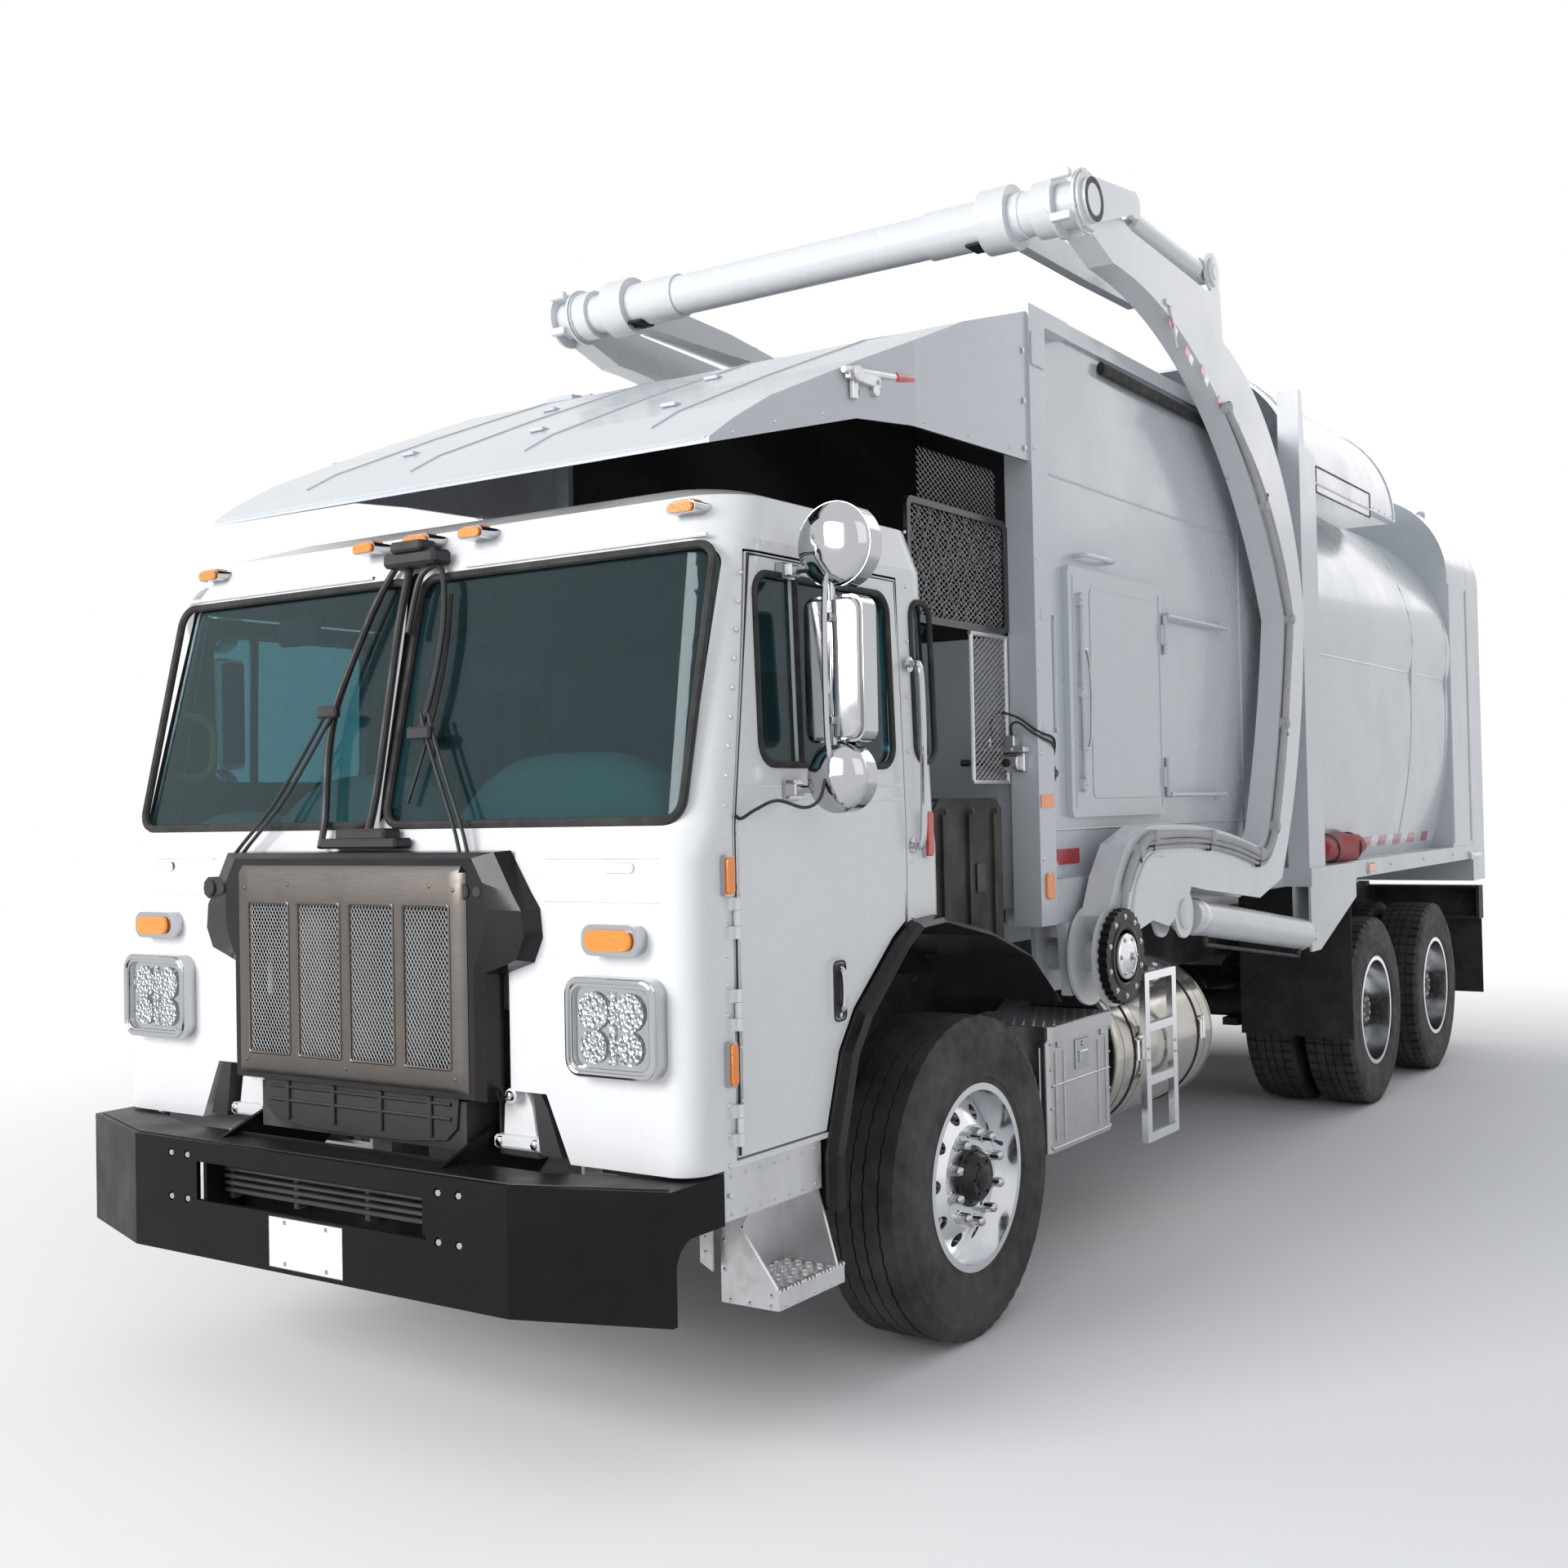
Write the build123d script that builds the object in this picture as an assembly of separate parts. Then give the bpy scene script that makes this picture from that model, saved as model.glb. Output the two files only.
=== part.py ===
"""Front-loading garbage truck: cab-over chassis, packer body, lift arms, forks and tailgate.

Millimetres.  While the pieces are made, y is 0 at the bumper's front face and grows towards the
tailgate, +X is the driver's side (the truck's left), z is 0 on the ground.  At the end every piece
moves forward by half the length, so that the origin is under the middle of the truck.
"""
import math
import os

from build123d import *

# ---------------------------------------------------------------- clearances
PIN_FIT = 0.5            # radial play of a pin in its eye
SEAT = 0.3               # gap between pieces that rest on each other
SWING = 8.0              # gap round a door, lid or lever that swings
PLATE = 12.0             # plain steel plate

# ---------------------------------------------------------------- axles and wheels
FRONT_AXLE_Y = 1680.0
REAR_AXLE_Y = (6420.0, 7770.0)
TYRE_R = 520.0
TYRE_W_FRONT = 300.0
TYRE_W_REAR = 280.0
FRONT_WHEEL_X = 1077.0   # middle of the front tyre
DUAL_OUTER_X = 1069.0
DUAL_INNER_X = 739.0
BEAD_R = 290.0           # where tyre and rim meet
RIM_T = 12.0
RIM_LIP_R = 300.0
HUB_R = 118.0
HUB_PILOT_R = 82.0
HAND_HOLES = 10
HAND_HOLE_R = 24.0
HAND_HOLE_CIRCLE_R = 205.0
KINGPIN_X = 880.0
KINGPIN_R = 26.0
AXLE_Z = TYRE_R
AXLE_CASING_R = 76.0
ENGINE_BACK = 1960.0
SHAFT_START_Z = 760.0
SPINDLE_R = 44.0

# ---------------------------------------------------------------- frame
RAIL_HALF = 450.0        # outside of the rails
RAIL_H = 270.0
RAIL_FLANGE = 88.0
RAIL_TOP = 1110.0
RAIL_FRONT = 440.0
RAIL_BACK = 9040.0
SUBFRAME_H = 170.0       # body longitudinals on top of the rails
CROSS_Y = (2250.0, 3300.0, 4200.0, 5400.0, 7095.0, 8450.0)
CROSS_W = 120.0

# ---------------------------------------------------------------- bumper
BUMPER_TOP = 781.0
BUMPER_BOTTOM = 445.0
BUMPER_FLAT_HALF = 772.0
BUMPER_HALF = 1190.0
BUMPER_SWEEP = 141.0
BUMPER_DEPTH = 165.0
BUMPER_T = 14.0
BUMPER_RETURN = 361.0    # back end of the side returns
BUMPER_FLANGE = 44.0
BUMPER_ARCH = (160.0, 650.0)   # front and top of the cut-out in a return
BUMPER_SLOT_HALF = 478.0
BUMPER_SLOT_Z = (610.0, 722.0)
BOLT_X = (522.7, 598.5)
BOLT_Z = (608.0, 737.0)
BOLT_R = 13.0

# ---------------------------------------------------------------- cab
CAB_FRONT = 240.0
CAB_BACK = 1560.0
CAB_HALF = 1190.0
CAB_WALL = 42.0
CAB_BOTTOM = 790.0
COWL_Z = 1600.0
GLASS_FOOT = 1680.0
GLASS_HEAD = 2460.0
ROOF_EDGE = 2590.0
ROOF_TOP = 2650.0
ROOF_SPLIT = 2478.0
GLASS_INSET = 10.0
GLASS_T = 8.0
DIVIDER_HALF = 28.0
DOOR_FRONT = 430.0
DOOR_BACK = 1312.0
DOOR_BOTTOM = 812.0
DOOR_TOP = 2420.0
DOOR_TOP_FRONT = 545.0
DOOR_GAP = 7.0
HINGE_R = 11.0
HINGE_AT = (1202.0, 424.0)   # axis of the door, as (x, y)
HINGE_Z = (900.0, 1200.0, 1440.0)
HINGE_LONG = 54.0
LEAF_SINK = 6.0
HINGE_PIN_R = 5.0
LEAF_LONG = 32.0
KNUCKLE_HALF = 20.0
FLOOR_Z = 806.0
FLOOR_T = 6.0
TUNNEL_HALF = 480.0      # cover over the engine and rails, between the seats
TUNNEL_TOP = 1480.0

# ---------------------------------------------------------------- body
POST_FRONT = 2300.0
POST_W = 130.0
POST_HALF = 1160.0
POST_TOP = 3460.0
HOPPER_HALF = 1100.0
HOPPER_T = 16.0
HOPPER_TOP = 3550.0
SILL_BOTTOM = RAIL_TOP + SUBFRAME_H
SILL_TOP = 1440.0
BODY_FRONT = 5060.0
BODY_HALF = 1210.0
BODY_T = 14.0
FRAME_Y = 8250.0         # front of the body's rear ring
GATE_Y = 8800.0          # joint between body and tailgate
GATE_BACK = 9150.0
BODY_BACK_REACH = 9230.0
HOOD_BACK = 7000.0
DECK_TOP = 1372.0
DECK_T = 92.0
FLOOR_TOP = SILL_BOTTOM + 60.0
REAR_BUMPER_BACK = 9160.0
HATCH_Y = (2650.0, 3570.0)
HATCH_AXIS = (1138.0, 3572.0)  # as (x, y)
HATCH_PIN_R = 9.0
HATCH_HINGE_Z = (1820.0, 2420.0)

# ---------------------------------------------------------------- lift arms
ARM_PIVOT = (2660.0, 1150.0)
TUBE_AT = (2566.0, 3940.0)
LIFT_FOOT = (5100.0, 1040.0)
LIFT_EYE = (3360.0, 1260.0)
FORK_CYL_FOOT = (3870.0, 4010.0)
FORK_CYL_EYE = (2950.0, 4030.0)
ARM_IN = 1172.0
ARM_OUT = 1280.0
ARM_CHEEK = 12.0
ARM_WEB = 14.0
PIVOT_PIN_R = 60.0
HUB_CAP_R = 84.0
DRUM_R = (92.0, 168.0)    # hose drum round the arm's pivot
DRUM_W = 42.0
DRUM_NOTCHES = 12
HOSE_R = 15.0
TUBE_R = 83.0
ARM_HEAD_R = 120.0
LEVER_R = 84.0
BARREL_R = 75.0
ROD_R = 33.0
EYE_R = 52.0
EYE_PIN_R = 25.0
FORK_BARREL_R = 46.0
FORK_ROD_R = 22.0
FORK_X = 930.0
FORK_REACH = 1250.0
FORK_T = 50.0
CYL_X = (ARM_IN + ARM_OUT) / 2

OVERALL_LENGTH = BODY_BACK_REACH

nodes = {}


# ---------------------------------------------------------------- small helpers
def yz(points, x0, x1):
    """Prism whose outline is given as (y, z), between two x stations."""
    face = make_face(Polyline(*points, close=True))
    return extrude(Plane.YZ.offset(x0) * face, amount=x1 - x0)


def xz(points, y0, y1):
    """Prism whose outline is given as (x, z), between two y stations."""
    plane = Plane(origin=(0, y0, 0), x_dir=(1, 0, 0), z_dir=(0, -1, 0))
    face = make_face(Polyline(*points, close=True))
    return extrude(plane * face, amount=-(y1 - y0))


def xy(points, z0, z1):
    """Prism whose outline is given as (x, y), between two heights."""
    face = make_face(Polyline(*points, close=True))
    return extrude(Plane.XY.offset(z0) * face, amount=z1 - z0)


def block(x0, x1, y0, y1, z0, z1):
    """Box between two corners."""
    at = Pos((x0 + x1) / 2, (y0 + y1) / 2, (z0 + z1) / 2)
    return at * Box(x1 - x0, y1 - y0, z1 - z0)


def bar_x(y, z, x0, x1, radius):
    """Round bar along X."""
    return Pos((x0 + x1) / 2, y, z) * Rot(0, 90, 0) * Cylinder(radius, x1 - x0)


def bar_y(x, z, y0, y1, radius):
    """Round bar along Y."""
    return Pos(x, (y0 + y1) / 2, z) * Rot(90, 0, 0) * Cylinder(radius, y1 - y0)


def bar_z(x, y, z0, z1, radius):
    """Upright round bar."""
    return Pos(x, y, (z0 + z1) / 2) * Cylinder(radius, z1 - z0)


def rounded_xz(x0, x1, z0, z1, radius, y0, y1):
    """Prism along Y with a rounded rectangle as its outline."""
    plane = Plane(origin=((x0 + x1) / 2, y0, (z0 + z1) / 2), x_dir=(1, 0, 0), z_dir=(0, -1, 0))
    return extrude(plane * RectangleRounded(x1 - x0, z1 - z0, radius), amount=-(y1 - y0))


def rounded_yz(y0, y1, z0, z1, radius, x0, x1):
    """Prism along X with a rounded rectangle as its outline."""
    plane = Plane(origin=(x0, (y0 + y1) / 2, (z0 + z1) / 2), x_dir=(0, 1, 0), z_dir=(1, 0, 0))
    return extrude(plane * RectangleRounded(y1 - y0, z1 - z0, radius), amount=x1 - x0)


def pair(shape):
    """The shape and its mirror image on the other side of the truck."""
    return [shape, mirror(shape, about=Plane.YZ)]


def right_of(shape):
    """Mirror image for the other side of the truck."""
    return mirror(shape, about=Plane.YZ)


def solids_of(things):
    """Every solid in a nest of shapes and lists."""
    found = []
    for thing in things:
        if isinstance(thing, (list, tuple)):
            found += solids_of(thing)
        else:
            found += list(thing.solids())
    return found


def node(name, *things):
    """Keep one named sub-part, as the solids it is made of."""
    nodes[name] = solids_of(things)


# ---------------------------------------------------------------- cab
# level, front, back, half width, corner radius of the cab's outside
CAB_LEVELS = (
    (CAB_BOTTOM, CAB_FRONT, CAB_BACK, CAB_HALF - 4, 80),
    (COWL_Z, CAB_FRONT, CAB_BACK, CAB_HALF, 90),
    (GLASS_FOOT, CAB_FRONT + 42, CAB_BACK, CAB_HALF, 110),
    (GLASS_HEAD, CAB_FRONT + 222, CAB_BACK, CAB_HALF - 22, 140),
    (ROOF_EDGE, CAB_FRONT + 300, CAB_BACK - 12, CAB_HALF - 58, 160),
    (ROOF_TOP, CAB_FRONT + 460, CAB_BACK - 130, CAB_HALF - 240, 170),
)


def cab_form(inset):
    """The cab's outside, shrunk by inset on every side."""
    sections = []
    for level, front, back, half, radius in CAB_LEVELS:
        drop = inset if level == ROOF_TOP else 0
        outline = RectangleRounded(2 * (half - inset), back - front - 2 * inset, radius - inset)
        sections.append(Pos(0, (front + back) / 2, level - drop) * outline)
    return loft(sections, ruled=True)


# outline of the wheel arch as it meets the cab side, as (y, z)
ARCH = (
    (840, 560), (840, 745), (930, 1020), (1010, 1130), (1235, 1318),
    (1330, 1372), (1480, 1380), (1800, 1312), (2080, 1215), (2350, 1000), (2350, 560),
)


def arch_cut(grow, x0, x1):
    """Wheel arch grown by a clearance, as a prism across the side."""
    face = make_face(Polyline(*ARCH, close=True))
    grown = offset(face, amount=grow, kind=Kind.INTERSECTION)
    return extrude(Plane.YZ.offset(x0) * grown, amount=x1 - x0)


def door_outline(grow):
    """Door's outline as (y, z), grown by a gap."""
    return (
        (DOOR_FRONT - grow, DOOR_BOTTOM - grow), (DOOR_FRONT - grow, GLASS_FOOT),
        (DOOR_TOP_FRONT - grow, DOOR_TOP + grow), (DOOR_BACK + grow, DOOR_TOP + grow),
        (DOOR_BACK + grow, DOOR_BOTTOM - grow),
    )


def hinge_piece(z0, z1, y0, y1):
    """One barrel of a door hinge with its leaf, between two heights."""
    x, y = HINGE_AT
    leaf = block(x - HINGE_R - LEAF_SINK, x - 2, y0, y1, z0, z1)
    return bar_z(x, y, z0, z1, HINGE_R) + leaf


def build_cab():
    """Front wall, sides with back wall, roof, floor, glass and doors."""
    outer = cab_form(0)
    inner = cab_form(CAB_WALL)
    glass_out = cab_form(GLASS_INSET)
    glass_in = cab_form(GLASS_INSET + GLASS_T)
    skin = outer - inner
    pane_band = glass_out - glass_in

    screen_side = CAB_HALF - 62
    screen_low = GLASS_FOOT + 20
    screen_high = GLASS_HEAD - 24
    screen = rounded_xz(DIVIDER_HALF, screen_side, screen_low, screen_high, 55, 0, 760)
    screens = screen + right_of(screen)
    side_window = rounded_yz(572, 1252, 1850, 2362, 60, 900, 1400)
    quarter = rounded_yz(1398, 1508, 1866, 2356, 50, 900, 1400)
    quarters = quarter + right_of(quarter)
    back_window = rounded_xz(-480, 480, 1820, 2340, 60, CAB_BACK - 200, CAB_BACK + 50)

    front_cut = xz(((-800, CAB_BOTTOM - 60), (-690, 970), (-560, 970), (-560, 1560),
                    (560, 1560), (560, 970), (690, 970), (800, CAB_BOTTOM - 60)), 0, 400)
    low_side_cut = arch_cut(SEAT, -1400, 1400)
    engine_gap = block(-TUNNEL_HALF, TUNNEL_HALF, 1400, 1700, 0, TUNNEL_TOP)
    door_hole = yz(door_outline(DOOR_GAP), 900, 1400)
    door_holes = door_hole + right_of(door_hole)
    seam = DOOR_FRONT - 60
    front_zone = block(-1400, 1400, 0, seam, 0, ROOF_SPLIT)
    side_zone = block(-1400, 1400, seam, 1700, 0, ROOF_SPLIT)
    roof_zone = block(-1400, 1400, 0, 1700, ROOF_SPLIT, 3000)

    node("cab_front", (skin & front_zone) - screens - front_cut)
    sides = (skin & side_zone) - screens - door_holes - low_side_cut - quarters - back_window - engine_gap
    for z in HINGE_Z:
        for z0, z1 in ((z - HINGE_LONG, z - KNUCKLE_HALF - 1), (z + KNUCKLE_HALF + 1, z + HINGE_LONG)):
            fixed = hinge_piece(z0, z1, HINGE_AT[1] - LEAF_LONG, HINGE_AT[1] - 2)
            sides = sides + fixed + right_of(fixed)
        pin = bar_z(*HINGE_AT, z - HINGE_LONG, z + HINGE_LONG, HINGE_PIN_R)
        sides = sides + pin + right_of(pin)
    node("cab_sides", sides)
    node("cab_roof", skin & roof_zone)
    fixed_glass = [pane_band & screen, pane_band & right_of(screen), pane_band & quarter,
                   pane_band & right_of(quarter), pane_band & back_window]
    node("cab_glass", fixed_glass)

    door_form = yz(door_outline(0), 900, 1400)
    door = ((skin & door_form) - arch_cut(2 * DOOR_GAP, 0, 1400)) - side_window
    vent_bar = ((pane_band + (skin - glass_in))
                & yz(((745, 1850), (775, 1850), (775, 2362), (745, 2362)), 900, 1400))
    door = door + vent_bar
    handle = rounded_yz(868, 940, 1110, 1290, 16, CAB_HALF - 3, CAB_HALF + 14)
    door = door + handle
    for z in HINGE_Z:
        door += hinge_piece(z - KNUCKLE_HALF, z + KNUCKLE_HALF, HINGE_AT[1] + 2, HINGE_AT[1] + LEAF_LONG)
        door -= bar_z(*HINGE_AT, z - HINGE_LONG, z + HINGE_LONG, HINGE_PIN_R + PIN_FIT)
    node("door_left", door)
    node("door_right", right_of(door))
    pane = (pane_band & side_window) - vent_bar
    node("door_glass_left", pane)
    node("door_glass_right", right_of(pane))

    step = 16
    floor_low = ((CAB_FRONT, FLOOR_Z), (839, FLOOR_Z)) + tuple((y - step, z + step) for y, z in ARCH[2:7])
    floor_low += ((CAB_BACK, ARCH[6][1] + step),)
    floor_high = tuple((y - 3, z + FLOOR_T) for y, z in floor_low[::-1])
    tunnel = block(-TUNNEL_HALF, TUNNEL_HALF, CAB_FRONT, CAB_BACK, FLOOR_Z, TUNNEL_TOP)
    under = yz(floor_low + ((CAB_BACK, 0), (CAB_FRONT, 0)), -600, 600)
    bore = block(-TUNNEL_HALF + FLOOR_T, TUNNEL_HALF - FLOOR_T, 0, 2000, 0, TUNNEL_TOP - FLOOR_T)
    floor = yz(floor_low + floor_high, -1300, 1300) + (tunnel - under) - bore
    floor = floor & cab_form(CAB_WALL + SEAT)
    edge = block(CAB_HALF - CAB_WALL - SWING - 3, 1300, DOOR_FRONT - 20, DOOR_BACK + 20, 0, 2000)
    node("cab_floor", floor - edge - right_of(edge))


# ---------------------------------------------------------------- cab outside pieces
# right half of the black moulding round the radiator opening, as (x, z), at its back, middle and front
SURROUND_BACK = ((575, 1625), (648, 1512), (680, 1468), (688, 1390), (656, 1322), (536, 1284), (536, 940))
SURROUND_MIDDLE = ((562, 1622), (630, 1508), (660, 1464), (668, 1392), (640, 1332), (524, 1292), (524, 943))
SURROUND_FRONT = ((500, 1606), (540, 1540), (546, 1470), (544, 1410), (530, 1360), (502, 1310), (502, 950))
GRILLE_HALF = 480
GRILLE_Z = (965, 1585)
GRILLE_Y = 152
GRILLE_T = 12
WINDOW_W = 178
WINDOW_PITCH = 222
WINDOW_Z = (1030, 1475)
MESH_T = 5
MESH_COLS = 4
MESH_ROWS = 9


def build_grille():
    """Black surround and the stainless panel with four windows of diamond mesh."""
    levels = ((CAB_FRONT - SEAT, SURROUND_BACK), (GRILLE_Y + 34, SURROUND_MIDDLE),
              (GRILLE_Y + GRILLE_T, SURROUND_FRONT))
    sections = []
    for y, half in levels:
        outline = half + tuple((-x, z) for x, z in half[::-1])
        plane = Plane(origin=(0, y, 0), x_dir=(1, 0, 0), z_dir=(0, -1, 0))
        sections.append(plane * make_face(Polyline(*outline, close=True)))
    surround = loft(sections, ruled=True)
    hole = block(-GRILLE_HALF + 30, GRILLE_HALF - 30, 0, 400, GRILLE_Z[0] + 25, GRILLE_Z[1] - 60)
    node("grille_surround", surround - hole)
    panel = rounded_xz(-GRILLE_HALF, GRILLE_HALF, *GRILLE_Z, 18, GRILLE_Y, GRILLE_Y + GRILLE_T)
    diamond_w = WINDOW_W / MESH_COLS
    diamond_h = (WINDOW_Z[1] - WINDOW_Z[0]) / MESH_ROWS
    cutters = []
    for index in range(4):
        middle = (index - 1.5) * WINDOW_PITCH
        x0 = middle - WINDOW_W / 2
        pocket = block(x0, x0 + WINDOW_W, 0, GRILLE_Y + GRILLE_T - MESH_T, *WINDOW_Z)
        cutters.append(pocket)
        for col in range(MESH_COLS):
            for row in range(MESH_ROWS):
                cx = x0 + (col + 0.5) * diamond_w
                cz = WINDOW_Z[0] + (row + 0.5) * diamond_h
                half_w = diamond_w * 0.42
                half_h = diamond_h * 0.42
                hole = ((cx - half_w, cz), (cx, cz - half_h), (cx + half_w, cz), (cx, cz + half_h))
                cutters.append(xz(hole, 0, 400))
    node("grille_panel", panel - cutters)


# marker and signal lamps: x, y, z, width, depth, height
SMALL_LAMPS = (
    (0, 507, 2557, 118, 60, 34), (230, 507, 2557, 100, 60, 34), (1010, 522, 2545, 100, 60, 34),
    (955, 226, 1392, 190, 28, 82),
)
SIDE_LAMPS = ((388, 1552, 42, 108), (391, 1062, 36, 120), (1430, 1635, 44, 150))
HEADLAMP_X = 955
HEADLAMP_Z = 1165
HEADLAMP_W = 310
HEADLAMP_H = 262


def build_lamps():
    """Head, signal, marker and tail lamps as housings seated on the cab and rear bumper."""
    cab = cab_form(0)
    lamps = []
    for x, y, z, width, depth, height in SMALL_LAMPS:
        lamp = rounded_xz(x - width / 2, x + width / 2, z - height / 2, z + height / 2,
                          height * 0.42, y - depth, y + depth) - cab
        front = min(lamp.solids(), key=lambda solid: solid.center().Y)
        lamps.append(front)
        if x > 0:
            lamps.append(right_of(front))
    x0 = HEADLAMP_X - HEADLAMP_W / 2
    z0 = HEADLAMP_Z - HEADLAMP_H / 2
    box = rounded_xz(x0, x0 + HEADLAMP_W, z0, z0 + HEADLAMP_H, 48, 196, CAB_FRONT + 60)
    core = rounded_xz(x0 + 24, x0 + HEADLAMP_W - 24, z0 + 24, z0 + HEADLAMP_H - 24, 34, 190, 210)
    head = min((box - cab).solids(), key=lambda solid: solid.center().Y)
    lamps.append(pair(head - core))
    for y, z, width, height in SIDE_LAMPS:
        lamp = rounded_yz(y - width / 2, y + width / 2, z - height / 2, z + height / 2, 12,
                          CAB_HALF - 60, CAB_HALF + 16) - cab
        lamps.append(pair(max(lamp.solids(), key=lambda solid: solid.center().X)))
    for x in (760, 900, 1040):
        lamps.append(pair(bar_y(x, 965, REAR_BUMPER_BACK, REAR_BUMPER_BACK + 26, 52)))
    node("lamps", lamps)


def mirror_assembly():
    """Tubular mirror bracket on the left door with two round heads and one tall head."""
    tube_x = CAB_HALF + 145
    tube_y = 700
    low = 1775
    high = 2400
    radius = 11
    upright = bar_z(tube_x, tube_y, low - radius, high + radius + 60, radius)
    arms = (bar_x(tube_y, low, CAB_HALF - 2, tube_x, radius)
            + bar_x(tube_y, high - 20, CAB_HALF - 22, tube_x, radius))
    feet = (block(CAB_HALF + SEAT, CAB_HALF + 10, tube_y - 40, tube_y + 40, low - 26, low + 26)
            + block(CAB_HALF - 16, CAB_HALF + 6, tube_y - 30, tube_y + 30, high - 42, high + 2))
    tall = rounded_xz(tube_x - 95, tube_x + 95, 1900, 2300, 36, tube_y + 6, tube_y + 76)
    dome = Pos(tube_x + 8, tube_y + 36, 2440) * Rot(90, 0, 0) * Cylinder(118, 60)
    low_dome = Pos(tube_x + 4, tube_y + 32, 1806) * Rot(90, 0, 0) * Cylinder(98, 52)
    body = cab_form(-SEAT)
    return (upright + arms + feet + tall + dome + low_dome) - body


FENDER_IN = 800
FENDER_OUT = 1235
# entry step: along the cab, height, and reach from the middle
STEP_Y = (530, 850)
STEP_Z = (392, 440)
STEP_IN = 1045
STEP_OUT = 1235
STEP_PLATE = 10
SILL_START = 372
SILL_END = 822
SILL_Z = 655


def build_cab_fittings():
    """Mirrors, fenders, steps, interior and radiator."""
    mirror_left = mirror_assembly()
    node("mirror_left", mirror_left)
    node("mirror_right", right_of(mirror_left))

    arch = make_face(Polyline(*ARCH, close=True))
    inset = offset(arch, amount=-24, kind=Kind.INTERSECTION)
    crown = [Plane.YZ.offset(FENDER_OUT - drop) * offset(arch, amount=-fall, kind=Kind.INTERSECTION)
             for drop, fall in ((46, 0.01), (14, 9), (0, 22))]
    shell = (extrude(Plane.YZ.offset(FENDER_IN) * arch, amount=FENDER_OUT - 46 - FENDER_IN)
             + loft(crown, ruled=True))
    shell -= extrude(Plane.YZ.offset(700) * inset, amount=FENDER_OUT - 700 + 5)
    mouth = bar_x(FRONT_AXLE_Y, AXLE_Z, 700, 1300, 668)
    below = block(700, 1300, 700, 2500, 0, 588)
    back_trim = block(700, 1300, 2290, 2500, 0, 1040)
    fender = shell - mouth - below - back_trim
    node("front_fenders", pair(max(fender.solids(), key=lambda solid: solid.volume)))

    tread_y0, tread_y1 = STEP_Y
    sill = block(CAB_HALF - 60, CAB_HALF - 8, SILL_START, SILL_END, SILL_Z, CAB_BOTTOM - SEAT)
    riser = block(STEP_IN, STEP_IN + STEP_PLATE, tread_y0, SILL_END, STEP_Z[0], SILL_Z + 5)
    tread = block(STEP_IN, STEP_OUT, tread_y0, tread_y1, *STEP_Z)
    front_line = ((STEP_IN, STEP_Z[0]), (STEP_OUT, STEP_Z[0]), (STEP_OUT, STEP_Z[1]), (1110, 600),
                  (CAB_HALF - 45, SILL_Z + 5), (STEP_IN, SILL_Z + 5))
    rear_line = ((STEP_IN, STEP_Z[0]), (STEP_OUT, STEP_Z[0]), (STEP_OUT, STEP_Z[1]),
                 (CAB_HALF - 20, SILL_Z + 5), (STEP_IN, SILL_Z + 5))
    cheeks = (xz(front_line, tread_y0, tread_y0 + STEP_PLATE)
              + xz(rear_line, SILL_END - STEP_PLATE, SILL_END))
    hanger = block(RAIL_HALF + SEAT, STEP_IN + 5, 650, 690, 610, 650)
    hanger += block(RAIL_HALF + SEAT, RAIL_HALF + 12, 640, 720, 610, 1000)
    node("cab_steps", pair(sill + riser + tread + cheeks + hanger))

    dash_line = ((CAB_FRONT + 60, 1180), (CAB_FRONT + 60, 1560), (380, 1640), (560, 1622), (660, 1540),
                 (640, 1400), (520, 1300), (440, 1180))
    dash_half = CAB_HALF - CAB_WALL - 30
    dash = yz(dash_line, -dash_half, dash_half)
    dash -= block(-TUNNEL_HALF - SEAT, TUNNEL_HALF + SEAT, 0, 900, 0, TUNNEL_TOP + SEAT)
    wheel_at = Pos(610, 760, 1660) * Rot(-38, 0, 0)
    ring = wheel_at * Torus(225, 15)
    spokes = wheel_at * Pos(0, 0, -6) * (Box(430, 40, 12) + Cylinder(48, 34))
    column = wheel_at * Pos(0, 0, -110) * Cylinder(30, 220)
    node("dashboard", dash + column + ring + spokes)

    seats = []
    for side in (-1, 1):
        x = side * 690
        pedestal = block(x - 170, x + 170, 1200, 1490, ARCH[6][1] + 16 + FLOOR_T + SEAT, 1530)
        cushion = Pos(x, 1270, 1580) * Box(500, 470, 100)
        rest = Pos(x, 1432, 1900) * Rot(-4, 0, 0) * Box(480, 90, 620)
        cushion = fillet(cushion.edges().filter_by(Axis.Z), 60)
        seats.append(pedestal + cushion + rest)
    node("seats", seats)

    core = block(-410, 410, CAB_FRONT + 24, CAB_FRONT + 150, 800, TUNNEL_TOP - 12)
    tank = block(-430, 430, CAB_FRONT - 40, CAB_FRONT + 150, 800, 935)
    lug = block(400, RAIL_HALF - 1, CAB_FRONT + 140, RAIL_FRONT - SEAT, 860, 930)
    node("radiator", core + tank + lug + right_of(lug))
    node("engine_block", block(-330, 330, 770, ENGINE_BACK, 600, 1440))


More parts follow.
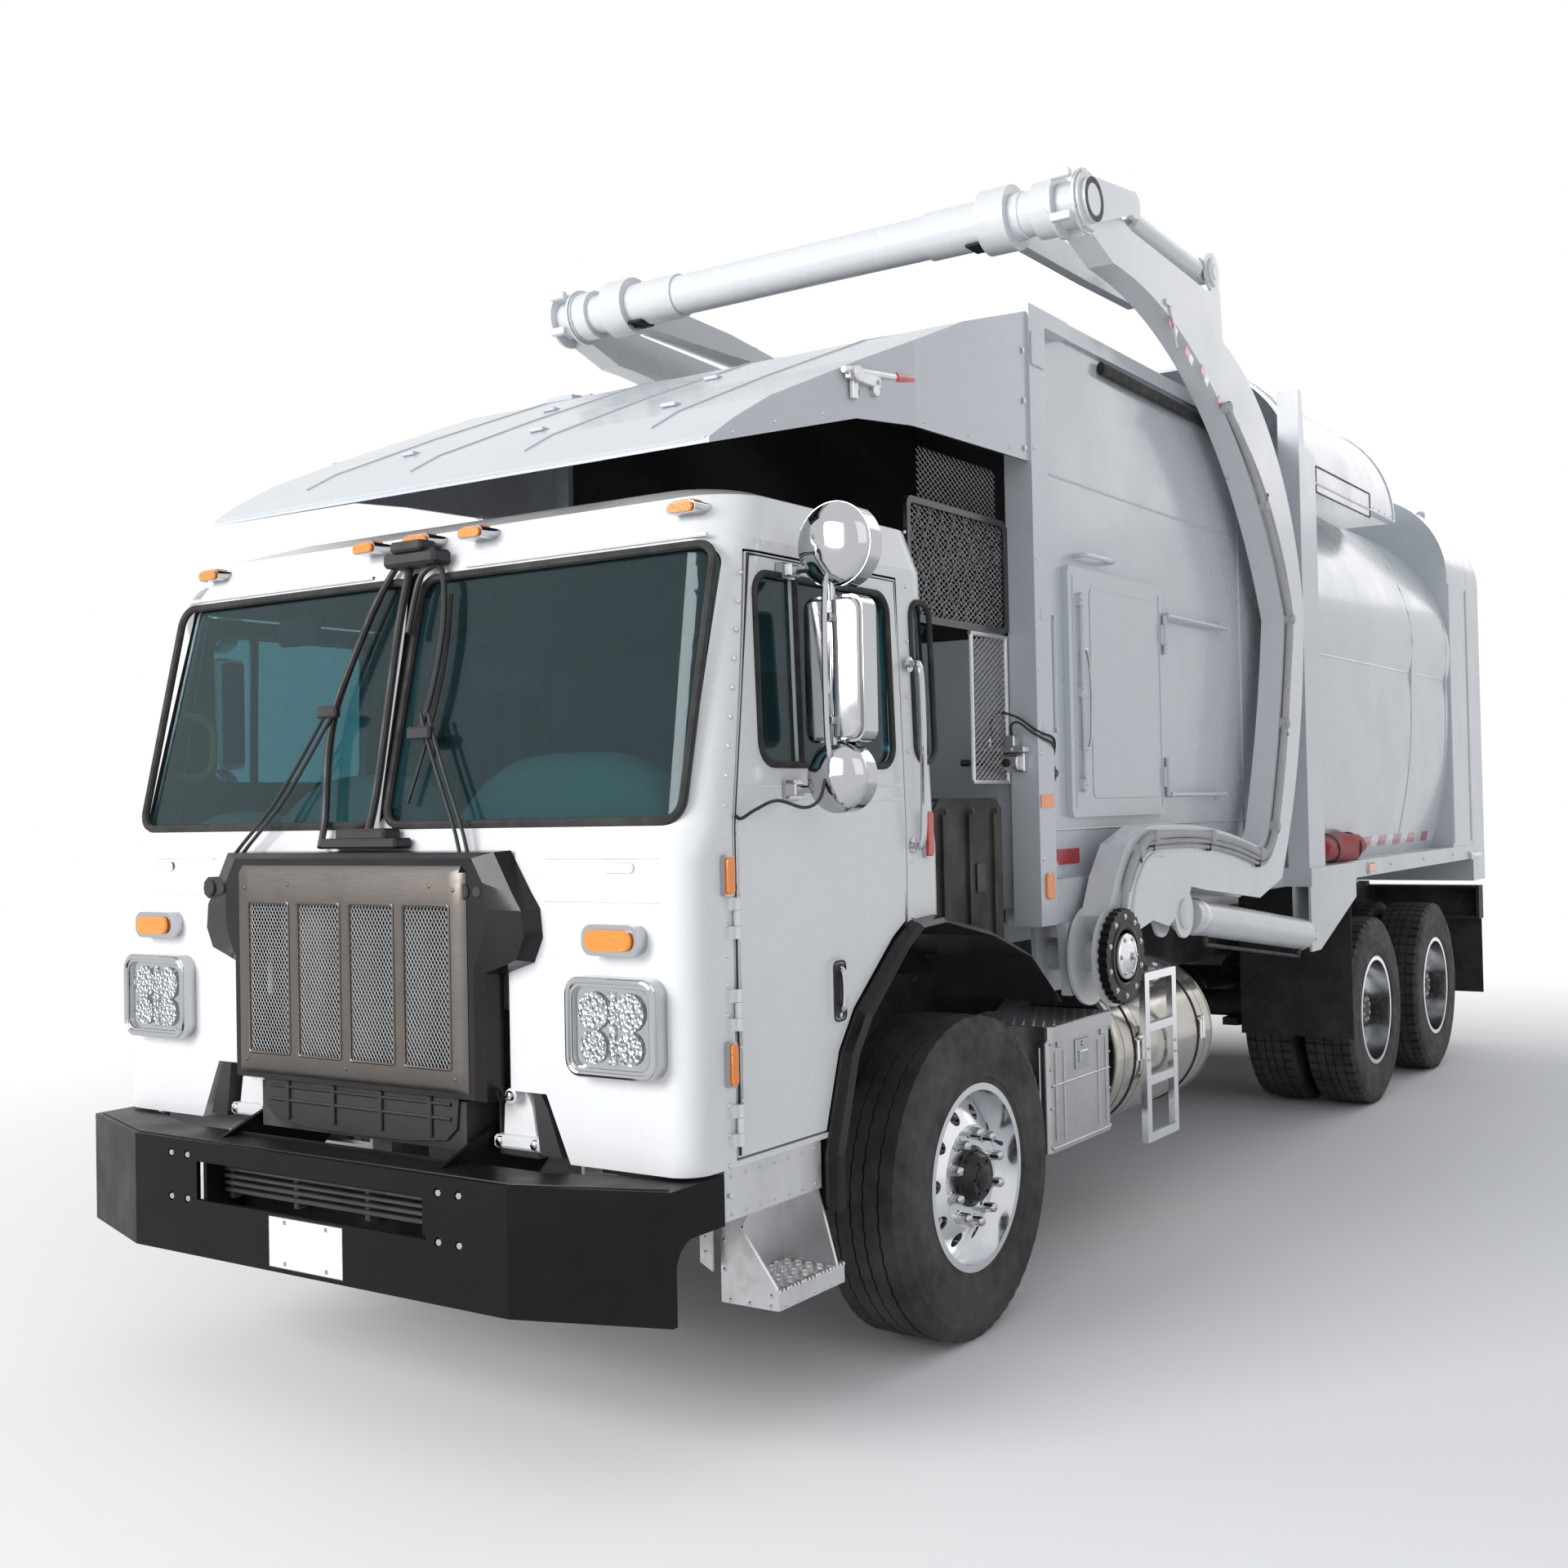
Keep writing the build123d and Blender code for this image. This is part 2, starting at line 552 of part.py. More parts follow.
# ---------------------------------------------------------------- chassis
def build_chassis():
    """Rails with cross members, bumper, axles and suspension."""
    low = RAIL_TOP - RAIL_H
    web = 9.0
    channel = ((RAIL_HALF, low), (RAIL_HALF, RAIL_TOP), (RAIL_HALF - RAIL_FLANGE, RAIL_TOP),
               (RAIL_HALF - RAIL_FLANGE, RAIL_TOP - web), (RAIL_HALF - web, RAIL_TOP - web),
               (RAIL_HALF - web, low + web), (RAIL_HALF - RAIL_FLANGE, low + web),
               (RAIL_HALF - RAIL_FLANGE, low))
    rail = xz(channel, RAIL_FRONT, RAIL_BACK)
    frame = rail + right_of(rail)
    for y in CROSS_Y:
        frame += block(-RAIL_HALF + web / 2, RAIL_HALF - web / 2, y - CROSS_W / 2, y + CROSS_W / 2,
                       low + 40, RAIL_TOP - 40)
    frame += block(-RAIL_HALF + web / 2, RAIL_HALF - web / 2, RAIL_FRONT + 20, RAIL_FRONT + 130, low,
                   low + 60)
    engine_mount = block(330 + SEAT, RAIL_HALF - web / 2, 1180, 1300, 880, 1040)
    frame += engine_mount + right_of(engine_mount)
    rear_bumper = block(-1200, 1200, RAIL_BACK - 2, REAR_BUMPER_BACK, 850, 1080)
    rear_slot = block(-1180, 1180, RAIL_BACK - 4, REAR_BUMPER_BACK - PLATE, 870, 1060)
    frame += rear_bumper - (rear_slot - block(-470, 470, 9000, 9200, 0, 2000))
    node("frame_rails", frame)

    flange_x = BUMPER_HALF - BUMPER_FLANGE
    right_half = ((BUMPER_FLAT_HALF, 0), (BUMPER_HALF, BUMPER_SWEEP), (BUMPER_HALF, BUMPER_RETURN),
                  (flange_x, BUMPER_RETURN), (flange_x, BUMPER_SWEEP + BUMPER_DEPTH),
                  (BUMPER_FLAT_HALF - 10, BUMPER_DEPTH))
    plan = right_half + tuple((-x, y) for x, y in right_half[::-1])
    form = xy(plan, BUMPER_BOTTOM, BUMPER_TOP)
    hollow_plan = ((-BUMPER_FLAT_HALF + 6, BUMPER_T), (BUMPER_FLAT_HALF - 6, BUMPER_T),
                   (BUMPER_HALF - BUMPER_T, BUMPER_SWEEP + BUMPER_T), (BUMPER_HALF - BUMPER_T, 600),
                   (-BUMPER_HALF + BUMPER_T, 600), (-BUMPER_HALF + BUMPER_T, BUMPER_SWEEP + BUMPER_T))
    hollow = xy(hollow_plan, BUMPER_BOTTOM - 10, BUMPER_TOP - BUMPER_T)
    slot = block(-BUMPER_SLOT_HALF, BUMPER_SLOT_HALF, -10, 60, *BUMPER_SLOT_Z)
    arch_y, arch_top = BUMPER_ARCH
    arch = rounded_yz(arch_y, BUMPER_RETURN + 100, BUMPER_BOTTOM - 100, arch_top, 70, BUMPER_HALF - 100,
                      BUMPER_HALF + 10)
    bumper = form - hollow - slot - arch - right_of(arch)
    for x in BOLT_X:
        for z in BOLT_Z:
            bumper = bumper - [bar_y(side * x, z, -20, 40, BOLT_R) for side in (-1, 1)]
    stay = yz(((BUMPER_T, 470), (BUMPER_T, 760), (RAIL_FRONT + 190, 1000), (RAIL_FRONT + 190, low + 20),
               (RAIL_FRONT - 60, 640)), RAIL_HALF + SEAT, RAIL_HALF + 15)
    node("bumper", bumper + stay + right_of(stay))

    beam_low = 385
    beam_top = 495
    beam = block(-KINGPIN_X + 90, KINGPIN_X - 90, FRONT_AXLE_Y - 55, FRONT_AXLE_Y + 55, beam_low, beam_top)
    waist = [block(-KINGPIN_X, KINGPIN_X, FRONT_AXLE_Y + side * 36 - 22, FRONT_AXLE_Y + side * 36 + 22,
                   beam_low + 26, beam_top - 26) for side in (-1, 1)]
    beam = beam - waist
    axle_end = xz(((KINGPIN_X - 130, beam_low), (KINGPIN_X - 130, beam_top), (KINGPIN_X - 20, AXLE_Z + 54),
                   (KINGPIN_X, AXLE_Z + 54), (KINGPIN_X, AXLE_Z - 54), (KINGPIN_X - 60, AXLE_Z - 54)),
                  FRONT_AXLE_Y - 45, FRONT_AXLE_Y + 45)
    boss = bar_z(KINGPIN_X, FRONT_AXLE_Y, AXLE_Z - 56, AXLE_Z + 56, 54)
    pin = bar_z(KINGPIN_X, FRONT_AXLE_Y, AXLE_Z - 108, AXLE_Z + 108, KINGPIN_R)
    end = axle_end + boss + pin
    node("front_axle", beam + end + right_of(end))

    knuckle = Part()
    for z0, z1 in ((AXLE_Z - 108, AXLE_Z - 62), (AXLE_Z + 62, AXLE_Z + 108)):
        knuckle += bar_z(KINGPIN_X, FRONT_AXLE_Y, z0, z1, 50)
        knuckle += block(KINGPIN_X, KINGPIN_X + 92, FRONT_AXLE_Y - 44, FRONT_AXLE_Y + 44, z0, z1)
    knuckle += block(KINGPIN_X + 66, KINGPIN_X + 96, FRONT_AXLE_Y - 60, FRONT_AXLE_Y + 60, AXLE_Z - 108,
                     AXLE_Z + 108)
    knuckle += bar_x(FRONT_AXLE_Y, AXLE_Z, KINGPIN_X + 90, FRONT_WHEEL_X + 40, SPINDLE_R)
    knuckle = knuckle - bar_z(KINGPIN_X, FRONT_AXLE_Y, 300, 700, KINGPIN_R + PIN_FIT)
    node("knuckle_left", knuckle)
    node("knuckle_right", right_of(knuckle))

    axles = []
    for y in REAR_AXLE_Y:
        tube = bar_x(y, AXLE_Z, -DUAL_OUTER_X - 30, DUAL_OUTER_X + 30, SPINDLE_R)
        casing = bar_x(y, AXLE_Z, -DUAL_INNER_X + 175, DUAL_INNER_X - 175, AXLE_CASING_R)
        bowl = Pos(0, y, AXLE_Z + 10) * Sphere(205)
        nose = bar_y(0, AXLE_Z + 20, y - 330, y, 105)
        axles.append(tube + casing + bowl + nose)
    run = REAR_AXLE_Y[0] - 300 - ENGINE_BACK
    fall = SHAFT_START_Z - AXLE_Z - 20
    tilt = math.degrees(math.atan2(fall, run))
    length = math.hypot(run, fall) - 3.4
    shaft = Pos(0, ENGINE_BACK, SHAFT_START_Z) * Rot(-tilt, 0, 0) * bar_y(0, 0, 3.4, length, 52)
    link = bar_y(0, AXLE_Z + 20, REAR_AXLE_Y[0] + 150, REAR_AXLE_Y[1] - 320, 46)
    drive_line = axles[0] + axles[1] + link + shaft
    node("rear_axles", drive_line)

    springs = []
    x0 = RAIL_HALF - 84
    leaf = yz(((1040, 690), (1350, 590), (1600, 545), (1760, 545), (2010, 590), (2320, 690),
               (2320, 722), (2010, 640), (1790, 625), (1570, 625), (1350, 640), (1040, 722)), x0, x0 + 78)
    pad = block(x0, x0 + 78, 1600, 1760, beam_top + SEAT, 546)
    ends = [block(x0, x0 + 78, y - 34, y + 34, 700, low - SEAT) for y in (1070, 2290)]
    springs.append(pair(leaf + pad + ends[0] + ends[1]))
    middle = sum(REAR_AXLE_Y) / 2
    under_axle = AXLE_Z - AXLE_CASING_R - SEAT
    front_y, back_y = REAR_AXLE_Y
    walking = yz(((front_y - 90, 400), (middle, 350), (back_y + 90, 400), (back_y + 90, under_axle),
                  (back_y - 100, under_axle), (middle + 160, 520), (middle - 160, 520),
                  (front_y + 100, under_axle), (front_y - 90, under_axle)), 330, 420)
    saddle = yz(((middle - 190, 500), (middle + 190, 500), (middle + 260, low - SEAT),
                 (middle - 260, low - SEAT)),
                330, 430)
    springs.append(pair(walking + saddle))
    node("suspension", springs)


# ---------------------------------------------------------------- wheels
def tyre(width, middle):
    """One tyre, turned about X at the height of the axle."""
    half = width / 2
    outline = ((middle - half + 25, BEAD_R), (middle - half, BEAD_R + 95),
               (middle - half + 14, TYRE_R - 42),
               (middle - half + 42, TYRE_R), (middle + half - 42, TYRE_R),
               (middle + half - 14, TYRE_R - 42),
               (middle + half, BEAD_R + 95), (middle + half - 25, BEAD_R))
    return turned(outline)


def turned(outline):
    """Ring turned about X from an outline of (x, radius)."""
    face = make_face(Polyline(*outline, close=True))
    return revolve(Plane.XZ * face, axis=Axis.X)


def rim_barrel(width, middle):
    """Rim between the beads of one tyre, with its two lips."""
    bead = width / 2 - 25 + 3.2
    r = BEAD_R - SEAT
    outline = ((middle - bead - RIM_T, RIM_LIP_R), (middle - bead, RIM_LIP_R), (middle - bead, r),
               (middle + bead, r), (middle + bead, RIM_LIP_R), (middle + bead + RIM_T, RIM_LIP_R),
               (middle + bead + RIM_T, r - RIM_T), (middle - bead - RIM_T, r - RIM_T))
    return turned(outline)


def hand_holes(x0, x1):
    """The ring of holes through a wheel disc."""
    holes = []
    for index in range(HAND_HOLES):
        angle = 2 * math.pi * index / HAND_HOLES
        holes.append(bar_x(HAND_HOLE_CIRCLE_R * math.cos(angle), HAND_HOLE_CIRCLE_R * math.sin(angle),
                           x0, x1, HAND_HOLE_R))
    return holes


def build_wheels():
    """Front wheels and twin rear wheels, each a tyre node and a rim node."""
    r = BEAD_R - RIM_T
    front_disc = turned(((28, r + 2), (48, r + 2), (112, 165), (112, HUB_PILOT_R - 4),
                         (96, HUB_PILOT_R - 4),
                         (96, 160)))
    front_hub = turned(((-62, SPINDLE_R + 1), (60, SPINDLE_R + 1), (60, 0), (158, 0), (158, 58), (146, 72),
                        (108, 92), (-62, 92)))
    front_drum = turned(((-128, 196), (-128, 210), (24, 210), (24, 90), (8, 90), (8, 196)))
    front_rim = (rim_barrel(TYRE_W_FRONT, 0) + front_disc - hand_holes(0, 200)) + front_hub + front_drum
    front_tyre = tyre(TYRE_W_FRONT, 0)
    place = Pos(FRONT_WHEEL_X, FRONT_AXLE_Y, AXLE_Z)
    node("front_tyre_left", place * front_tyre)
    node("front_rim_left", place * front_rim)
    node("front_tyre_right", right_of(place * front_tyre))
    node("front_rim_right", right_of(place * front_rim))

    joint_x = (DUAL_OUTER_X + DUAL_INNER_X) / 2
    discs = turned(((joint_x + 62, r + 2), (joint_x + 42, r + 2), (joint_x, 190), (joint_x - 42, r + 2),
                    (joint_x - 62, r + 2), (joint_x - 13, 166), (joint_x - 13, 90), (joint_x + 13, 90),
                    (joint_x + 13, 166)))
    hub = turned(((joint_x - 200, SPINDLE_R + 1), (DUAL_OUTER_X + 36, SPINDLE_R + 1),
                  (DUAL_OUTER_X + 36, 0),
                  (DUAL_OUTER_X + 70, 0), (DUAL_OUTER_X + 70, 78), (joint_x + 30, 96), (joint_x - 200, 96)))
    drum = turned(((DUAL_INNER_X - 120, 206), (DUAL_INNER_X - 120, 220), (DUAL_INNER_X + 40, 220),
                   (DUAL_INNER_X + 40, 94), (DUAL_INNER_X + 24, 94), (DUAL_INNER_X + 24, 206)))
    rims = rim_barrel(TYRE_W_REAR, DUAL_OUTER_X) + rim_barrel(TYRE_W_REAR, DUAL_INNER_X) + discs
    rims = (rims - hand_holes(joint_x - 120, joint_x + 120)) + hub + drum
    for label, y in zip(("front", "back"), REAR_AXLE_Y):
        place = Pos(0, y, AXLE_Z)
        tyres = [place * tyre(TYRE_W_REAR, DUAL_OUTER_X), place * tyre(TYRE_W_REAR, DUAL_INNER_X)]
        node(f"drive_tyres_{label}_left", tyres)
        node(f"drive_rims_{label}_left", place * rims)
        node(f"drive_tyres_{label}_right", [right_of(one) for one in tyres])
        node(f"drive_rims_{label}_right", right_of(place * rims))


# ---------------------------------------------------------------- side equipment
def build_side_equipment():
    """Fuel tanks with straps and step frames, tool boxes, enclosure behind the cab, mud flaps."""
    tank_r = 310.0
    tank_x = CAB_HALF - tank_r - 12
    tank_z = 722.0
    tank_y = (2930.0, 3930.0)
    tank = bar_y(tank_x, tank_z, *tank_y, tank_r)
    tank = fillet(tank.edges(), 28)
    straps = [bar_y(tank_x, tank_z, y - 28, y + 28, tank_r + 5) for y in (3090, 3770)]
    step_x = tank_x + tank_r + 6
    legs = [block(step_x, step_x + 26, y - 22, y + 22, 370, 1040) for y in (3120, 3400)]
    rungs = [block(step_x, step_x + 26, 3120, 3400, z - 16, z + 16) for z in (386, 610, 820, 1024)]
    stays = [block(tank_x + tank_r - 30, step_x + 4, y - 22, y + 22, tank_z - 20, tank_z + 20)
             for y in (3120, 3400)]
    tank_all = tank
    for part in straps + legs + rungs + stays:
        tank_all += part
    bracket = [block(RAIL_HALF + SEAT, tank_x, y - 30, y + 30, RAIL_TOP - 150, RAIL_TOP - 90)
               for y in (3090, 3770)]
    for part in bracket:
        tank_all += part
    node("fuel_tanks", pair(tank_all))

    box = block(760, 1150, 2350, 2890, 460, 905)
    lid = block(752, 1162, 2342, 2898, 860, 915)
    box = fillet(box.edges().filter_by(Axis.Z), 24) + fillet(lid.edges().filter_by(Axis.Z), 26)
    arm = block(RAIL_HALF + SEAT, 770, 2560, 2640, 700, 900)
    node("tool_boxes", pair(box + arm))

    cover = block(-1080, 1080, CAB_BACK + 120, POST_FRONT - 140, RAIL_TOP + SEAT, 1745)
    cover = chamfer(cover.edges().filter_by(Axis.X).group_by(Axis.Z)[-1], 40)
    ribs = [block(1080, 1092, y, y + 18, 1180, 1690) for y in (1720, 1900, 2080)]
    for rib in ribs:
        cover += rib + right_of(rib)
    cover -= block(-1068, 1068, CAB_BACK + 132, POST_FRONT - 152, 1000, 1733)
    cover -= block(-345, 345, CAB_BACK, ENGINE_BACK, 0, 1455)
    wheel_room = arch_cut(SEAT, 790, 1300)
    node("engine_enclosure", cover - wheel_room - right_of(wheel_room))

    flap_in = 620
    flaps = [pair(block(flap_in, 1235, 5840, 5848, 430, SILL_BOTTOM - SEAT)),
             pair(block(flap_in, 1200, 9096, 9104, 338, 850 - SEAT))]
    node("mud_flaps", flaps)


# ---------------------------------------------------------------- hopper and body
def body_face(side_low, side_mid, roof_half, roof_top, floor_z, bulge_z, bulge_x):
    """Cross section of the body: bulged sides, round shoulders and a flat roof."""
    right = Line((0, floor_z), (side_low, floor_z))
    right += ThreePointArc((side_low, floor_z), (bulge_x, bulge_z), (side_mid[0], side_mid[1]))
    shoulder = shoulder_arc(side_mid, (roof_half, roof_top))
    half = right + shoulder + Line((roof_half, roof_top), (0, roof_top)) + Line((0, roof_top), (0, floor_z))
    face = make_face(half)
    return face + mirror(face, about=Plane.YZ)


def shoulder_arc(start, end):
    """Quarter-round between an upright side and a flat roof."""
    return ThreePointArc(start, (end[0] + (start[0] - end[0]) * 0.7071,
                                 start[1] + (end[1] - start[1]) * 0.7071), end)


def ring_face(half, corner_in, corner_z, top, bottom):
    """Outline of the rear ring and tailgate: upright sides and round top corners."""
    line = Line((0, bottom), (half, bottom)) + Line((half, bottom), (half, corner_z))
    line += shoulder_arc((half, corner_z), (corner_in, top))
    line += Line((corner_in, top), (0, top)) + Line((0, top), (0, bottom))
    face = make_face(line)
    return face + mirror(face, about=Plane.YZ)


def along_y(face, y0, y1):
    """Extrude an (x, z) face between two y stations."""
    plane = Plane(origin=(0, y0, 0), x_dir=(1, 0, 0), z_dir=(0, -1, 0))
    return extrude(plane * face, amount=-(y1 - y0))


def build_body():
    """Hopper, canopy, packer body, hood, decks and floor."""
    sill_half = POST_HALF - 20
    post = block(POST_HALF - 110, POST_HALF, POST_FRONT, POST_FRONT + POST_W, SILL_BOTTOM, POST_TOP)
    cap = block(HOPPER_HALF - 80, POST_HALF, POST_FRONT, POST_FRONT + 330, POST_TOP, POST_TOP + 62)
    wall = block(HOPPER_HALF - HOPPER_T, HOPPER_HALF, POST_FRONT + POST_W - 20, BODY_FRONT, FLOOR_TOP,
                 HOPPER_TOP)
    rim = block(HOPPER_HALF - 70, HOPPER_HALF + 12, POST_FRONT + POST_W, BODY_FRONT, HOPPER_TOP - 60,
                HOPPER_TOP)
    sill = block(HOPPER_HALF - 100, sill_half, POST_FRONT + POST_W - 20, BODY_FRONT, SILL_BOTTOM, SILL_TOP)
    rails = Part()
    # grab rails on the hopper side: y from, y to, z
    for y0, y1, z in ((3600, 4320, 2505), (3600, 4240, 1745)):
        rails += bar_y(HOPPER_HALF + 40, z, y0, y1, 11)
        for y in (y0, y1):
            rails += bar_x(y, z, HOPPER_HALF - 4, HOPPER_HALF + 51, 11)
    upright_y = POST_FRONT + POST_W + 50
    rails += bar_z(HOPPER_HALF + 44, upright_y, 1990, 2400, 11)
    for z in (1990, 2400):
        rails += bar_x(upright_y, z, HOPPER_HALF - 4, HOPPER_HALF + 55, 11)
    hinges = Part()
    for z in HATCH_HINGE_Z:
        for z0, z1 in ((z - 82, z - 42), (z + 42, z + 82)):
            hinges += bar_z(*HATCH_AXIS, z0, z1, HATCH_PIN_R)
            hinges += block(HOPPER_HALF - 2, HATCH_AXIS[0], HATCH_AXIS[1] + 4, HATCH_AXIS[1] + 18, z0, z1)
    side = post + cap + wall + rim + sill + rails
    node("hopper_sides", side + hinges, right_of(side))

    front = block(-POST_HALF + 110 + SEAT, POST_HALF - 110 - SEAT, POST_FRONT + 30, POST_FRONT + 46,
                  FLOOR_TOP + SEAT, 3440)
    # mesh guards beside the front wall: frame and slanting bars
    guard = rounded_yz(1590, POST_FRONT - 12, 2330, 2740, 30, 1040, 1056)
    guard = guard - rounded_yz(1612, POST_FRONT - 34, 2352, 2718, 18, 1030, 1066)
    for index in range(10):
        y = 1490 + index * 80
        bar = yz(((y, 2340), (y + 7, 2340), (y + 207, 2730), (y + 200, 2730)), 1044, 1050)
        back = yz(((y + 200, 2340), (y + 207, 2340), (y + 7, 2730), (y, 2730)), 1044, 1050)
        guard += (bar + back) & block(1000, 1100, 1600, POST_FRONT - 20, 2340, 2730)
    guard_arm = block(1040, 1056, POST_FRONT - 20, POST_FRONT - SEAT, 2340, 2720)
    node("hopper_front", front, pair(guard + guard_arm))

    plate_half = HOPPER_HALF - 100 - SEAT
    plate = block(-plate_half, plate_half, POST_FRONT + 46 + SEAT, GATE_Y - 10, FLOOR_TOP,
                  FLOOR_TOP + PLATE)
    floor = plate
    for x0 in (RAIL_HALF - 70, plate_half - 60):
        low = RAIL_TOP + SEAT if x0 < RAIL_HALF else SILL_BOTTOM
        beam = block(x0, x0 + 60, POST_FRONT + 46 + SEAT, GATE_Y - 10, low, FLOOR_TOP + 2)
        beam -= block(x0 + 10, x0 + 50, POST_FRONT, GATE_Y, low + 10, FLOOR_TOP - 8)
        floor += beam + right_of(beam)
    for y in range(2600, 8700, 600):
        floor += block(-plate_half, plate_half, y, y + 60, SILL_BOTTOM, FLOOR_TOP + 2)
    node("body_floor", floor)

    section = body_face(1085, (BODY_HALF - 2, 2450), 700, 3450, DECK_TOP, 1860, 1186)
    hollow = offset(section, amount=-BODY_T, kind=Kind.INTERSECTION)
    shell = along_y(section, BODY_FRONT, FRAME_Y) - along_y(hollow, BODY_FRONT - 10, FRAME_Y + 10)
    shell -= block(-1060, 1060, BODY_FRONT - 10, FRAME_Y + 10, DECK_TOP - 20, DECK_TOP + BODY_T + 4)
    ring = along_y(ring_face(1220, 650, 3150, 3720, DECK_TOP), FRAME_Y, GATE_Y)
    ring -= along_y(hollow, FRAME_Y - 10, GATE_Y + 10)
    ring -= block(-1060, 1060, FRAME_Y - 10, GATE_Y + 10, DECK_TOP - 20, DECK_TOP + BODY_T + 4)
    front_ring = along_y(section, BODY_FRONT, BODY_FRONT + 20)
    front_ring -= block(-HOPPER_HALF + HOPPER_T, HOPPER_HALF - HOPPER_T, BODY_FRONT - 10, BODY_FRONT + 40,
                        1200, 3420)
    post_line = ((BODY_FRONT, DECK_TOP), (BODY_FRONT, 3740), (BODY_FRONT + 60, 3740),
                 (BODY_FRONT + 90, 3470),
                 (BODY_FRONT + 260, 3440), (BODY_FRONT + 260, DECK_TOP))
    rear_post = yz(post_line, BODY_HALF - 50, 1265)
    ears = Part()
    for x in (-640, 560):
        ears += yz(((GATE_Y - 180, 3700), (GATE_Y - 20, 3820), (GATE_Y + 36, 3820), (GATE_Y + 36, 3744),
                    (GATE_Y - 4, 3744), (GATE_Y - 4, 3700)), x, x + 24)
        ears += yz(((GATE_Y - 180, 3700), (GATE_Y - 20, 3820), (GATE_Y + 36, 3820), (GATE_Y + 36, 3744),
                    (GATE_Y - 4, 3744), (GATE_Y - 4, 3700)), x + 56, x + 80)
        ears += bar_x(GATE_Y, 3782, x + 2, x + 78, 16)
    node("body_shell", shell + ring + front_ring + rear_post + right_of(rear_post) + ears)

    hood_face = ring_face(1222, 600, 3350, 3970, 3330)
    hood_form = along_y(hood_face, BODY_FRONT + 92, HOOD_BACK)
    hood_in = along_y(offset(hood_face, amount=-BODY_T, kind=Kind.INTERSECTION), BODY_FRONT + 80,
                      HOOD_BACK - BODY_T)
    shell_out = along_y(offset(section, amount=SEAT, kind=Kind.INTERSECTION), BODY_FRONT, HOOD_BACK + 10)
    hood = hood_form - hood_in - shell_out
    hood -= block(-1180, 1180, BODY_FRONT, HOOD_BACK - BODY_T, 3300, 3349)
    post_room = yz(((BODY_FRONT - 10, 1300), (BODY_FRONT - 10, 3480), (BODY_FRONT + 90, 3470 + SEAT),
                    (BODY_FRONT + 260 + SEAT, 3440 + SEAT), (BODY_FRONT + 260 + SEAT, 1300)), 1150, 1300)
    hood -= post_room + right_of(post_room)
    node("hopper_hood", max(hood.solids(), key=lambda solid: solid.volume))

    deck = block(1000, 1225, BODY_FRONT + 770, GATE_Y - 10, DECK_TOP - DECK_T, DECK_TOP - SEAT)
    deck += block(1000, 1274, BODY_FRONT, BODY_FRONT + 772, DECK_TOP - DECK_T, DECK_TOP - SEAT)
    node("wheel_decks", pair(deck))

    # canopy over the cab: top line and lower edge of the side plates, as (y, z)
    canopy_top = ((2300 - SEAT, 3492), (1832, 3346), (1237, 3100), (786, 2902), (630, 2813), (525, 2742))
    canopy_low = ((525, 2726), (1190, 2905), (1470, 2930), (2300 - SEAT, 2950))
    front_half = 1060
    back_half = 1150
    lip = 12

    def plan(inset, start):
        return ((-back_half + inset, 2400), (-back_half + inset, 1500), (-front_half + inset, start),
                (front_half - inset, start), (back_half - inset, 1500), (back_half - inset, 2400))

    solid = yz(canopy_low + canopy_top, -1200, 1200) & xy(plan(0, 500), 2600, 3600)
    lowered = tuple((y, z - lip * 1.3) for y, z in canopy_top)
    inside = yz(((500, 2500), (2400, 2500), (2400, 3500 - lip * 1.3))
                + lowered + ((500, 2742 - lip * 1.3),), -1200, 1200)
    inside = inside & xy(plan(lip, 480), 2400, 3600)
    canopy = solid - inside
    rib_line = lowered[::-1] + tuple((y + 20, z - 55) for y, z in lowered)
    for x in (-500, 0, 500):
        canopy += yz(rib_line, x - 20, x + 20) & solid
    node("canopy", max(canopy.solids(), key=lambda one: one.volume))

    door_in = HOPPER_HALF + SEAT
    lid = rounded_yz(*HATCH_Y, 1665, 2620, 30, door_in, door_in + 26)
    lid = lid - rounded_yz(HATCH_Y[0] + 40, HATCH_Y[1] - 40, 1705, 2580, 20, door_in - 5, door_in + 14)
    latch = bar_z(door_in + 38, HATCH_Y[0] + 90, 1760, 2520, 9)
    for z in (1790, 2140, 2490):
        latch += block(door_in + 20, door_in + 44, HATCH_Y[0] + 70, HATCH_Y[0] + 110, z - 20, z + 20)
    for z in HATCH_HINGE_Z:
        lid += bar_z(*HATCH_AXIS, z - 40, z + 40, HATCH_PIN_R)
        lid += block(door_in + 20, HATCH_AXIS[0], HATCH_AXIS[1] - 36, HATCH_AXIS[1] - 1, z - 40, z + 40)
    node("access_door", lid + latch)


# ---------------------------------------------------------------- lift arms, forks and cylinders
def arm_face():
    """Side outline of one lift arm: knee over the hopper, hump and pivot hook."""
    line = Polyline((2600, 1300), (2680, 1440), (2790, 1560), (3000, 1622))
    line += ThreePointArc((3000, 1622), (3640, 1604), (4240, 1510))
    line += ThreePointArc((4240, 1510), (4352, 1534), (4420, 1610))
    line += ThreePointArc((4420, 1610), (4590, 2060), (4710, 2570))
    line += ThreePointArc((4710, 2570), (4040, 3370), (2800, 3770))
    line += Polyline((2800, 3770), (2610, 3832), (2610, 4048), (2960, 3945), (3790, 3912), (3860, 3930),
                     (3950, 3960), (3975, 3730))
    line += ThreePointArc((3975, 3730), (4640, 3370), (5020, 2640))
    line += ThreePointArc((5020, 2640), (4900, 1980), (4590, 1345))
    line += Polyline((4590, 1345), (4280, 1272), (3600, 1344), (3440, 1366), (3400, 1300), (3190, 1222),
                     (3030, 1256), (2900, 1230), (2760, 1100), (2600, 1300))
    return make_face(line)


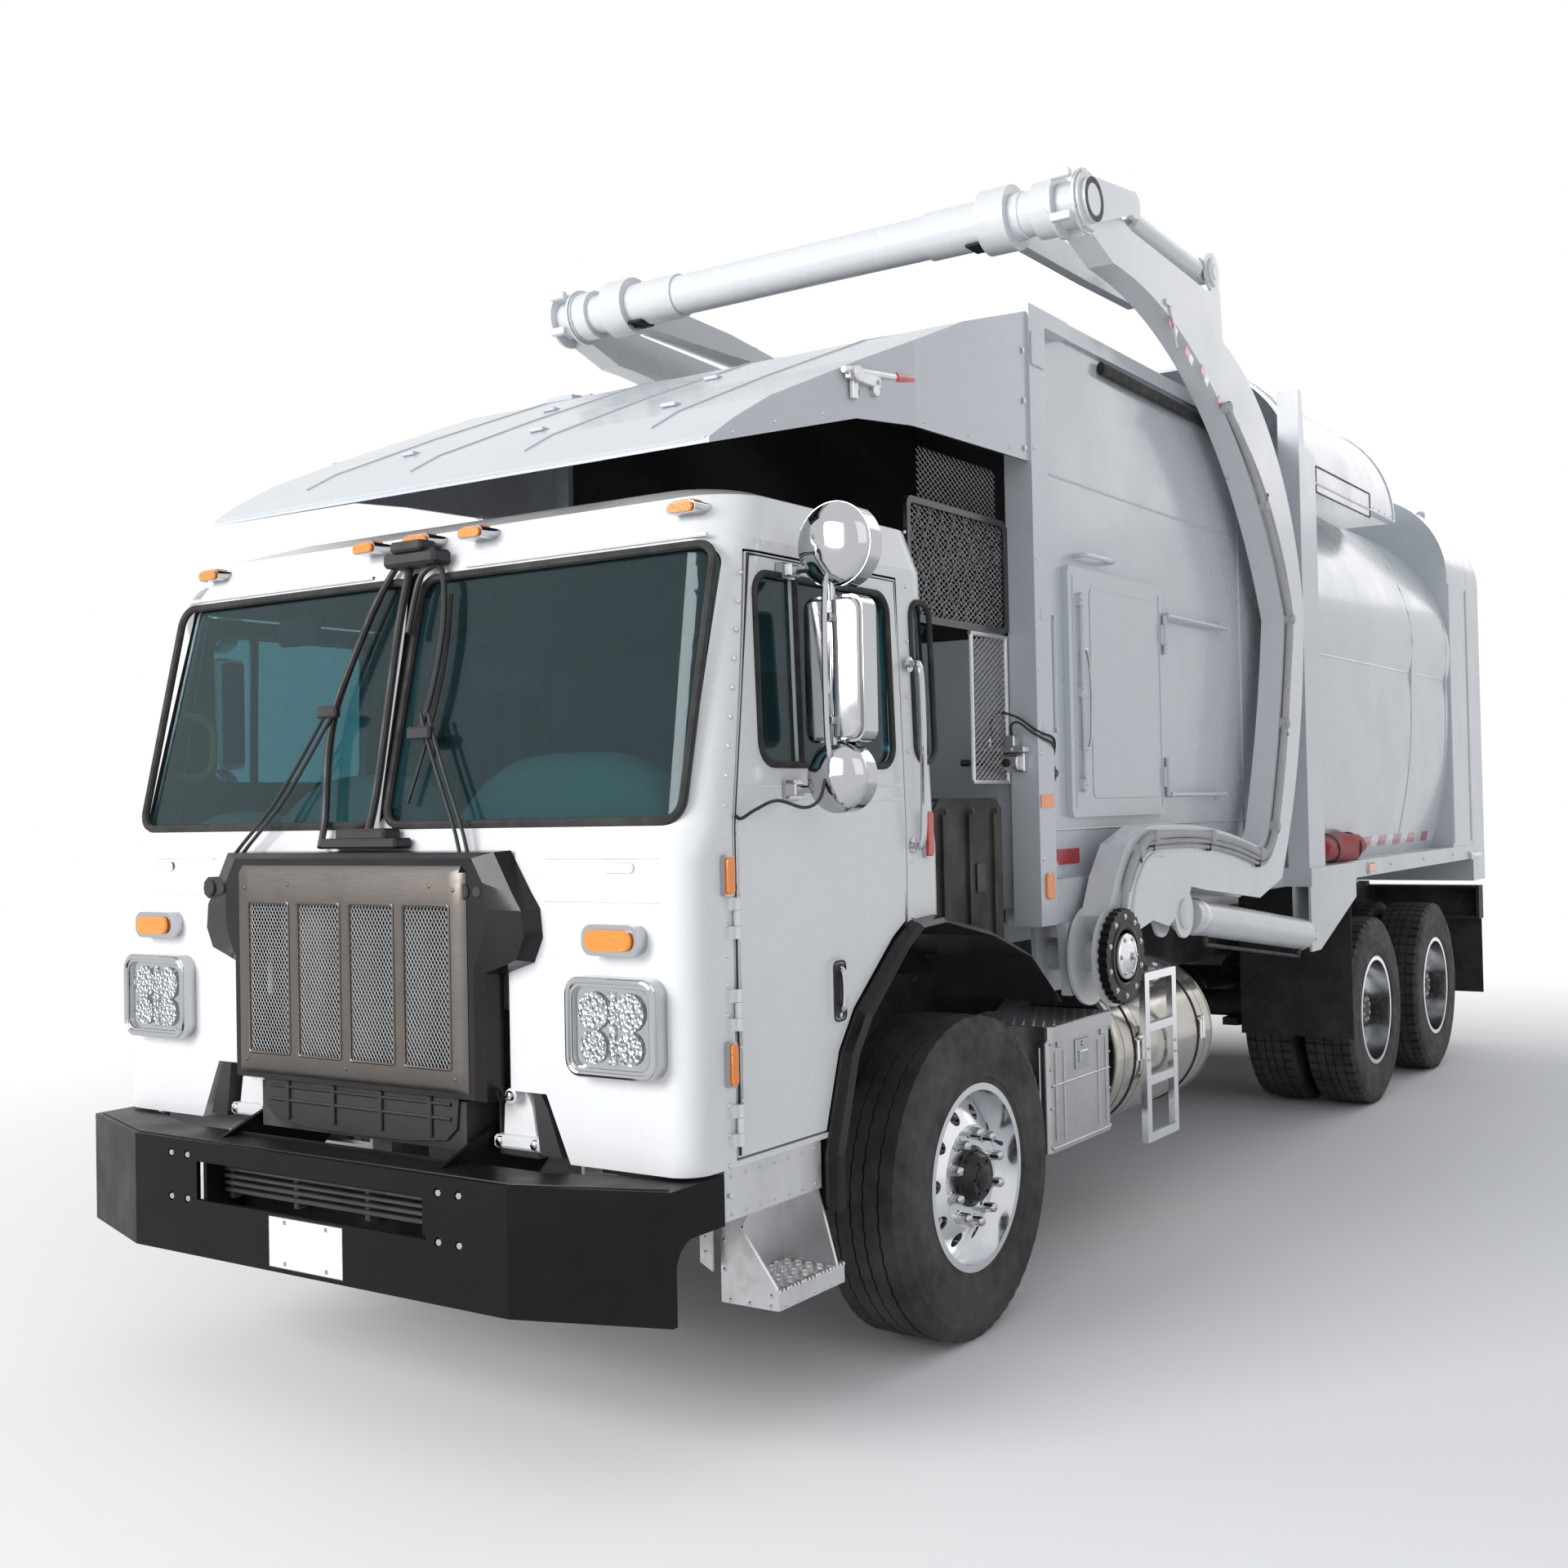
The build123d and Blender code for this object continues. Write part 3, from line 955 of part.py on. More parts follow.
def disc_yz(at, radius, x0, x1):
    """Round plate at a (y, z) place."""
    return bar_x(at[0], at[1], x0, x1, radius)


# middle line of a hose along the concave edge of an arm: start, then a point on the way and the end
# of each piece
HOSE_START = (2700, 1305)
HOSE_RUN = (
    ((2754, 1434), (2860, 1532)), ((2932, 1570), (3010, 1584)), ((3640, 1568), (4232, 1476)),
    ((4372, 1500), (4452, 1590)), ((4622, 2055), (4742, 2572)), ((4420, 3060), (3950, 3430)),
)
HOSE_LIFT = 4.0
CLAMP_R = 25.0
LONG_RUN = 500.0     # a hose piece longer than this is clamped at its middle too


def hose_set():
    """Hose clamped along one arm, and the notched drum it comes off at the pivot."""
    x = ARM_OUT + HOSE_LIFT + HOSE_R
    place = Plane.YZ.offset(x)
    start = HOSE_START
    hoses = Part()
    for way, end in HOSE_RUN:
        path = place * ThreePointArc(start, way, end)
        clamped = [end]
        if path.length > LONG_RUN:
            clamped.append(((path @ 0.5).Y, (path @ 0.5).Z))
        hoses += sweep(Plane(origin=path @ 0, z_dir=path % 0) * Circle(HOSE_R), path=path)
        for y, z in clamped:
            hoses += bar_x(y, z, ARM_OUT + SEAT, x + HOSE_R + 5, CLAMP_R)
        start = end
    drum_in, drum_out = DRUM_R
    y, z = ARM_PIVOT
    drum = disc_yz(ARM_PIVOT, drum_out, ARM_OUT + SEAT, ARM_OUT + DRUM_W)
    drum -= disc_yz(ARM_PIVOT, drum_in, ARM_OUT - 5, ARM_OUT + DRUM_W + 5)
    for index in range(DRUM_NOTCHES):
        turn = 2 * math.pi * index / DRUM_NOTCHES
        notch = (y + drum_out * math.cos(turn), z + drum_out * math.sin(turn))
        drum -= disc_yz(notch, 16, ARM_OUT + 14, ARM_OUT + DRUM_W + 5)
    return hoses + drum


def build_arms():
    """Both lift arms, their brackets, the fork frame and the cylinders."""
    face = arm_face()
    form = extrude(Plane.YZ.offset(ARM_IN) * face, amount=ARM_OUT - ARM_IN)
    inner_face = offset(face, amount=-ARM_WEB, kind=Kind.INTERSECTION)
    hollow = extrude(Plane.YZ.offset(ARM_IN + ARM_CHEEK) * inner_face,
                     amount=ARM_OUT - ARM_IN - 2 * ARM_CHEEK)
    open_low = block(ARM_IN + ARM_CHEEK, ARM_OUT - ARM_CHEEK, 2860, 4330, 1000, 1402)
    arm = form - hollow - open_low
    cheeks = ((ARM_IN, ARM_IN + ARM_CHEEK), (ARM_OUT - ARM_CHEEK, ARM_OUT))
    for x0, x1 in cheeks:
        arm += disc_yz(ARM_PIVOT, 186, x0, x1)
        arm += disc_yz(TUBE_AT, ARM_HEAD_R, x0, x1)
        arm += disc_yz(LIFT_EYE, 98, x0, x1)
        arm += disc_yz(FORK_CYL_FOOT, 84, x0, x1)
    arm += disc_yz(FORK_CYL_FOOT, EYE_PIN_R, ARM_IN + 2, ARM_OUT - 2)
    arm += disc_yz(LIFT_EYE, 46, ARM_OUT - 1, ARM_OUT + 12)
    arm -= disc_yz(ARM_PIVOT, PIVOT_PIN_R + PIN_FIT, ARM_IN - 5, ARM_OUT + 5)
    arm -= disc_yz(TUBE_AT, TUBE_R + PIN_FIT, ARM_IN - 5, ARM_OUT + 5)
    node("lift_arms", pair(arm))

    hub = (disc_yz(ARM_PIVOT, PIVOT_PIN_R, 1010, ARM_OUT + 14)
           + disc_yz(ARM_PIVOT, HUB_CAP_R, ARM_OUT + 6, ARM_OUT + 50))
    plate = yz(((2500, SILL_BOTTOM - SEAT), (2830, SILL_BOTTOM - SEAT), (2790, 1010), (2530, 1010)),
               1120, 1160)
    plate += yz(((2500, SILL_BOTTOM - SEAT), (2830, SILL_BOTTOM - SEAT), (2790, 1010), (2530, 1010)),
                1010, 1030)
    cylinder_line = ((5046, DECK_TOP - DECK_T - SEAT), (5826, DECK_TOP - DECK_T - SEAT), (5826, 1190),
                     (5190, 962),
                     (5046, 962))
    foot = yz(cylinder_line, 1180, 1192) + yz(cylinder_line, 1260, 1272)
    foot += disc_yz(LIFT_FOOT, EYE_PIN_R, 1182, 1282)
    foot += block(1180, 1272, 5700, 5826, 1200, 1276)
    node("arm_brackets", pair(hub + plate), pair(foot))

    node("arm_hoses", pair(hose_set()))

    tube = bar_x(TUBE_AT[0], TUBE_AT[1], -ARM_OUT - 30, ARM_OUT + 30, TUBE_R)
    tube -= bar_x(TUBE_AT[0], TUBE_AT[1], -ARM_IN, ARM_IN, TUBE_R - 14)
    fork_line = ((2470, 3872), (3300, 3884), (2566 + FORK_REACH, 3902), (2566 + FORK_REACH, 3932),
                 (3300, 3985),
                 (2640, 4010), (2470, 4000))
    fork = yz(fork_line, FORK_X - FORK_T / 2, FORK_X + FORK_T / 2)
    fork += disc_yz(TUBE_AT, 122, FORK_X - 60, FORK_X + 60)
    collar = disc_yz(TUBE_AT, 104, ARM_IN - 82, ARM_IN - 6)
    sleeve = disc_yz(TUBE_AT, 92, 620, FORK_X)
    gx, gz = FORK_CYL_EYE
    lever_x = (ARM_OUT + SWING, ARM_OUT + SWING + 22)
    lever = yz(((TUBE_AT[0] - 20, TUBE_AT[1] + 82), (gx, gz + 50), (gx + 40, gz - 20),
                (TUBE_AT[0] + 20, TUBE_AT[1] - 82)),
               *lever_x)
    lever += disc_yz(TUBE_AT, LEVER_R, *lever_x) + disc_yz(FORK_CYL_EYE, 52, *lever_x)
    fork_side = fork + collar + sleeve + lever
    node("fork_frame", tube + fork_side + right_of(fork_side))

    def cylinder(foot_at, eye_at, barrel_r, rod_r, eye_w, start, length, eye_r):
        """Barrel and rod of a cylinder lying between two pins in a (y, z) plane."""
        dy = eye_at[0] - foot_at[0]
        dz = eye_at[1] - foot_at[1]
        reach = math.hypot(dy, dz)
        turn = math.degrees(math.atan2(dz, dy))
        place = Pos(CYL_X, foot_at[0], foot_at[1]) * Rot(turn, 0, 0)
        barrel = bar_y(0, 0, start, start + length, barrel_r)
        barrel -= bar_y(0, 0, start + 20, start + length + 5, rod_r + PIN_FIT)
        barrel += block(-eye_w / 2, eye_w / 2, 0, start + 6, -eye_r, eye_r) + bar_x(0, 0, -eye_w / 2,
                                                                                    eye_w / 2, eye_r)
        barrel -= bar_x(0, 0, -eye_w, eye_w, EYE_PIN_R + PIN_FIT)
        rod = bar_y(0, 0, start + 30, reach - eye_r + 8, rod_r)
        rod += Pos(0, reach, 0) * (bar_x(0, 0, -eye_w / 2, eye_w / 2, eye_r) - bar_x(0, 0, -eye_w, eye_w,
                                                                                     EYE_PIN_R))
        return place * barrel, place * rod

    lift_barrel, lift_rod = cylinder(LIFT_FOOT, LIFT_EYE, BARREL_R, ROD_R, 60, 86, 1530, EYE_R)
    node("lift_barrels", pair(lift_barrel))
    node("lift_rods", pair(lift_rod))
    fork_barrel, fork_rod = cylinder(FORK_CYL_FOOT, FORK_CYL_EYE, FORK_BARREL_R, FORK_ROD_R, 60, 96, 700,
                                     44)
    node("fork_barrels", pair(fork_barrel))
    node("fork_rods", pair(fork_rod))


# ---------------------------------------------------------------- tailgate
def build_tailgate():
    """Hollow tailgate hung from its top edge, with ribs across its back."""
    gap = 6.0
    form = along_y(ring_face(1220, 650, 3150, 3716, RAIL_TOP + 16), GATE_Y + gap, GATE_BACK)
    cavity = along_y(ring_face(1180, 640, 3130, 3676, DECK_TOP + 40), GATE_Y, GATE_BACK - 60)
    gate = form - cavity
    for z in (1500, 2050, 2600, 3150):
        gate += block(-1120, 1120, GATE_BACK - 2, BODY_BACK_REACH - 30, z - 45, z + 45)
    for x in (-1090, 1010):
        gate += block(x, x + 80, GATE_BACK - 2, BODY_BACK_REACH, 1180, 3200)
    for x in (-640 + 24 + 5, 560 + 24 + 5):
        lug = yz(((GATE_Y + gap + 4, 3700), (GATE_Y - 30, 3782), (GATE_Y, 3812), (GATE_Y + 40, 3796),
                  (GATE_Y + 150, 3700)), x, x + 22)
        gate += lug
        gate -= bar_x(GATE_Y, 3782, x - 2, x + 24, 16 + PIN_FIT)
    node("tailgate", gate)


build_cab()
build_grille()
build_lamps()
build_cab_fittings()
build_chassis()
build_wheels()
build_side_equipment()
build_body()
build_arms()
build_tailgate()
OUT = "parts"
os.makedirs(OUT, exist_ok=True)
for name, solids in nodes.items():
    placed = [Pos(0, -OVERALL_LENGTH / 2, 0) * solid for solid in solids]
    export_step(Compound(children=placed), f"{OUT}/{name}.step")
    print(name, len(solids))
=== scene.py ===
"""Looks of the front-loading garbage truck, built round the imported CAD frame."""

import math
import random

import bmesh
import bpy
from mathutils import Matrix, Vector
from mathutils.bvhtree import BVHTree


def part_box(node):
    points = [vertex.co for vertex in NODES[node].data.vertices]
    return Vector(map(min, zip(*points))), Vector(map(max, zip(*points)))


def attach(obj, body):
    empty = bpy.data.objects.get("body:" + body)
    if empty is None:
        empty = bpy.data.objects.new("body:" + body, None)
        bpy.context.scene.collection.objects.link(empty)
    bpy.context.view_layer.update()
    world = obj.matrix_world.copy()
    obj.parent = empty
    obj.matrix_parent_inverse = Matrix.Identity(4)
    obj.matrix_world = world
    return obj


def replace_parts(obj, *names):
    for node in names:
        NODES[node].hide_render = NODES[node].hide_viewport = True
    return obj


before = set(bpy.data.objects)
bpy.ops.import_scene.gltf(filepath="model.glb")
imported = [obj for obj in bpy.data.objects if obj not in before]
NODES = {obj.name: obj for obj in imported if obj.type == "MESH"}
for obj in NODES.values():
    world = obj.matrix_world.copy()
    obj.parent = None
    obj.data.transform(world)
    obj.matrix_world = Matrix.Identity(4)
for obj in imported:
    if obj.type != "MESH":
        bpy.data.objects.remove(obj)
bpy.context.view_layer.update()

# ---------------------------------------------------------------- places taken from the frame
TYRE_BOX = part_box("front_tyre_left")
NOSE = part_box("bumper")[0][1]      # y of the bumper's front face: stations are metres behind it
AXLE_Z = (TYRE_BOX[0][2] + TYRE_BOX[1][2]) / 2
TYRE_R = (TYRE_BOX[1][2] - TYRE_BOX[0][2]) / 2

# stations, heights and distances from the middle that several pieces share, in metres
SIDES = (1, -1)                    # left, right
NAMED_SIDES = (("left", 1), ("right", -1))
LEFT, AHEAD, BEHIND, UP, DOWN = (1, 0, 0), (0, -1, 0), (0, 1, 0), (0, 0, 1), (0, 0, -1)
FRONT_AXLE_Y = 1.68
FRONT_WHEEL_X = 1.077
NUT_CIRCLE = 0.1429
LAMP_X, LAMP_Z = 0.955, 1.165
DOOR_X = 1.1905                    # outer skin of the doors, which leans in above the belt line
BELT_Z = 1.68
CAB_SKIN_X = 1.1885
HOPPER_X = 1.100                   # outer side of the hopper wall
POST_X = 1.1605                    # outer side of the hopper's front post
DECK_X = 1.2255                    # outer side of the deck over the wheels
TANK_X, TANK_Z = 0.868, 0.722      # axis of the fuel tanks
BOX_X = 1.1505                     # outer side of the tool boxes
PIVOT_Y, PIVOT_Z = 2.66, 1.15      # pivot of the lift arms
TUBE_Y, TUBE_Z = 2.566, 3.940      # cross tube at the head of the lift arms
ARM_FACE_X = 1.2805
CYLINDER_X = 1.226                 # lift cylinders


def at(x, y, z):
    """Point given as x, station behind the bumper's face, height."""
    return Vector((x, y + NOSE, z))


# ---------------------------------------------------------------- material nodes
class Graph:
    """Small helper to write a node material from top to bottom."""

    def __init__(self, name, base, rough, metal=0.0):
        self.material = bpy.data.materials.new(name)
        self.material.use_nodes = True
        self.tree = self.material.node_tree
        self.shader = self.tree.nodes["Principled BSDF"]
        self.set("Base Color", (*base, 1))
        self.set("Roughness", rough)
        self.set("Metallic", metal)
        self.coords = self.new("ShaderNodeTexCoord").outputs["Object"]

    def new(self, kind):
        return self.tree.nodes.new(kind)

    def link(self, source, target):
        self.tree.links.new(source, target)

    def set(self, socket, value):
        self.shader.inputs[socket].default_value = value

    def stretched(self, scale):
        """Object coordinates scaled by axis."""
        mapping = self.new("ShaderNodeMapping")
        mapping.inputs["Scale"].default_value = scale
        self.link(self.coords, mapping.inputs["Vector"])
        return mapping.outputs["Vector"]

    def noise(self, scale, detail=3.0, stretch=(1, 1, 1), roughness=0.55):
        node = self.new("ShaderNodeTexNoise")
        node.inputs["Scale"].default_value = scale
        node.inputs["Detail"].default_value = detail
        node.inputs["Roughness"].default_value = roughness
        self.link(self.stretched(stretch), node.inputs["Vector"])
        return node.outputs["Fac"]

    def cells(self, scale, stretch=(1, 1, 1)):
        node = self.new("ShaderNodeTexVoronoi")
        node.inputs["Scale"].default_value = scale
        self.link(self.stretched(stretch), node.inputs["Vector"])
        return node.outputs["Distance"]

    def span(self, value, low, high, to_low=0.0, to_high=1.0):
        node = self.new("ShaderNodeMapRange")
        node.inputs["From Min"].default_value = low
        node.inputs["From Max"].default_value = high
        node.inputs["To Min"].default_value = to_low
        node.inputs["To Max"].default_value = to_high
        self.link(value, node.inputs["Value"])
        return node.outputs["Result"]

    def math(self, operation, a, b):
        node = self.new("ShaderNodeMath")
        node.operation = operation
        for socket, value in zip(node.inputs, (a, b)):
            if isinstance(value, (int, float)):
                socket.default_value = value
            else:
                self.link(value, socket)
        return node.outputs["Value"]

    def part_of(self, source, axis):
        node = self.new("ShaderNodeSeparateXYZ")
        self.link(source, node.inputs["Vector"])
        return node.outputs[axis]

    def height(self):
        return self.part_of(self.coords, "Z")

    def facing(self, axis):
        return self.part_of(self.new("ShaderNodeTexCoord").outputs["Normal"], axis)

    def mix(self, factor, a, b):
        node = self.new("ShaderNodeMix")
        node.data_type = "RGBA"
        self.link(factor, node.inputs[0])
        for socket, value in ((node.inputs[6], a), (node.inputs[7], b)):
            if isinstance(value, tuple):
                socket.default_value = (*value, 1)
            else:
                self.link(value, socket)
        return node.outputs[2]

    def colour(self, source):
        self.link(source, self.shader.inputs["Base Color"])

    def rough(self, source):
        self.link(source, self.shader.inputs["Roughness"])

    def bump(self, source, strength, distance):
        node = self.new("ShaderNodeBump")
        node.inputs["Strength"].default_value = strength
        node.inputs["Distance"].default_value = distance
        self.link(source, node.inputs["Height"])
        self.link(node.outputs["Normal"], self.shader.inputs["Normal"])


CAB_MIDDLE = (0.0, NOSE + 0.95, 1.95)
CAB_BACK = NOSE + 1.45             # the back panes lie behind it
LINING_SHADE_HALF = 1.17                 # the cab's outer sides lie beyond it
LINING_SHADE_FOOT = 1.16


def lining_and_painted_shade(g, paint):
    """Dark colour on the cab's inner faces, which look towards its middle: partly the trim's own colour,
    partly painted shade inside the closed cab.
    """
    middle = g.new("ShaderNodeVectorMath")
    middle.operation = "SUBTRACT"
    g.link(g.coords, middle.inputs[0])
    middle.inputs[1].default_value = CAB_MIDDLE
    outward = g.new("ShaderNodeVectorMath")
    outward.operation = "DOT_PRODUCT"
    g.link(middle.outputs[0], outward.inputs[0])
    g.link(g.new("ShaderNodeTexCoord").outputs["Normal"], outward.inputs[1])
    aside = g.math("ABSOLUTE", g.part_of(g.coords, "X"), 0.0)
    inner = g.math("MULTIPLY", g.math("LESS_THAN", aside, LINING_SHADE_HALF),
                   g.math("LESS_THAN", outward.outputs["Value"], 0.0))
    mask = g.math("MULTIPLY", inner, g.math("GREATER_THAN", g.height(), LINING_SHADE_FOOT))
    # near-black inner faces: trim colour darkened as painted shade
    return g.mix(mask, paint, (0.035, 0.045, 0.05))


def between(g, value, low, high):
    """1 where a value lies between two limits."""
    return g.math("MULTIPLY", g.math("GREATER_THAN", value, low), g.math("LESS_THAN", value, high))


PLATE_X = (-0.157, 0.154)
PLATE_Z = (0.4565, 0.603)
PLATE_EDGE = 0.003
SCREW_HALF = 0.006


def plate_patch(g, paint):
    """Blank white number plate with a dark edge and four screws, flush on the bumper's face."""
    x, z = g.part_of(g.coords, "X"), g.height()
    ahead = g.math("LESS_THAN", g.facing("Y"), -0.9)

    def fill(under, x_span, z_span, grow, tint):
        area = g.math("MULTIPLY", between(g, x, x_span[0] - grow, x_span[1] + grow),
                      between(g, z, z_span[0] - grow, z_span[1] + grow))
        return g.mix(g.math("MULTIPLY", area, ahead), under, tint)

    paint = fill(paint, PLATE_X, PLATE_Z, 0.0, (0.05, 0.05, 0.05))
    paint = fill(paint, PLATE_X, PLATE_Z, -PLATE_EDGE, (0.72, 0.73, 0.74))
    for middle in (-0.088, 0.085):
        for level in (0.472, 0.588):
            paint = fill(paint, (middle, middle), (level, level), SCREW_HALF, (0.25, 0.25, 0.26))
    return paint


CANOPY_SHADE_Z = 2.33
STEP_FRAME_X = 1.1838


def shaded(g, paint):
    """Painted shade: black on the upper part of the wall behind the cab, where the canopy shades it."""
    # painted shade above the canopy shade line
    return g.mix(g.math("GREATER_THAN", g.height(), CANOPY_SHADE_Z), paint, (0.015, 0.015, 0.017))


def bright_frame(g, paint):
    """Brighter metal on the step frame, which stands outside the tank."""
    aside = g.math("ABSOLUTE", g.part_of(g.coords, "X"), 0.0)
    return g.mix(g.math("GREATER_THAN", aside, STEP_FRAME_X), paint, (0.86, 0.87, 0.89))


def underside(g, paint):
    """Black on the faces that look down."""
    return g.mix(g.math("LESS_THAN", g.facing("Z"), -0.2), paint, (0.02, 0.02, 0.022))


def white_paint(name, base, grime, rust=0.0, extra=None):
    """Sprayed enamel with faint tone changes, road film low down, run-off streaks and rust freckles."""
    g = Graph(name, base, 0.3)
    tone = g.span(g.noise(1.1, 4.0), 0.3, 0.7)
    paint = g.mix(tone, tuple(c * 0.965 for c in base), base)
    low = g.span(g.height(), 1.7, 0.35, 0.0, 1.0)
    film = g.math("MULTIPLY", g.span(g.noise(5.0, 6.0), 0.35, 0.72), low)
    film = g.math("MULTIPLY", film, grime)
    paint = g.mix(film, paint, (0.42, 0.38, 0.32))
    streak = g.span(g.noise(1.0, 5.0, (14.0, 14.0, 0.7)), 0.6, 0.78, 0.0, 0.22 * grime)
    paint = g.mix(streak, paint, (0.5, 0.46, 0.4))
    if rust:
        freckles = g.span(g.noise(9.0, 8.0, roughness=0.7), 0.66, 0.74, 0.0, rust)
        paint = g.mix(freckles, paint, (0.23, 0.10, 0.045))
    g.colour(extra(g, paint) if extra else paint)
    g.rough(g.span(g.noise(3.0, 4.0), 0.3, 0.7, 0.2, 0.36))
    g.bump(g.noise(120.0, 2.0), 0.05, 0.0006)
    g.set("Coat Weight", 0.35)
    g.set("Coat Roughness", 0.12)
    return g.material


def black_paint(name, base, rough_low, rough_high, dust, extra=None):
    """Black paint or moulded plastic with dust and light scuffs."""
    g = Graph(name, base, rough_high)
    dusty = g.math("MULTIPLY", g.span(g.noise(4.0, 7.0), 0.4, 0.75), dust)
    body = g.mix(dusty, base, (0.16, 0.14, 0.12))
    scratch = g.span(g.noise(3.0, 9.0, (1.0, 1.0, 26.0), 0.8), 0.66, 0.72, 0.0, 0.25)
    body = g.mix(scratch, body, (0.2, 0.2, 0.2))
    g.colour(extra(g, body) if extra else body)
    g.rough(g.span(g.noise(6.0, 4.0), 0.3, 0.7, rough_low, rough_high))
    g.bump(g.noise(160.0, 3.0), 0.12, 0.0006)
    g.set("Specular IOR Level", 0.14 if extra else 0.30)
    return g.material


def metal(name, base, rough_low, rough_high, stretch=(1, 1, 1), scale=40.0, stain=0.1, extra=None):
    """Bare metal: polish marks, stains and uneven gloss."""
    g = Graph(name, base, rough_low, 1.0)
    blotch = g.span(g.noise(7.0, 5.0), 0.45, 0.75, 0.0, stain)
    skin = g.mix(blotch, base, tuple(c * 0.45 for c in base))
    g.colour(extra(g, skin) if extra else skin)
    g.rough(g.span(g.noise(scale, 4.0, stretch), 0.3, 0.7, rough_low, rough_high))
    g.bump(g.noise(scale * 2.5, 3.0, stretch), 0.08, 0.0004)
    return g.material


def rubber(name, base, dust, grain):
    """Dusty rubber with a fine grain."""
    g = Graph(name, base, 0.8)
    film = g.math("MULTIPLY", g.span(g.noise(6.0, 6.0), 0.35, 0.7), dust)
    g.colour(g.mix(film, base, (0.17, 0.16, 0.145)))
    g.rough(g.span(g.noise(20.0, 3.0), 0.3, 0.7, 0.62, 0.9))
    g.bump(g.noise(grain, 3.0), 0.25, 0.0008)
    return g.material


def glass(name, tint, rear=None):
    """Tinted safety glass, with a faint film of dust; the cab's back panes can take a near-black painted
    shade, for the shaded wall seen through them.
    """
    g = Graph(name, tint, 0.02)
    film = g.span(g.noise(9.0, 6.0), 0.5, 0.8, 0.0, 0.05)
    shade = g.mix(film, tint, tuple(min(1.0, c + 0.15) for c in tint))
    if rear:
        # painted shade on the panes behind the cab's back
        shade = g.mix(g.math("GREATER_THAN", g.part_of(g.coords, "Y"), CAB_BACK), shade, rear)
    g.colour(shade)
    g.rough(g.span(g.noise(14.0, 4.0), 0.4, 0.8, 0.0, 0.02))
    g.set("Transmission Weight", 0.96)
    g.set("IOR", 1.33)
    return g.material


def lens(name, base, glow, cell):
    """Moulded lamp lens with prisms; the prism cells are painted lighter towards their edges, as painted
    glints.
    """
    g = Graph(name, base, 0.12)
    prism = g.cells(cell)
    # painted glints: glow lightens the colour towards each prism cell's edge
    g.colour(g.mix(g.span(prism, 0.0, 0.6), base, tuple(min(1.0, c * glow) for c in base)))
    g.bump(prism, 0.5, 0.002)
    g.set("Coat Weight", 0.8)
    g.set("Coat Roughness", 0.03)
    return g.material


def reflector(name, base, cell):
    """Silvered lamp bowl seen through ribbed glass; the facets' darker middles are painted reflection."""
    g = Graph(name, base, 0.12, 1.0)
    facets = g.cells(cell)
    # painted reflection: facet middles darkened to about a third of the silver
    g.colour(g.mix(g.span(facets, 0.1, 0.5), tuple(c * 0.35 for c in base), base))
    g.bump(facets, 1.0, 0.006)
    return g.material


def cloth(name, base):
    """Woven seat cloth."""
    g = Graph(name, base, 0.9)
    weave = g.math("MULTIPLY", g.noise(900.0, 1.0, (1, 0.25, 1)), g.noise(900.0, 1.0, (0.25, 1, 1)))
    g.colour(g.mix(g.span(weave, 0.1, 0.4), tuple(c * 0.6 for c in base), base))
    g.bump(weave, 0.6, 0.001)
    g.set("Sheen Weight", 0.3)
    return g.material


def plastic(name, base, grain=220.0):
    """Grained moulded plastic."""
    g = Graph(name, base, 0.55)
    tone = g.span(g.noise(3.0, 4.0), 0.3, 0.7)
    g.colour(g.mix(tone, tuple(c * 0.86 for c in base), base))
    g.rough(g.span(g.noise(12.0, 3.0), 0.3, 0.7, 0.42, 0.66))
    g.bump(g.cells(grain), 0.3, 0.0006)
    return g.material


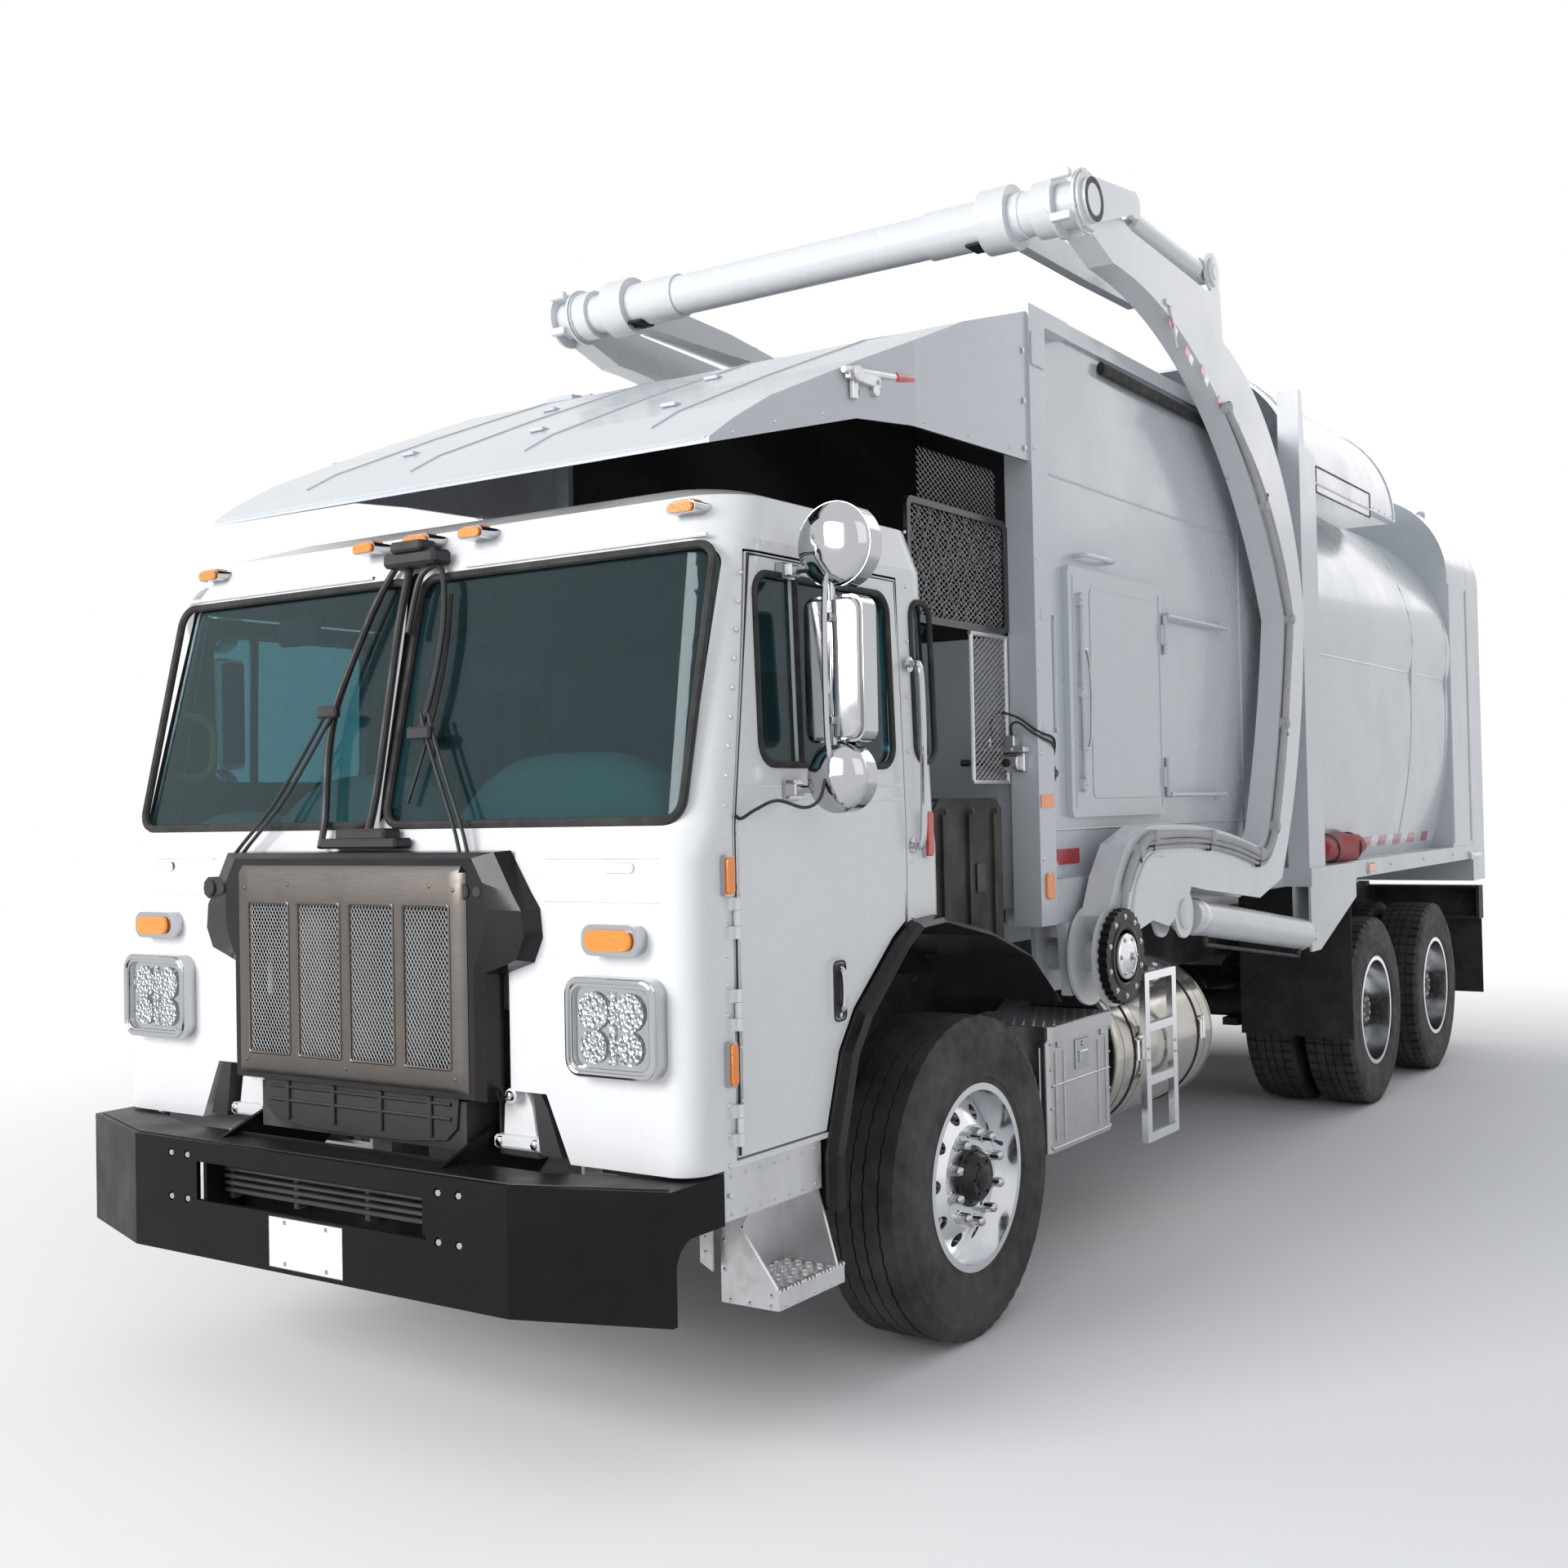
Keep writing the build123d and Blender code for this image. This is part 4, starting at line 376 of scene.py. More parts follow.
M = {
    "white_cab": white_paint("white_cab_paint", (0.80, 0.81, 0.82), 0.16, extra=lining_and_painted_shade),
    # the body's whites are a darker, bluer grey than the cab's white: painted shade
    "white_shaded": white_paint("white_wall_paint_with_painted_shade", (0.60, 0.63, 0.67), 0.3, extra=shaded),
    "white_canopy": white_paint("white_canopy_paint_with_painted_shade", (0.60, 0.63, 0.67), 0.3, extra=underside),
    "white_body": white_paint("white_body_paint_with_painted_shade", (0.60, 0.63, 0.67), 0.3),
    "white_worn": white_paint("white_worn_paint", (0.74, 0.76, 0.78), 0.45, 0.6),
    "black_steel": black_paint("black_steel_paint", (0.004, 0.004, 0.005), 0.30, 0.46, 0.03),
    "bumper_black": black_paint("bumper_paint", (0.004, 0.004, 0.005), 0.32, 0.48, 0.02, plate_patch),
    "black_gloss": black_paint("black_gloss_skin", (0.009, 0.009, 0.011), 0.12, 0.26, 0.06),
    "black_under": black_paint("black_underside", (0.02, 0.02, 0.022), 0.45, 0.75, 0.5),
    # the grille's stainless is darkened to a brownish grey: painted dark reflection
    "stainless": metal("brushed_stainless_dark_reflection", (0.15, 0.135, 0.125), 0.3, 0.45, (1, 1, 30), 18.0, 0.2),
    "polished": metal("polished_aluminium_skin", (0.80, 0.81, 0.83), 0.1, 0.24, (6, 6, 6), 8.0, 0.12),
    "tank_skin": metal("tank_aluminium", (0.47, 0.45, 0.41), 0.12, 0.28, (6, 1, 6), 8.0, 0.2, bright_frame),
    "box_skin": metal("checker_aluminium", (0.50, 0.50, 0.51), 0.25, 0.42, (6, 6, 6), 12.0, 0.2),
    "satin": metal("satin_aluminium", (0.66, 0.67, 0.68), 0.3, 0.5, (1, 1, 1), 26.0, 0.2),
    "chrome": metal("bright_chrome", (0.50, 0.51, 0.53), 0.04, 0.10, (1, 1, 1), 10.0, 0.05),
    "iron": metal("cast_iron_skin", (0.10, 0.10, 0.105), 0.5, 0.75, (1, 1, 1), 30.0, 0.4),
    "tyre": rubber("tyre_rubber_skin", (0.019, 0.019, 0.02), 0.3, 260.0),
    "rubber": rubber("seal_rubber", (0.014, 0.014, 0.015), 0.15, 300.0),
    "hose": rubber("hose_rubber", (0.02, 0.02, 0.022), 0.12, 400.0),
    # the back panes' near-black rear colour is painted shade
    "glass": glass("tinted_window", (0.17, 0.36, 0.40), rear=(0.02, 0.035, 0.045)),
    "lamp_glass": glass("lamp_cover", (0.92, 0.94, 0.95)),
    "mirror": metal("mirror_silver", (0.9, 0.91, 0.92), 0.01, 0.03, (1, 1, 1), 8.0, 0.02),
    "amber": lens("amber_lens", (0.80, 0.21, 0.01), 1.25, 160.0),
    "red": lens("red_lens", (0.50, 0.015, 0.01), 1.3, 160.0),
    "clear": reflector("lamp_reflector", (0.62, 0.64, 0.67), 90.0),
    "lamp_back": reflector("lamp_back_facets", (0.20, 0.21, 0.22), 140.0),
    "cloth": cloth("seat_weave", (0.035, 0.04, 0.05)),
    "dash": plastic("dash_moulding", (0.34, 0.38, 0.37)),
    "black_plastic": plastic("black_moulding", (0.018, 0.018, 0.02)),
    "yellow": plastic("yellow_handle", (0.75, 0.62, 0.05)),
    "tape_red": lens("red_tape", (0.45, 0.02, 0.02), 1.2, 300.0),
    "tape_white": lens("white_tape", (0.75, 0.76, 0.78), 1.1, 300.0),
    "belt": cloth("belt_webbing", (0.03, 0.03, 0.035)),
    "hose_pale": rubber("pale_hose_sleeve", (0.50, 0.50, 0.51), 0.2, 400.0),
    "fabric_red": cloth("red_canvas", (0.45, 0.02, 0.03)),
    "plate": white_paint("plate_white", (0.78, 0.79, 0.80), 0.1),
}

LOOK_NODES = {
    "white_cab": "cab_front cab_sides cab_roof door_left door_right",
    "white_body": "body_floor body_shell hopper_hood hopper_sides wheel_decks access_door arm_brackets "
                  "tailgate",
    "white_shaded": "hopper_front",
    "white_canopy": "canopy",
    "white_worn": "lift_arms fork_frame lift_barrels fork_barrels",
    "glass": "cab_glass door_glass_left door_glass_right",
    "black_gloss": "grille_surround front_fenders",
    "black_under": "cab_floor radiator frame_rails front_axle rear_axles suspension engine_enclosure",
    "bumper_black": "bumper",
    "stainless": "grille_panel",
    "chrome": "lamps mirror_left mirror_right lift_rods fork_rods",
    "satin": "cab_steps",
    "iron": "engine_block knuckle_left knuckle_right",
    "tank_skin": "fuel_tanks",
    "box_skin": "tool_boxes",
    "dash": "dashboard",
    "cloth": "seats",
    "rubber": "mud_flaps",
    "hose_pale": "arm_hoses",
}
NODE_LOOK = {node: look for look, nodes in LOOK_NODES.items() for node in nodes.split()}


def look_of(node):
    """Material name of a CAD node."""
    if node in NODE_LOOK:
        return NODE_LOOK[node]
    return "tyre" if "tyre" in node else "polished"


def dress_frame():
    """Give every CAD node its material."""
    for name, obj in NODES.items():
        obj.data.materials.clear()
        obj.data.materials.append(M[look_of(name)])


# ---------------------------------------------------------------- small shapes
def curve(points, steps=6):
    """Smooth line through points, as a list of points."""
    line = [Vector(p) for p in points]
    ends = [line[0] * 2 - line[1]] + line + [line[-1] * 2 - line[-2]]
    out = []
    for index in range(1, len(ends) - 2):
        a, b, c, d = ends[index - 1:index + 3]
        for step in range(steps):
            t = step / steps
            out.append(0.5 * (2 * b + (c - a) * t + (2 * a - 5 * b + 4 * c - d) * t * t
                              + (3 * b - a - 3 * c + d) * t ** 3))
    out.append(line[-1])
    return out


def eased(value, power):
    """Size raised to a power, with its sign kept."""
    return math.copysign(abs(value) ** power, value)


def frame_of(direction):
    """Two directions across a given one."""
    side = direction.cross(Vector((0, 0, 1)))
    if side.length < 1e-4:
        side = direction.cross(Vector((0, 1, 0)))
    side.normalize()
    return side, direction.cross(side).normalized()


def circle(centre, u, v, radius, sides, flat=1.0):
    """Points round a centre across two directions; flat squeezes the second."""
    turns = [2 * math.pi * i / sides for i in range(sides)]
    return [centre + u * (radius * math.cos(turn)) + v * (flat * radius * math.sin(turn)) for turn in turns]


def spots(a, b, radius, count, phase=0.5):
    """Places evenly round a circle about (a, b), in two coordinates."""
    turns = [2 * math.pi * (k + phase) / count for k in range(count)]
    return [(a + radius * math.cos(turn), b + radius * math.sin(turn)) for turn in turns]


def round_rect(low_a, high_a, low_b, high_b, radius, steps=5):
    """Outline of a rounded rectangle in two coordinates."""
    out = []
    corners = ((high_a - radius, high_b - radius, 0), (low_a + radius, high_b - radius, 90),
               (low_a + radius, low_b + radius, 180), (high_a - radius, low_b + radius, 270))
    for a, b, start in corners:
        for step in range(steps + 1):
            turn = math.radians(start + 90 * step / steps)
            out.append((a + radius * math.cos(turn), b + radius * math.sin(turn)))
    return out


def pad(a, b, half_a, half_b, radius, steps=4):
    """Outline of a rounded rectangle about its middle."""
    return round_rect(a - half_a, a + half_a, b - half_b, b + half_b, radius, steps)


def crossed_lines(a_span, z_span, pitch, slope, shortest):
    """Slanting lines both ways, cut to a window, as (way, lower end, upper end)."""
    (a0, a1), (z0, z1) = a_span, z_span
    reach = (z1 - z0) / slope
    count = int((a1 - a0 + reach) / pitch) + 1
    for way in SIDES:
        for k in range(count):
            foot = a0 - reach + k * pitch
            low = max(0.0, (a0 - foot) * slope)
            high = min(z1 - z0, (a1 - foot) * slope)
            if high - low < shortest:
                continue
            a = [foot + low / slope, z0 + low]
            b = [foot + high / slope, z0 + high]
            if way < 0:
                a[0], b[0] = a0 + a1 - a[0], a0 + a1 - b[0]
            yield way, a, b


class Shape:
    """Mesh put together from simple forms in (x, station, height), then made one piece of a body."""

    def __init__(self):
        self.points = []
        self.faces = []

    def add(self, points, faces):
        start = len(self.points)
        self.points += [Vector(p) for p in points]
        self.faces += [[start + i for i in face] for face in faces]

    def block(self, x, y, z, chamfer=0.003):
        """Box with chamfered edges; each argument is a pair of limits."""
        middle = [(a + b) / 2 for a, b in (x, y, z)]
        half = [abs(b - a) / 2 for a, b in (x, y, z)]
        cut = min(chamfer, 0.45 * min(half))
        points, index = [], {}
        signs = [(i, j, k) for i in (-1, 1) for j in (-1, 1) for k in (-1, 1)]
        for sign in signs:
            for axis in range(3):
                index[sign, axis] = len(points)
                points.append([middle[k] + sign[k] * (half[k] - (0 if k == axis else cut)) for k in range(3)])
        faces = [[index[sign, axis] for axis in range(3)] for sign in signs]
        for axis in range(3):
            u, v = [k for k in range(3) if k != axis]
            for side in (-1, 1):
                ring = []
                for su, sv in ((-1, -1), (1, -1), (1, 1), (-1, 1)):
                    sign = [0, 0, 0]
                    sign[axis], sign[u], sign[v] = side, su, sv
                    ring.append(index[tuple(sign), axis])
                faces.append(ring)
            for su in (-1, 1):
                for sv in (-1, 1):
                    low, high = [0, 0, 0], [0, 0, 0]
                    low[u] = high[u] = su
                    low[v] = high[v] = sv
                    low[axis], high[axis] = -1, 1
                    faces.append([index[tuple(low), u], index[tuple(high), u],
                                  index[tuple(high), v], index[tuple(low), v]])
        self.add(points, faces)

    def rings(self, rows, close=True, caps=(True, True)):
        """Skin through equal rings of points."""
        count = len(rows[0])
        points = [p for row in rows for p in row]
        faces = []
        for row in range(len(rows) - 1):
            for i in range(count if close else count - 1):
                j = (i + 1) % count
                faces.append([row * count + i, row * count + j, (row + 1) * count + j, (row + 1) * count + i])
        if caps[0]:
            faces.append(list(range(count)))
        if caps[1]:
            faces.append([(len(rows) - 1) * count + i for i in range(count)])
        self.add(points, faces)

    def bar(self, a, b, radius, sides=12, end=None, ease=0.0):
        """Round bar or cone from a to b, with eased ends."""
        a, b = Vector(a), Vector(b)
        end = radius if end is None else end
        along = (b - a).normalized()
        u, v = frame_of(along)
        stops = [(0.0, radius), ((b - a).length, end)]
        if ease:
            length = (b - a).length
            stops = [(0.0, radius - ease), (ease, radius), (length - ease, end), (length, end - ease)]
        self.rings([circle(a + along * far, u, v, r, sides) for far, r in stops])

    def tube(self, points, radius, sides=8, loop=False, flat=1.0):
        """Tube along a line; flat squeezes it across."""
        line = [Vector(p) for p in points]
        count = len(line)
        rows, u = [], None
        for i, p in enumerate(line):
            before = line[i - 1] if (i or loop) else p
            after = line[(i + 1) % count] if (i < count - 1 or loop) else p
            along = (after - before).normalized()
            if u is None:
                u = frame_of(along)[0]
            u = (u - along * u.dot(along)).normalized()
            rows.append(circle(p, u, along.cross(u), radius, sides, flat))
        if loop:
            rows.append(rows[0])
        self.rings(rows, caps=(not loop, not loop))

    def lathe(self, centre, along, profile, sides=24):
        """Skin of revolution; profile gives (distance along the axis, radius)."""
        centre, along = Vector(centre), Vector(along).normalized()
        u, v = frame_of(along)
        rows = [circle(centre + along * far, u, v, r, sides) for far, r in profile]
        self.rings(rows, caps=(profile[0][1] > 0.0005, profile[-1][1] > 0.0005))

    def dome(self, centre, along, radius, rise=None, sides=8):
        """Rivet head."""
        rise = radius * 0.6 if rise is None else rise
        profile = ((-0.002, radius), (0, radius), (rise * 0.7, radius * 0.7), (rise, 0.0))
        self.lathe(centre, along, profile, sides)

    def bolt(self, centre, along, radius, rise=None):
        """Hexagon head on its washer."""
        rise = radius * 0.75 if rise is None else rise
        self.lathe(centre, along, ((-0.002, radius * 1.35), (rise * 0.2, radius * 1.35)), 12)
        self.lathe(centre, along, ((0, radius), (rise * 0.85, radius), (rise, radius * 0.8)), 6)

    def prism(self, outline, axis, low, high, chamfer=0.0):
        """Outline in the two other coordinates, carried along one axis (0, 1 or 2)."""
        middle = [sum(p[k] for p in outline) / len(outline) for k in (0, 1)]

        def row(place, inset):
            ring = []
            for p in outline:
                q = [middle[k] + (p[k] - middle[k]) * (1 - inset) for k in (0, 1)]
                q.insert(axis, place)
                ring.append(q)
            return ring

        if chamfer:
            size = max(abs(p[k] - middle[k]) for p in outline for k in (0, 1))
            inset = chamfer / size
            step = chamfer if high > low else -chamfer
            self.rings([row(low, inset), row(low + step, 0), row(high - step, 0), row(high, inset)])
        else:
            self.rings([row(low, 0), row(high, 0)])

    def mirrored(self):
        """The same shape on the other side of the truck."""
        other = Shape()
        other.points = [Vector((-p.x, p.y, p.z)) for p in self.points]
        other.faces = [face[::-1] for face in self.faces]
        return other

    def both(self):
        """Add the mirror image to the shape itself."""
        other = self.mirrored()
        self.add(other.points, other.faces)
        return self

    def piece(self, name, look, body="chassis", smooth=35.0):
        """Make the object, give it its material and let it ride its body."""
        mesh = bpy.data.meshes.new(name)
        mesh.from_pydata([at(*p) for p in self.points], [], self.faces)
        work = bmesh.new()
        work.from_mesh(mesh)
        bmesh.ops.recalc_face_normals(work, faces=work.faces)
        work.to_mesh(mesh)
        work.free()
        mesh.shade_smooth()
        mesh.set_sharp_from_angle(angle=math.radians(smooth))
        mesh.materials.append(M[look])
        obj = bpy.data.objects.new(name, mesh)
        bpy.context.collection.objects.link(obj)
        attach(obj, body)
        return obj


def sides_of(shape, name, look, bodies, smooth=35.0):
    """One piece on the left body and its mirror image on the right one."""
    left = shape.piece(name + "_left", look, bodies[0], smooth)
    right = shape.mirrored().piece(name + "_right", look, bodies[1], smooth)
    return left, right


# ---------------------------------------------------------------- front of the cab
GLASS_SLOPE = 0.2308
CAB_FACE_Y = 0.24                  # upright skin below the windscreen
SCREEN_HEAD_Z = 2.46


def skin_y(z):
    """Station of the cab's front skin at a height."""
    if z < 1.6:
        return CAB_FACE_Y
    if z < BELT_Z:
        return CAB_FACE_Y + (z - 1.6) * 0.525
    if z < SCREEN_HEAD_Z:
        return 0.282 + (z - BELT_Z) * GLASS_SLOPE
    return 0.462 + (z - SCREEN_HEAD_Z) * 0.6


def on_glass(x, z, proud=0.0):
    """Point on the windscreen's plane, moved out by some metres."""
    return (x, skin_y(z) - proud, z)


GRILLE_Y = 0.152
GRILLE_RIM_Y = 0.1625
GRILLE_XS = (-0.480, -0.462, -0.422, -0.244, -0.200, -0.022, 0.022, 0.200, 0.244, 0.422, 0.462, 0.480)
GRILLE_ZS = (0.965, 0.983, 1.030, 1.475, 1.567, 1.585)
WINDOW_COLUMNS = (2, 4, 6, 8)
WINDOW_ROW = 2


def build_grille():
    """Stainless panel with bevelled rim, four windows and fine diamond wire."""
    shape, wires = Shape(), Shape()
    xs, zs = GRILLE_XS, GRILLE_ZS
    points, index = [], {}
    for i, x in enumerate(xs):
        for j, z in enumerate(zs):
            rim = i in (0, len(xs) - 1) or j in (0, len(zs) - 1)
            px, pz = x, z
            if i in (0, len(xs) - 1) and j == len(zs) - 1:
                px, pz = x * 0.955, z - 0.02
            index[i, j] = len(points)
            points.append((px, GRILLE_RIM_Y if rim else GRILLE_Y, pz))
    faces = []
    for i in range(len(xs) - 1):
        for j in range(len(zs) - 1):
            if j != WINDOW_ROW or i not in WINDOW_COLUMNS:
                faces.append([index[i, j], index[i + 1, j], index[i + 1, j + 1], index[i, j + 1]])
    shape.add(points, faces)
    z0, z1 = zs[WINDOW_ROW:WINDOW_ROW + 2]
    for i in WINDOW_COLUMNS:
        x0, x1 = xs[i:i + 2]
        front = [(x, GRILLE_Y, z) for x, z in ((x0, z0), (x1, z0), (x1, z1), (x0, z1))]
        back = [(x0 + 0.004, 0.1635, z0 + 0.004), (x1 - 0.004, 0.1635, z0 + 0.004),
                (x1 - 0.004, 0.1635, z1 - 0.004), (x0 + 0.004, 0.1635, z1 - 0.004)]
        shape.rings([front, back], caps=(False, False))
        edge = round_rect(x0 - 0.002, x1 + 0.002, z0 - 0.002, z1 + 0.002, 0.008, 2)
        shape.tube([(x, 0.1525, z) for x, z in edge], 0.0042, 6, loop=True)
    studs = ((-0.243, 1.53), (0.348, 1.53), (-0.44, 1.005), (0.438, 1.005), (0.0, 1.005), (-0.44, 1.52),
             (0.44, 1.52))
    for x, z in studs:
        shape.dome((x, 0.1525, z), AHEAD, 0.0075, 0.004)
    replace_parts(shape.piece("grille_face", "stainless"), "grille_panel")

    half = 0.0011
    for i in WINDOW_COLUMNS:
        for way, a, b in crossed_lines(xs[i:i + 2], (z0, z1), 0.0135, 1.55, 0.004):
            y = 0.1585 + 0.0006 * way
            wires.rings([[(x - half, y, z), (x, y - 0.001, z), (x + half, y, z)] for x, z in (a, b)],
                        caps=(False, False))
    wires.piece("grille_wire", "satin")


def build_windscreen():
    """Rubber seals, centre strip, wipers and roof brow."""
    seals = Shape()
    for side in (-1, 1):
        loop = [on_glass(side * x, z, 0.001) for x, z in round_rect(0.026, 1.130, 1.698, 2.438, 0.057, 6)]
        seals.tube(loop, 0.0125, 8, loop=True)
    seals.piece("windscreen_seals", "rubber")
    strip = Shape()
    outline = [(skin_y(1.662) - 0.003, 1.662), (skin_y(1.70) - 0.014, 1.70), (skin_y(2.44) - 0.014, 2.44),
               (skin_y(2.458) - 0.004, 2.458), (skin_y(2.44) + 0.01, 2.44), (skin_y(1.70) + 0.01, 1.70)]
    strip.prism(outline, 0, -0.019, 0.019)
    strip.piece("centre_strip", "chrome")

    arms = Shape()

    def lay(points, proud, radius, sides, foot=()):
        """Tube along points in front of the glass, and on to its foot."""
        line = [on_glass(x, z, proud) for x, z in points]
        arms.tube(curve(line + list(foot), 3), radius, sides)

    lay(((-0.022, 2.50), (-0.014, 2.30), (-0.004, 2.05), (0.006, 1.80), (0.008, 1.645)), 0.034, 0.0125, 10)
    # wiper before the right pane
    lay(((-0.082, 2.496), (-0.135, 2.38), (-0.180, 2.26), (-0.215, 2.16), (-0.242, 2.07), (-0.246, 1.97),
         (-0.236, 1.88), (-0.205, 1.72), (-0.187, 1.635)), 0.030, 0.0105, 8)
    lay([(x - 0.012, z) for x, z in ((-0.105, 2.44), (-0.180, 2.26), (-0.236, 2.07), (-0.238, 1.93),
                                     (-0.200, 1.70))], 0.012, 0.006, 6)
    for shift in (0.0, 0.034):
        rod = ((-0.262, 2.045), (-0.345, 1.90), (-0.442, 1.755), (-0.560, 1.60))
        lay([(x + shift, z) for x, z in rod], 0.045, 0.0058, 6, [(-0.600 + shift, 0.185, 1.52)])
    arms.block((-0.292, -0.206), (skin_y(2.05) - 0.062, skin_y(2.05) - 0.036), (2.026, 2.062), 0.006)
    # wiper before the left pane: an inverted U and a pair of rods
    lay(((0.028, 2.27), (0.034, 2.40), (0.052, 2.452), (0.099, 2.474), (0.140, 2.436), (0.166, 2.34),
         (0.177, 2.24), (0.172, 2.10), (0.155, 2.00), (0.137, 1.955)), 0.032, 0.0092, 8)
    lay(((0.165, 2.38), (0.182, 2.24), (0.178, 2.08), (0.150, 1.90), (0.120, 1.76)), 0.012, 0.0062, 6)
    for shift in (0.0, 0.030):
        rod = ((0.150, 2.02), (0.192, 1.945), (0.258, 1.84), (0.370, 1.67))
        lay([(x + shift, z) for x, z in rod], 0.042, 0.0058, 6, [(0.455 + shift, 0.180, 1.55)])
    arms.block((0.118, 0.214), (skin_y(1.97) - 0.062, skin_y(1.97) - 0.034), (1.944, 1.982), 0.006)
    for x in (-0.600, 0.485):
        arms.block((x - 0.066, x + 0.066), (0.166, 0.232), (1.482, 1.548), 0.018)
        arms.bar((x - 0.02, 0.188, 1.515), (x - 0.02, 0.157, 1.515), 0.026, 14, ease=0.004)
        arms.bar((x + 0.035, 0.188, 1.515), (x + 0.035, 0.160, 1.515), 0.017, 12, ease=0.003)
    # blocks at the head and foot of the centre strip
    arms.block((-0.092, 0.130), (0.395, 0.475), (2.474, 2.520), 0.012)
    arms.block((-0.048, 0.086), (0.385, 0.455), (2.516, 2.548), 0.012)
    arms.block((-0.150, 0.170), (0.192, 0.262), (1.632, 1.662), 0.010)
    arms.block((-0.100, 0.110), (0.205, 0.275), (1.655, 1.690), 0.010)
    arms.piece("wipers", "black_plastic")

    brow = Shape()
    brow.tube([on_glass(x, 2.463, 0.004) for x in (-1.10, -0.6, -0.2)], 0.006, 6)
    brow.tube([on_glass(x, 2.463, 0.004) for x in (0.2, 0.6, 1.10)], 0.006, 6)
    brow.piece("roof_gutter", "white_cab")


def build_cab_skin():
    """Rivet rows, seams, small recesses and tow mounts on the cab's front."""
    rivets = Shape()
    for side in SIDES:
        z = 0.72
        while z < 2.36:
            fall = 0.0 if z < BELT_Z else (z - BELT_Z) * 0.028
            y = 0.392 if z < 1.70 else 0.392 + (z - 1.70) * 0.185
            rivets.dome((side * (CAB_SKIN_X - fall), y, z), (side, 0, 0), 0.0075, 0.0045)
            z += 0.078
        for k in range(9):
            rivets.dome((side * 1.166, 0.62 + k * 0.085, 2.452), (side, 0, 0.1), 0.006, 0.004)
        for k in range(8):
            rivets.dome((side * DOOR_X, 1.345, 0.98 + 0.17 * k + 0.40), (side, 0, 0), 0.006, 0.004)
    rivets.piece("cab_rivets", "satin")

    seam = Shape()
    for side in SIDES:
        seam.tube([(side * x, 0.2395, 1.602) for x in (0.70, 0.95, 1.09)], 0.0028, 6, flat=0.6)
        seam.tube([(side * x, 0.2395, 1.488) for x in (0.695, 0.95, 1.09)], 0.0026, 6, flat=0.6)
        seam.tube([(side * CAB_SKIN_X, y, 1.602) for y in (0.345, 0.38, 0.415)], 0.0026, 6)
        # small covers under the windscreen
        outline = round_rect(side * LAMP_X - 0.055, side * LAMP_X + 0.055, 1.565, 1.592, 0.012, 3)
        seam.prism(outline, 1, 0.2405, 0.2335, 0.002)
    seam.piece("cab_seams", "white_cab")

    mounts = Shape()
    for side in SIDES:
        mounts.prism([(side * 0.50, 0.84), (side * 0.63, 0.84), (side * 0.615, 0.925), (side * 0.585, 0.985),
                      (side * 0.535, 0.985), (side * 0.505, 0.925)], 1, 0.268, 0.330, 0.006)
        mounts.block((side * 0.475, side * 0.655), (0.252, 0.345), (0.806, 0.842), 0.008)
        mounts.bar((side * 0.56, 0.272, 0.955), (side * 0.56, 0.235, 0.955), 0.022, 14, ease=0.004)
    mounts.piece("tow_mounts", "white_cab")
    bolts = Shape()
    for side in SIDES:
        bolts.bolt((side * 0.56, 0.236, 0.955), AHEAD, 0.012)
        bolts.bolt((side * 0.50, 0.256, 0.824), AHEAD, 0.012)
        bolts.bolt((side * 0.63, 0.256, 0.824), AHEAD, 0.012)
    bolts.piece("tow_mount_bolts", "chrome")
    rubber = Shape()
    for side in SIDES:
        rubber.prism([(side * 0.66, 0.80), (side * 0.74, 0.80), (side * 0.69, 0.93), (side * 0.655, 0.985),
                      (side * 0.635, 0.985), (side * 0.645, 0.90)], 1, 0.245, 0.40, 0.005)
        rubber.block((side * 0.49, side * 0.64), (0.262, 0.34), (0.786, 0.808), 0.006)
    rubber.piece("mount_rubbers", "black_plastic")

    shroud = Shape()
    low = [(-0.41, 0.955), (-0.40, 0.86), (-0.36, 0.825), (-0.22, 0.812), (0.0, 0.808), (0.22, 0.812),
           (0.36, 0.825), (0.40, 0.86), (0.41, 0.955)]
    shroud.prism(low, 1, 0.192, 0.2, 0.002)
    for z in (0.885, 0.925):
        shroud.tube([(x, 0.19, z) for x in (-0.38, 0.0, 0.38)], 0.005, 6)
    for x in (-0.3, -0.1, 0.1, 0.3):
        shroud.block((x - 0.008, x + 0.008), (0.184, 0.196), (0.83, 0.945), 0.003)
    shroud.piece("radiator_shroud", "black_plastic")


ROUND_LENS = ((0, 0.046), (0.006, 0.046), (0.013, 0.036), (0.016, 0.0))


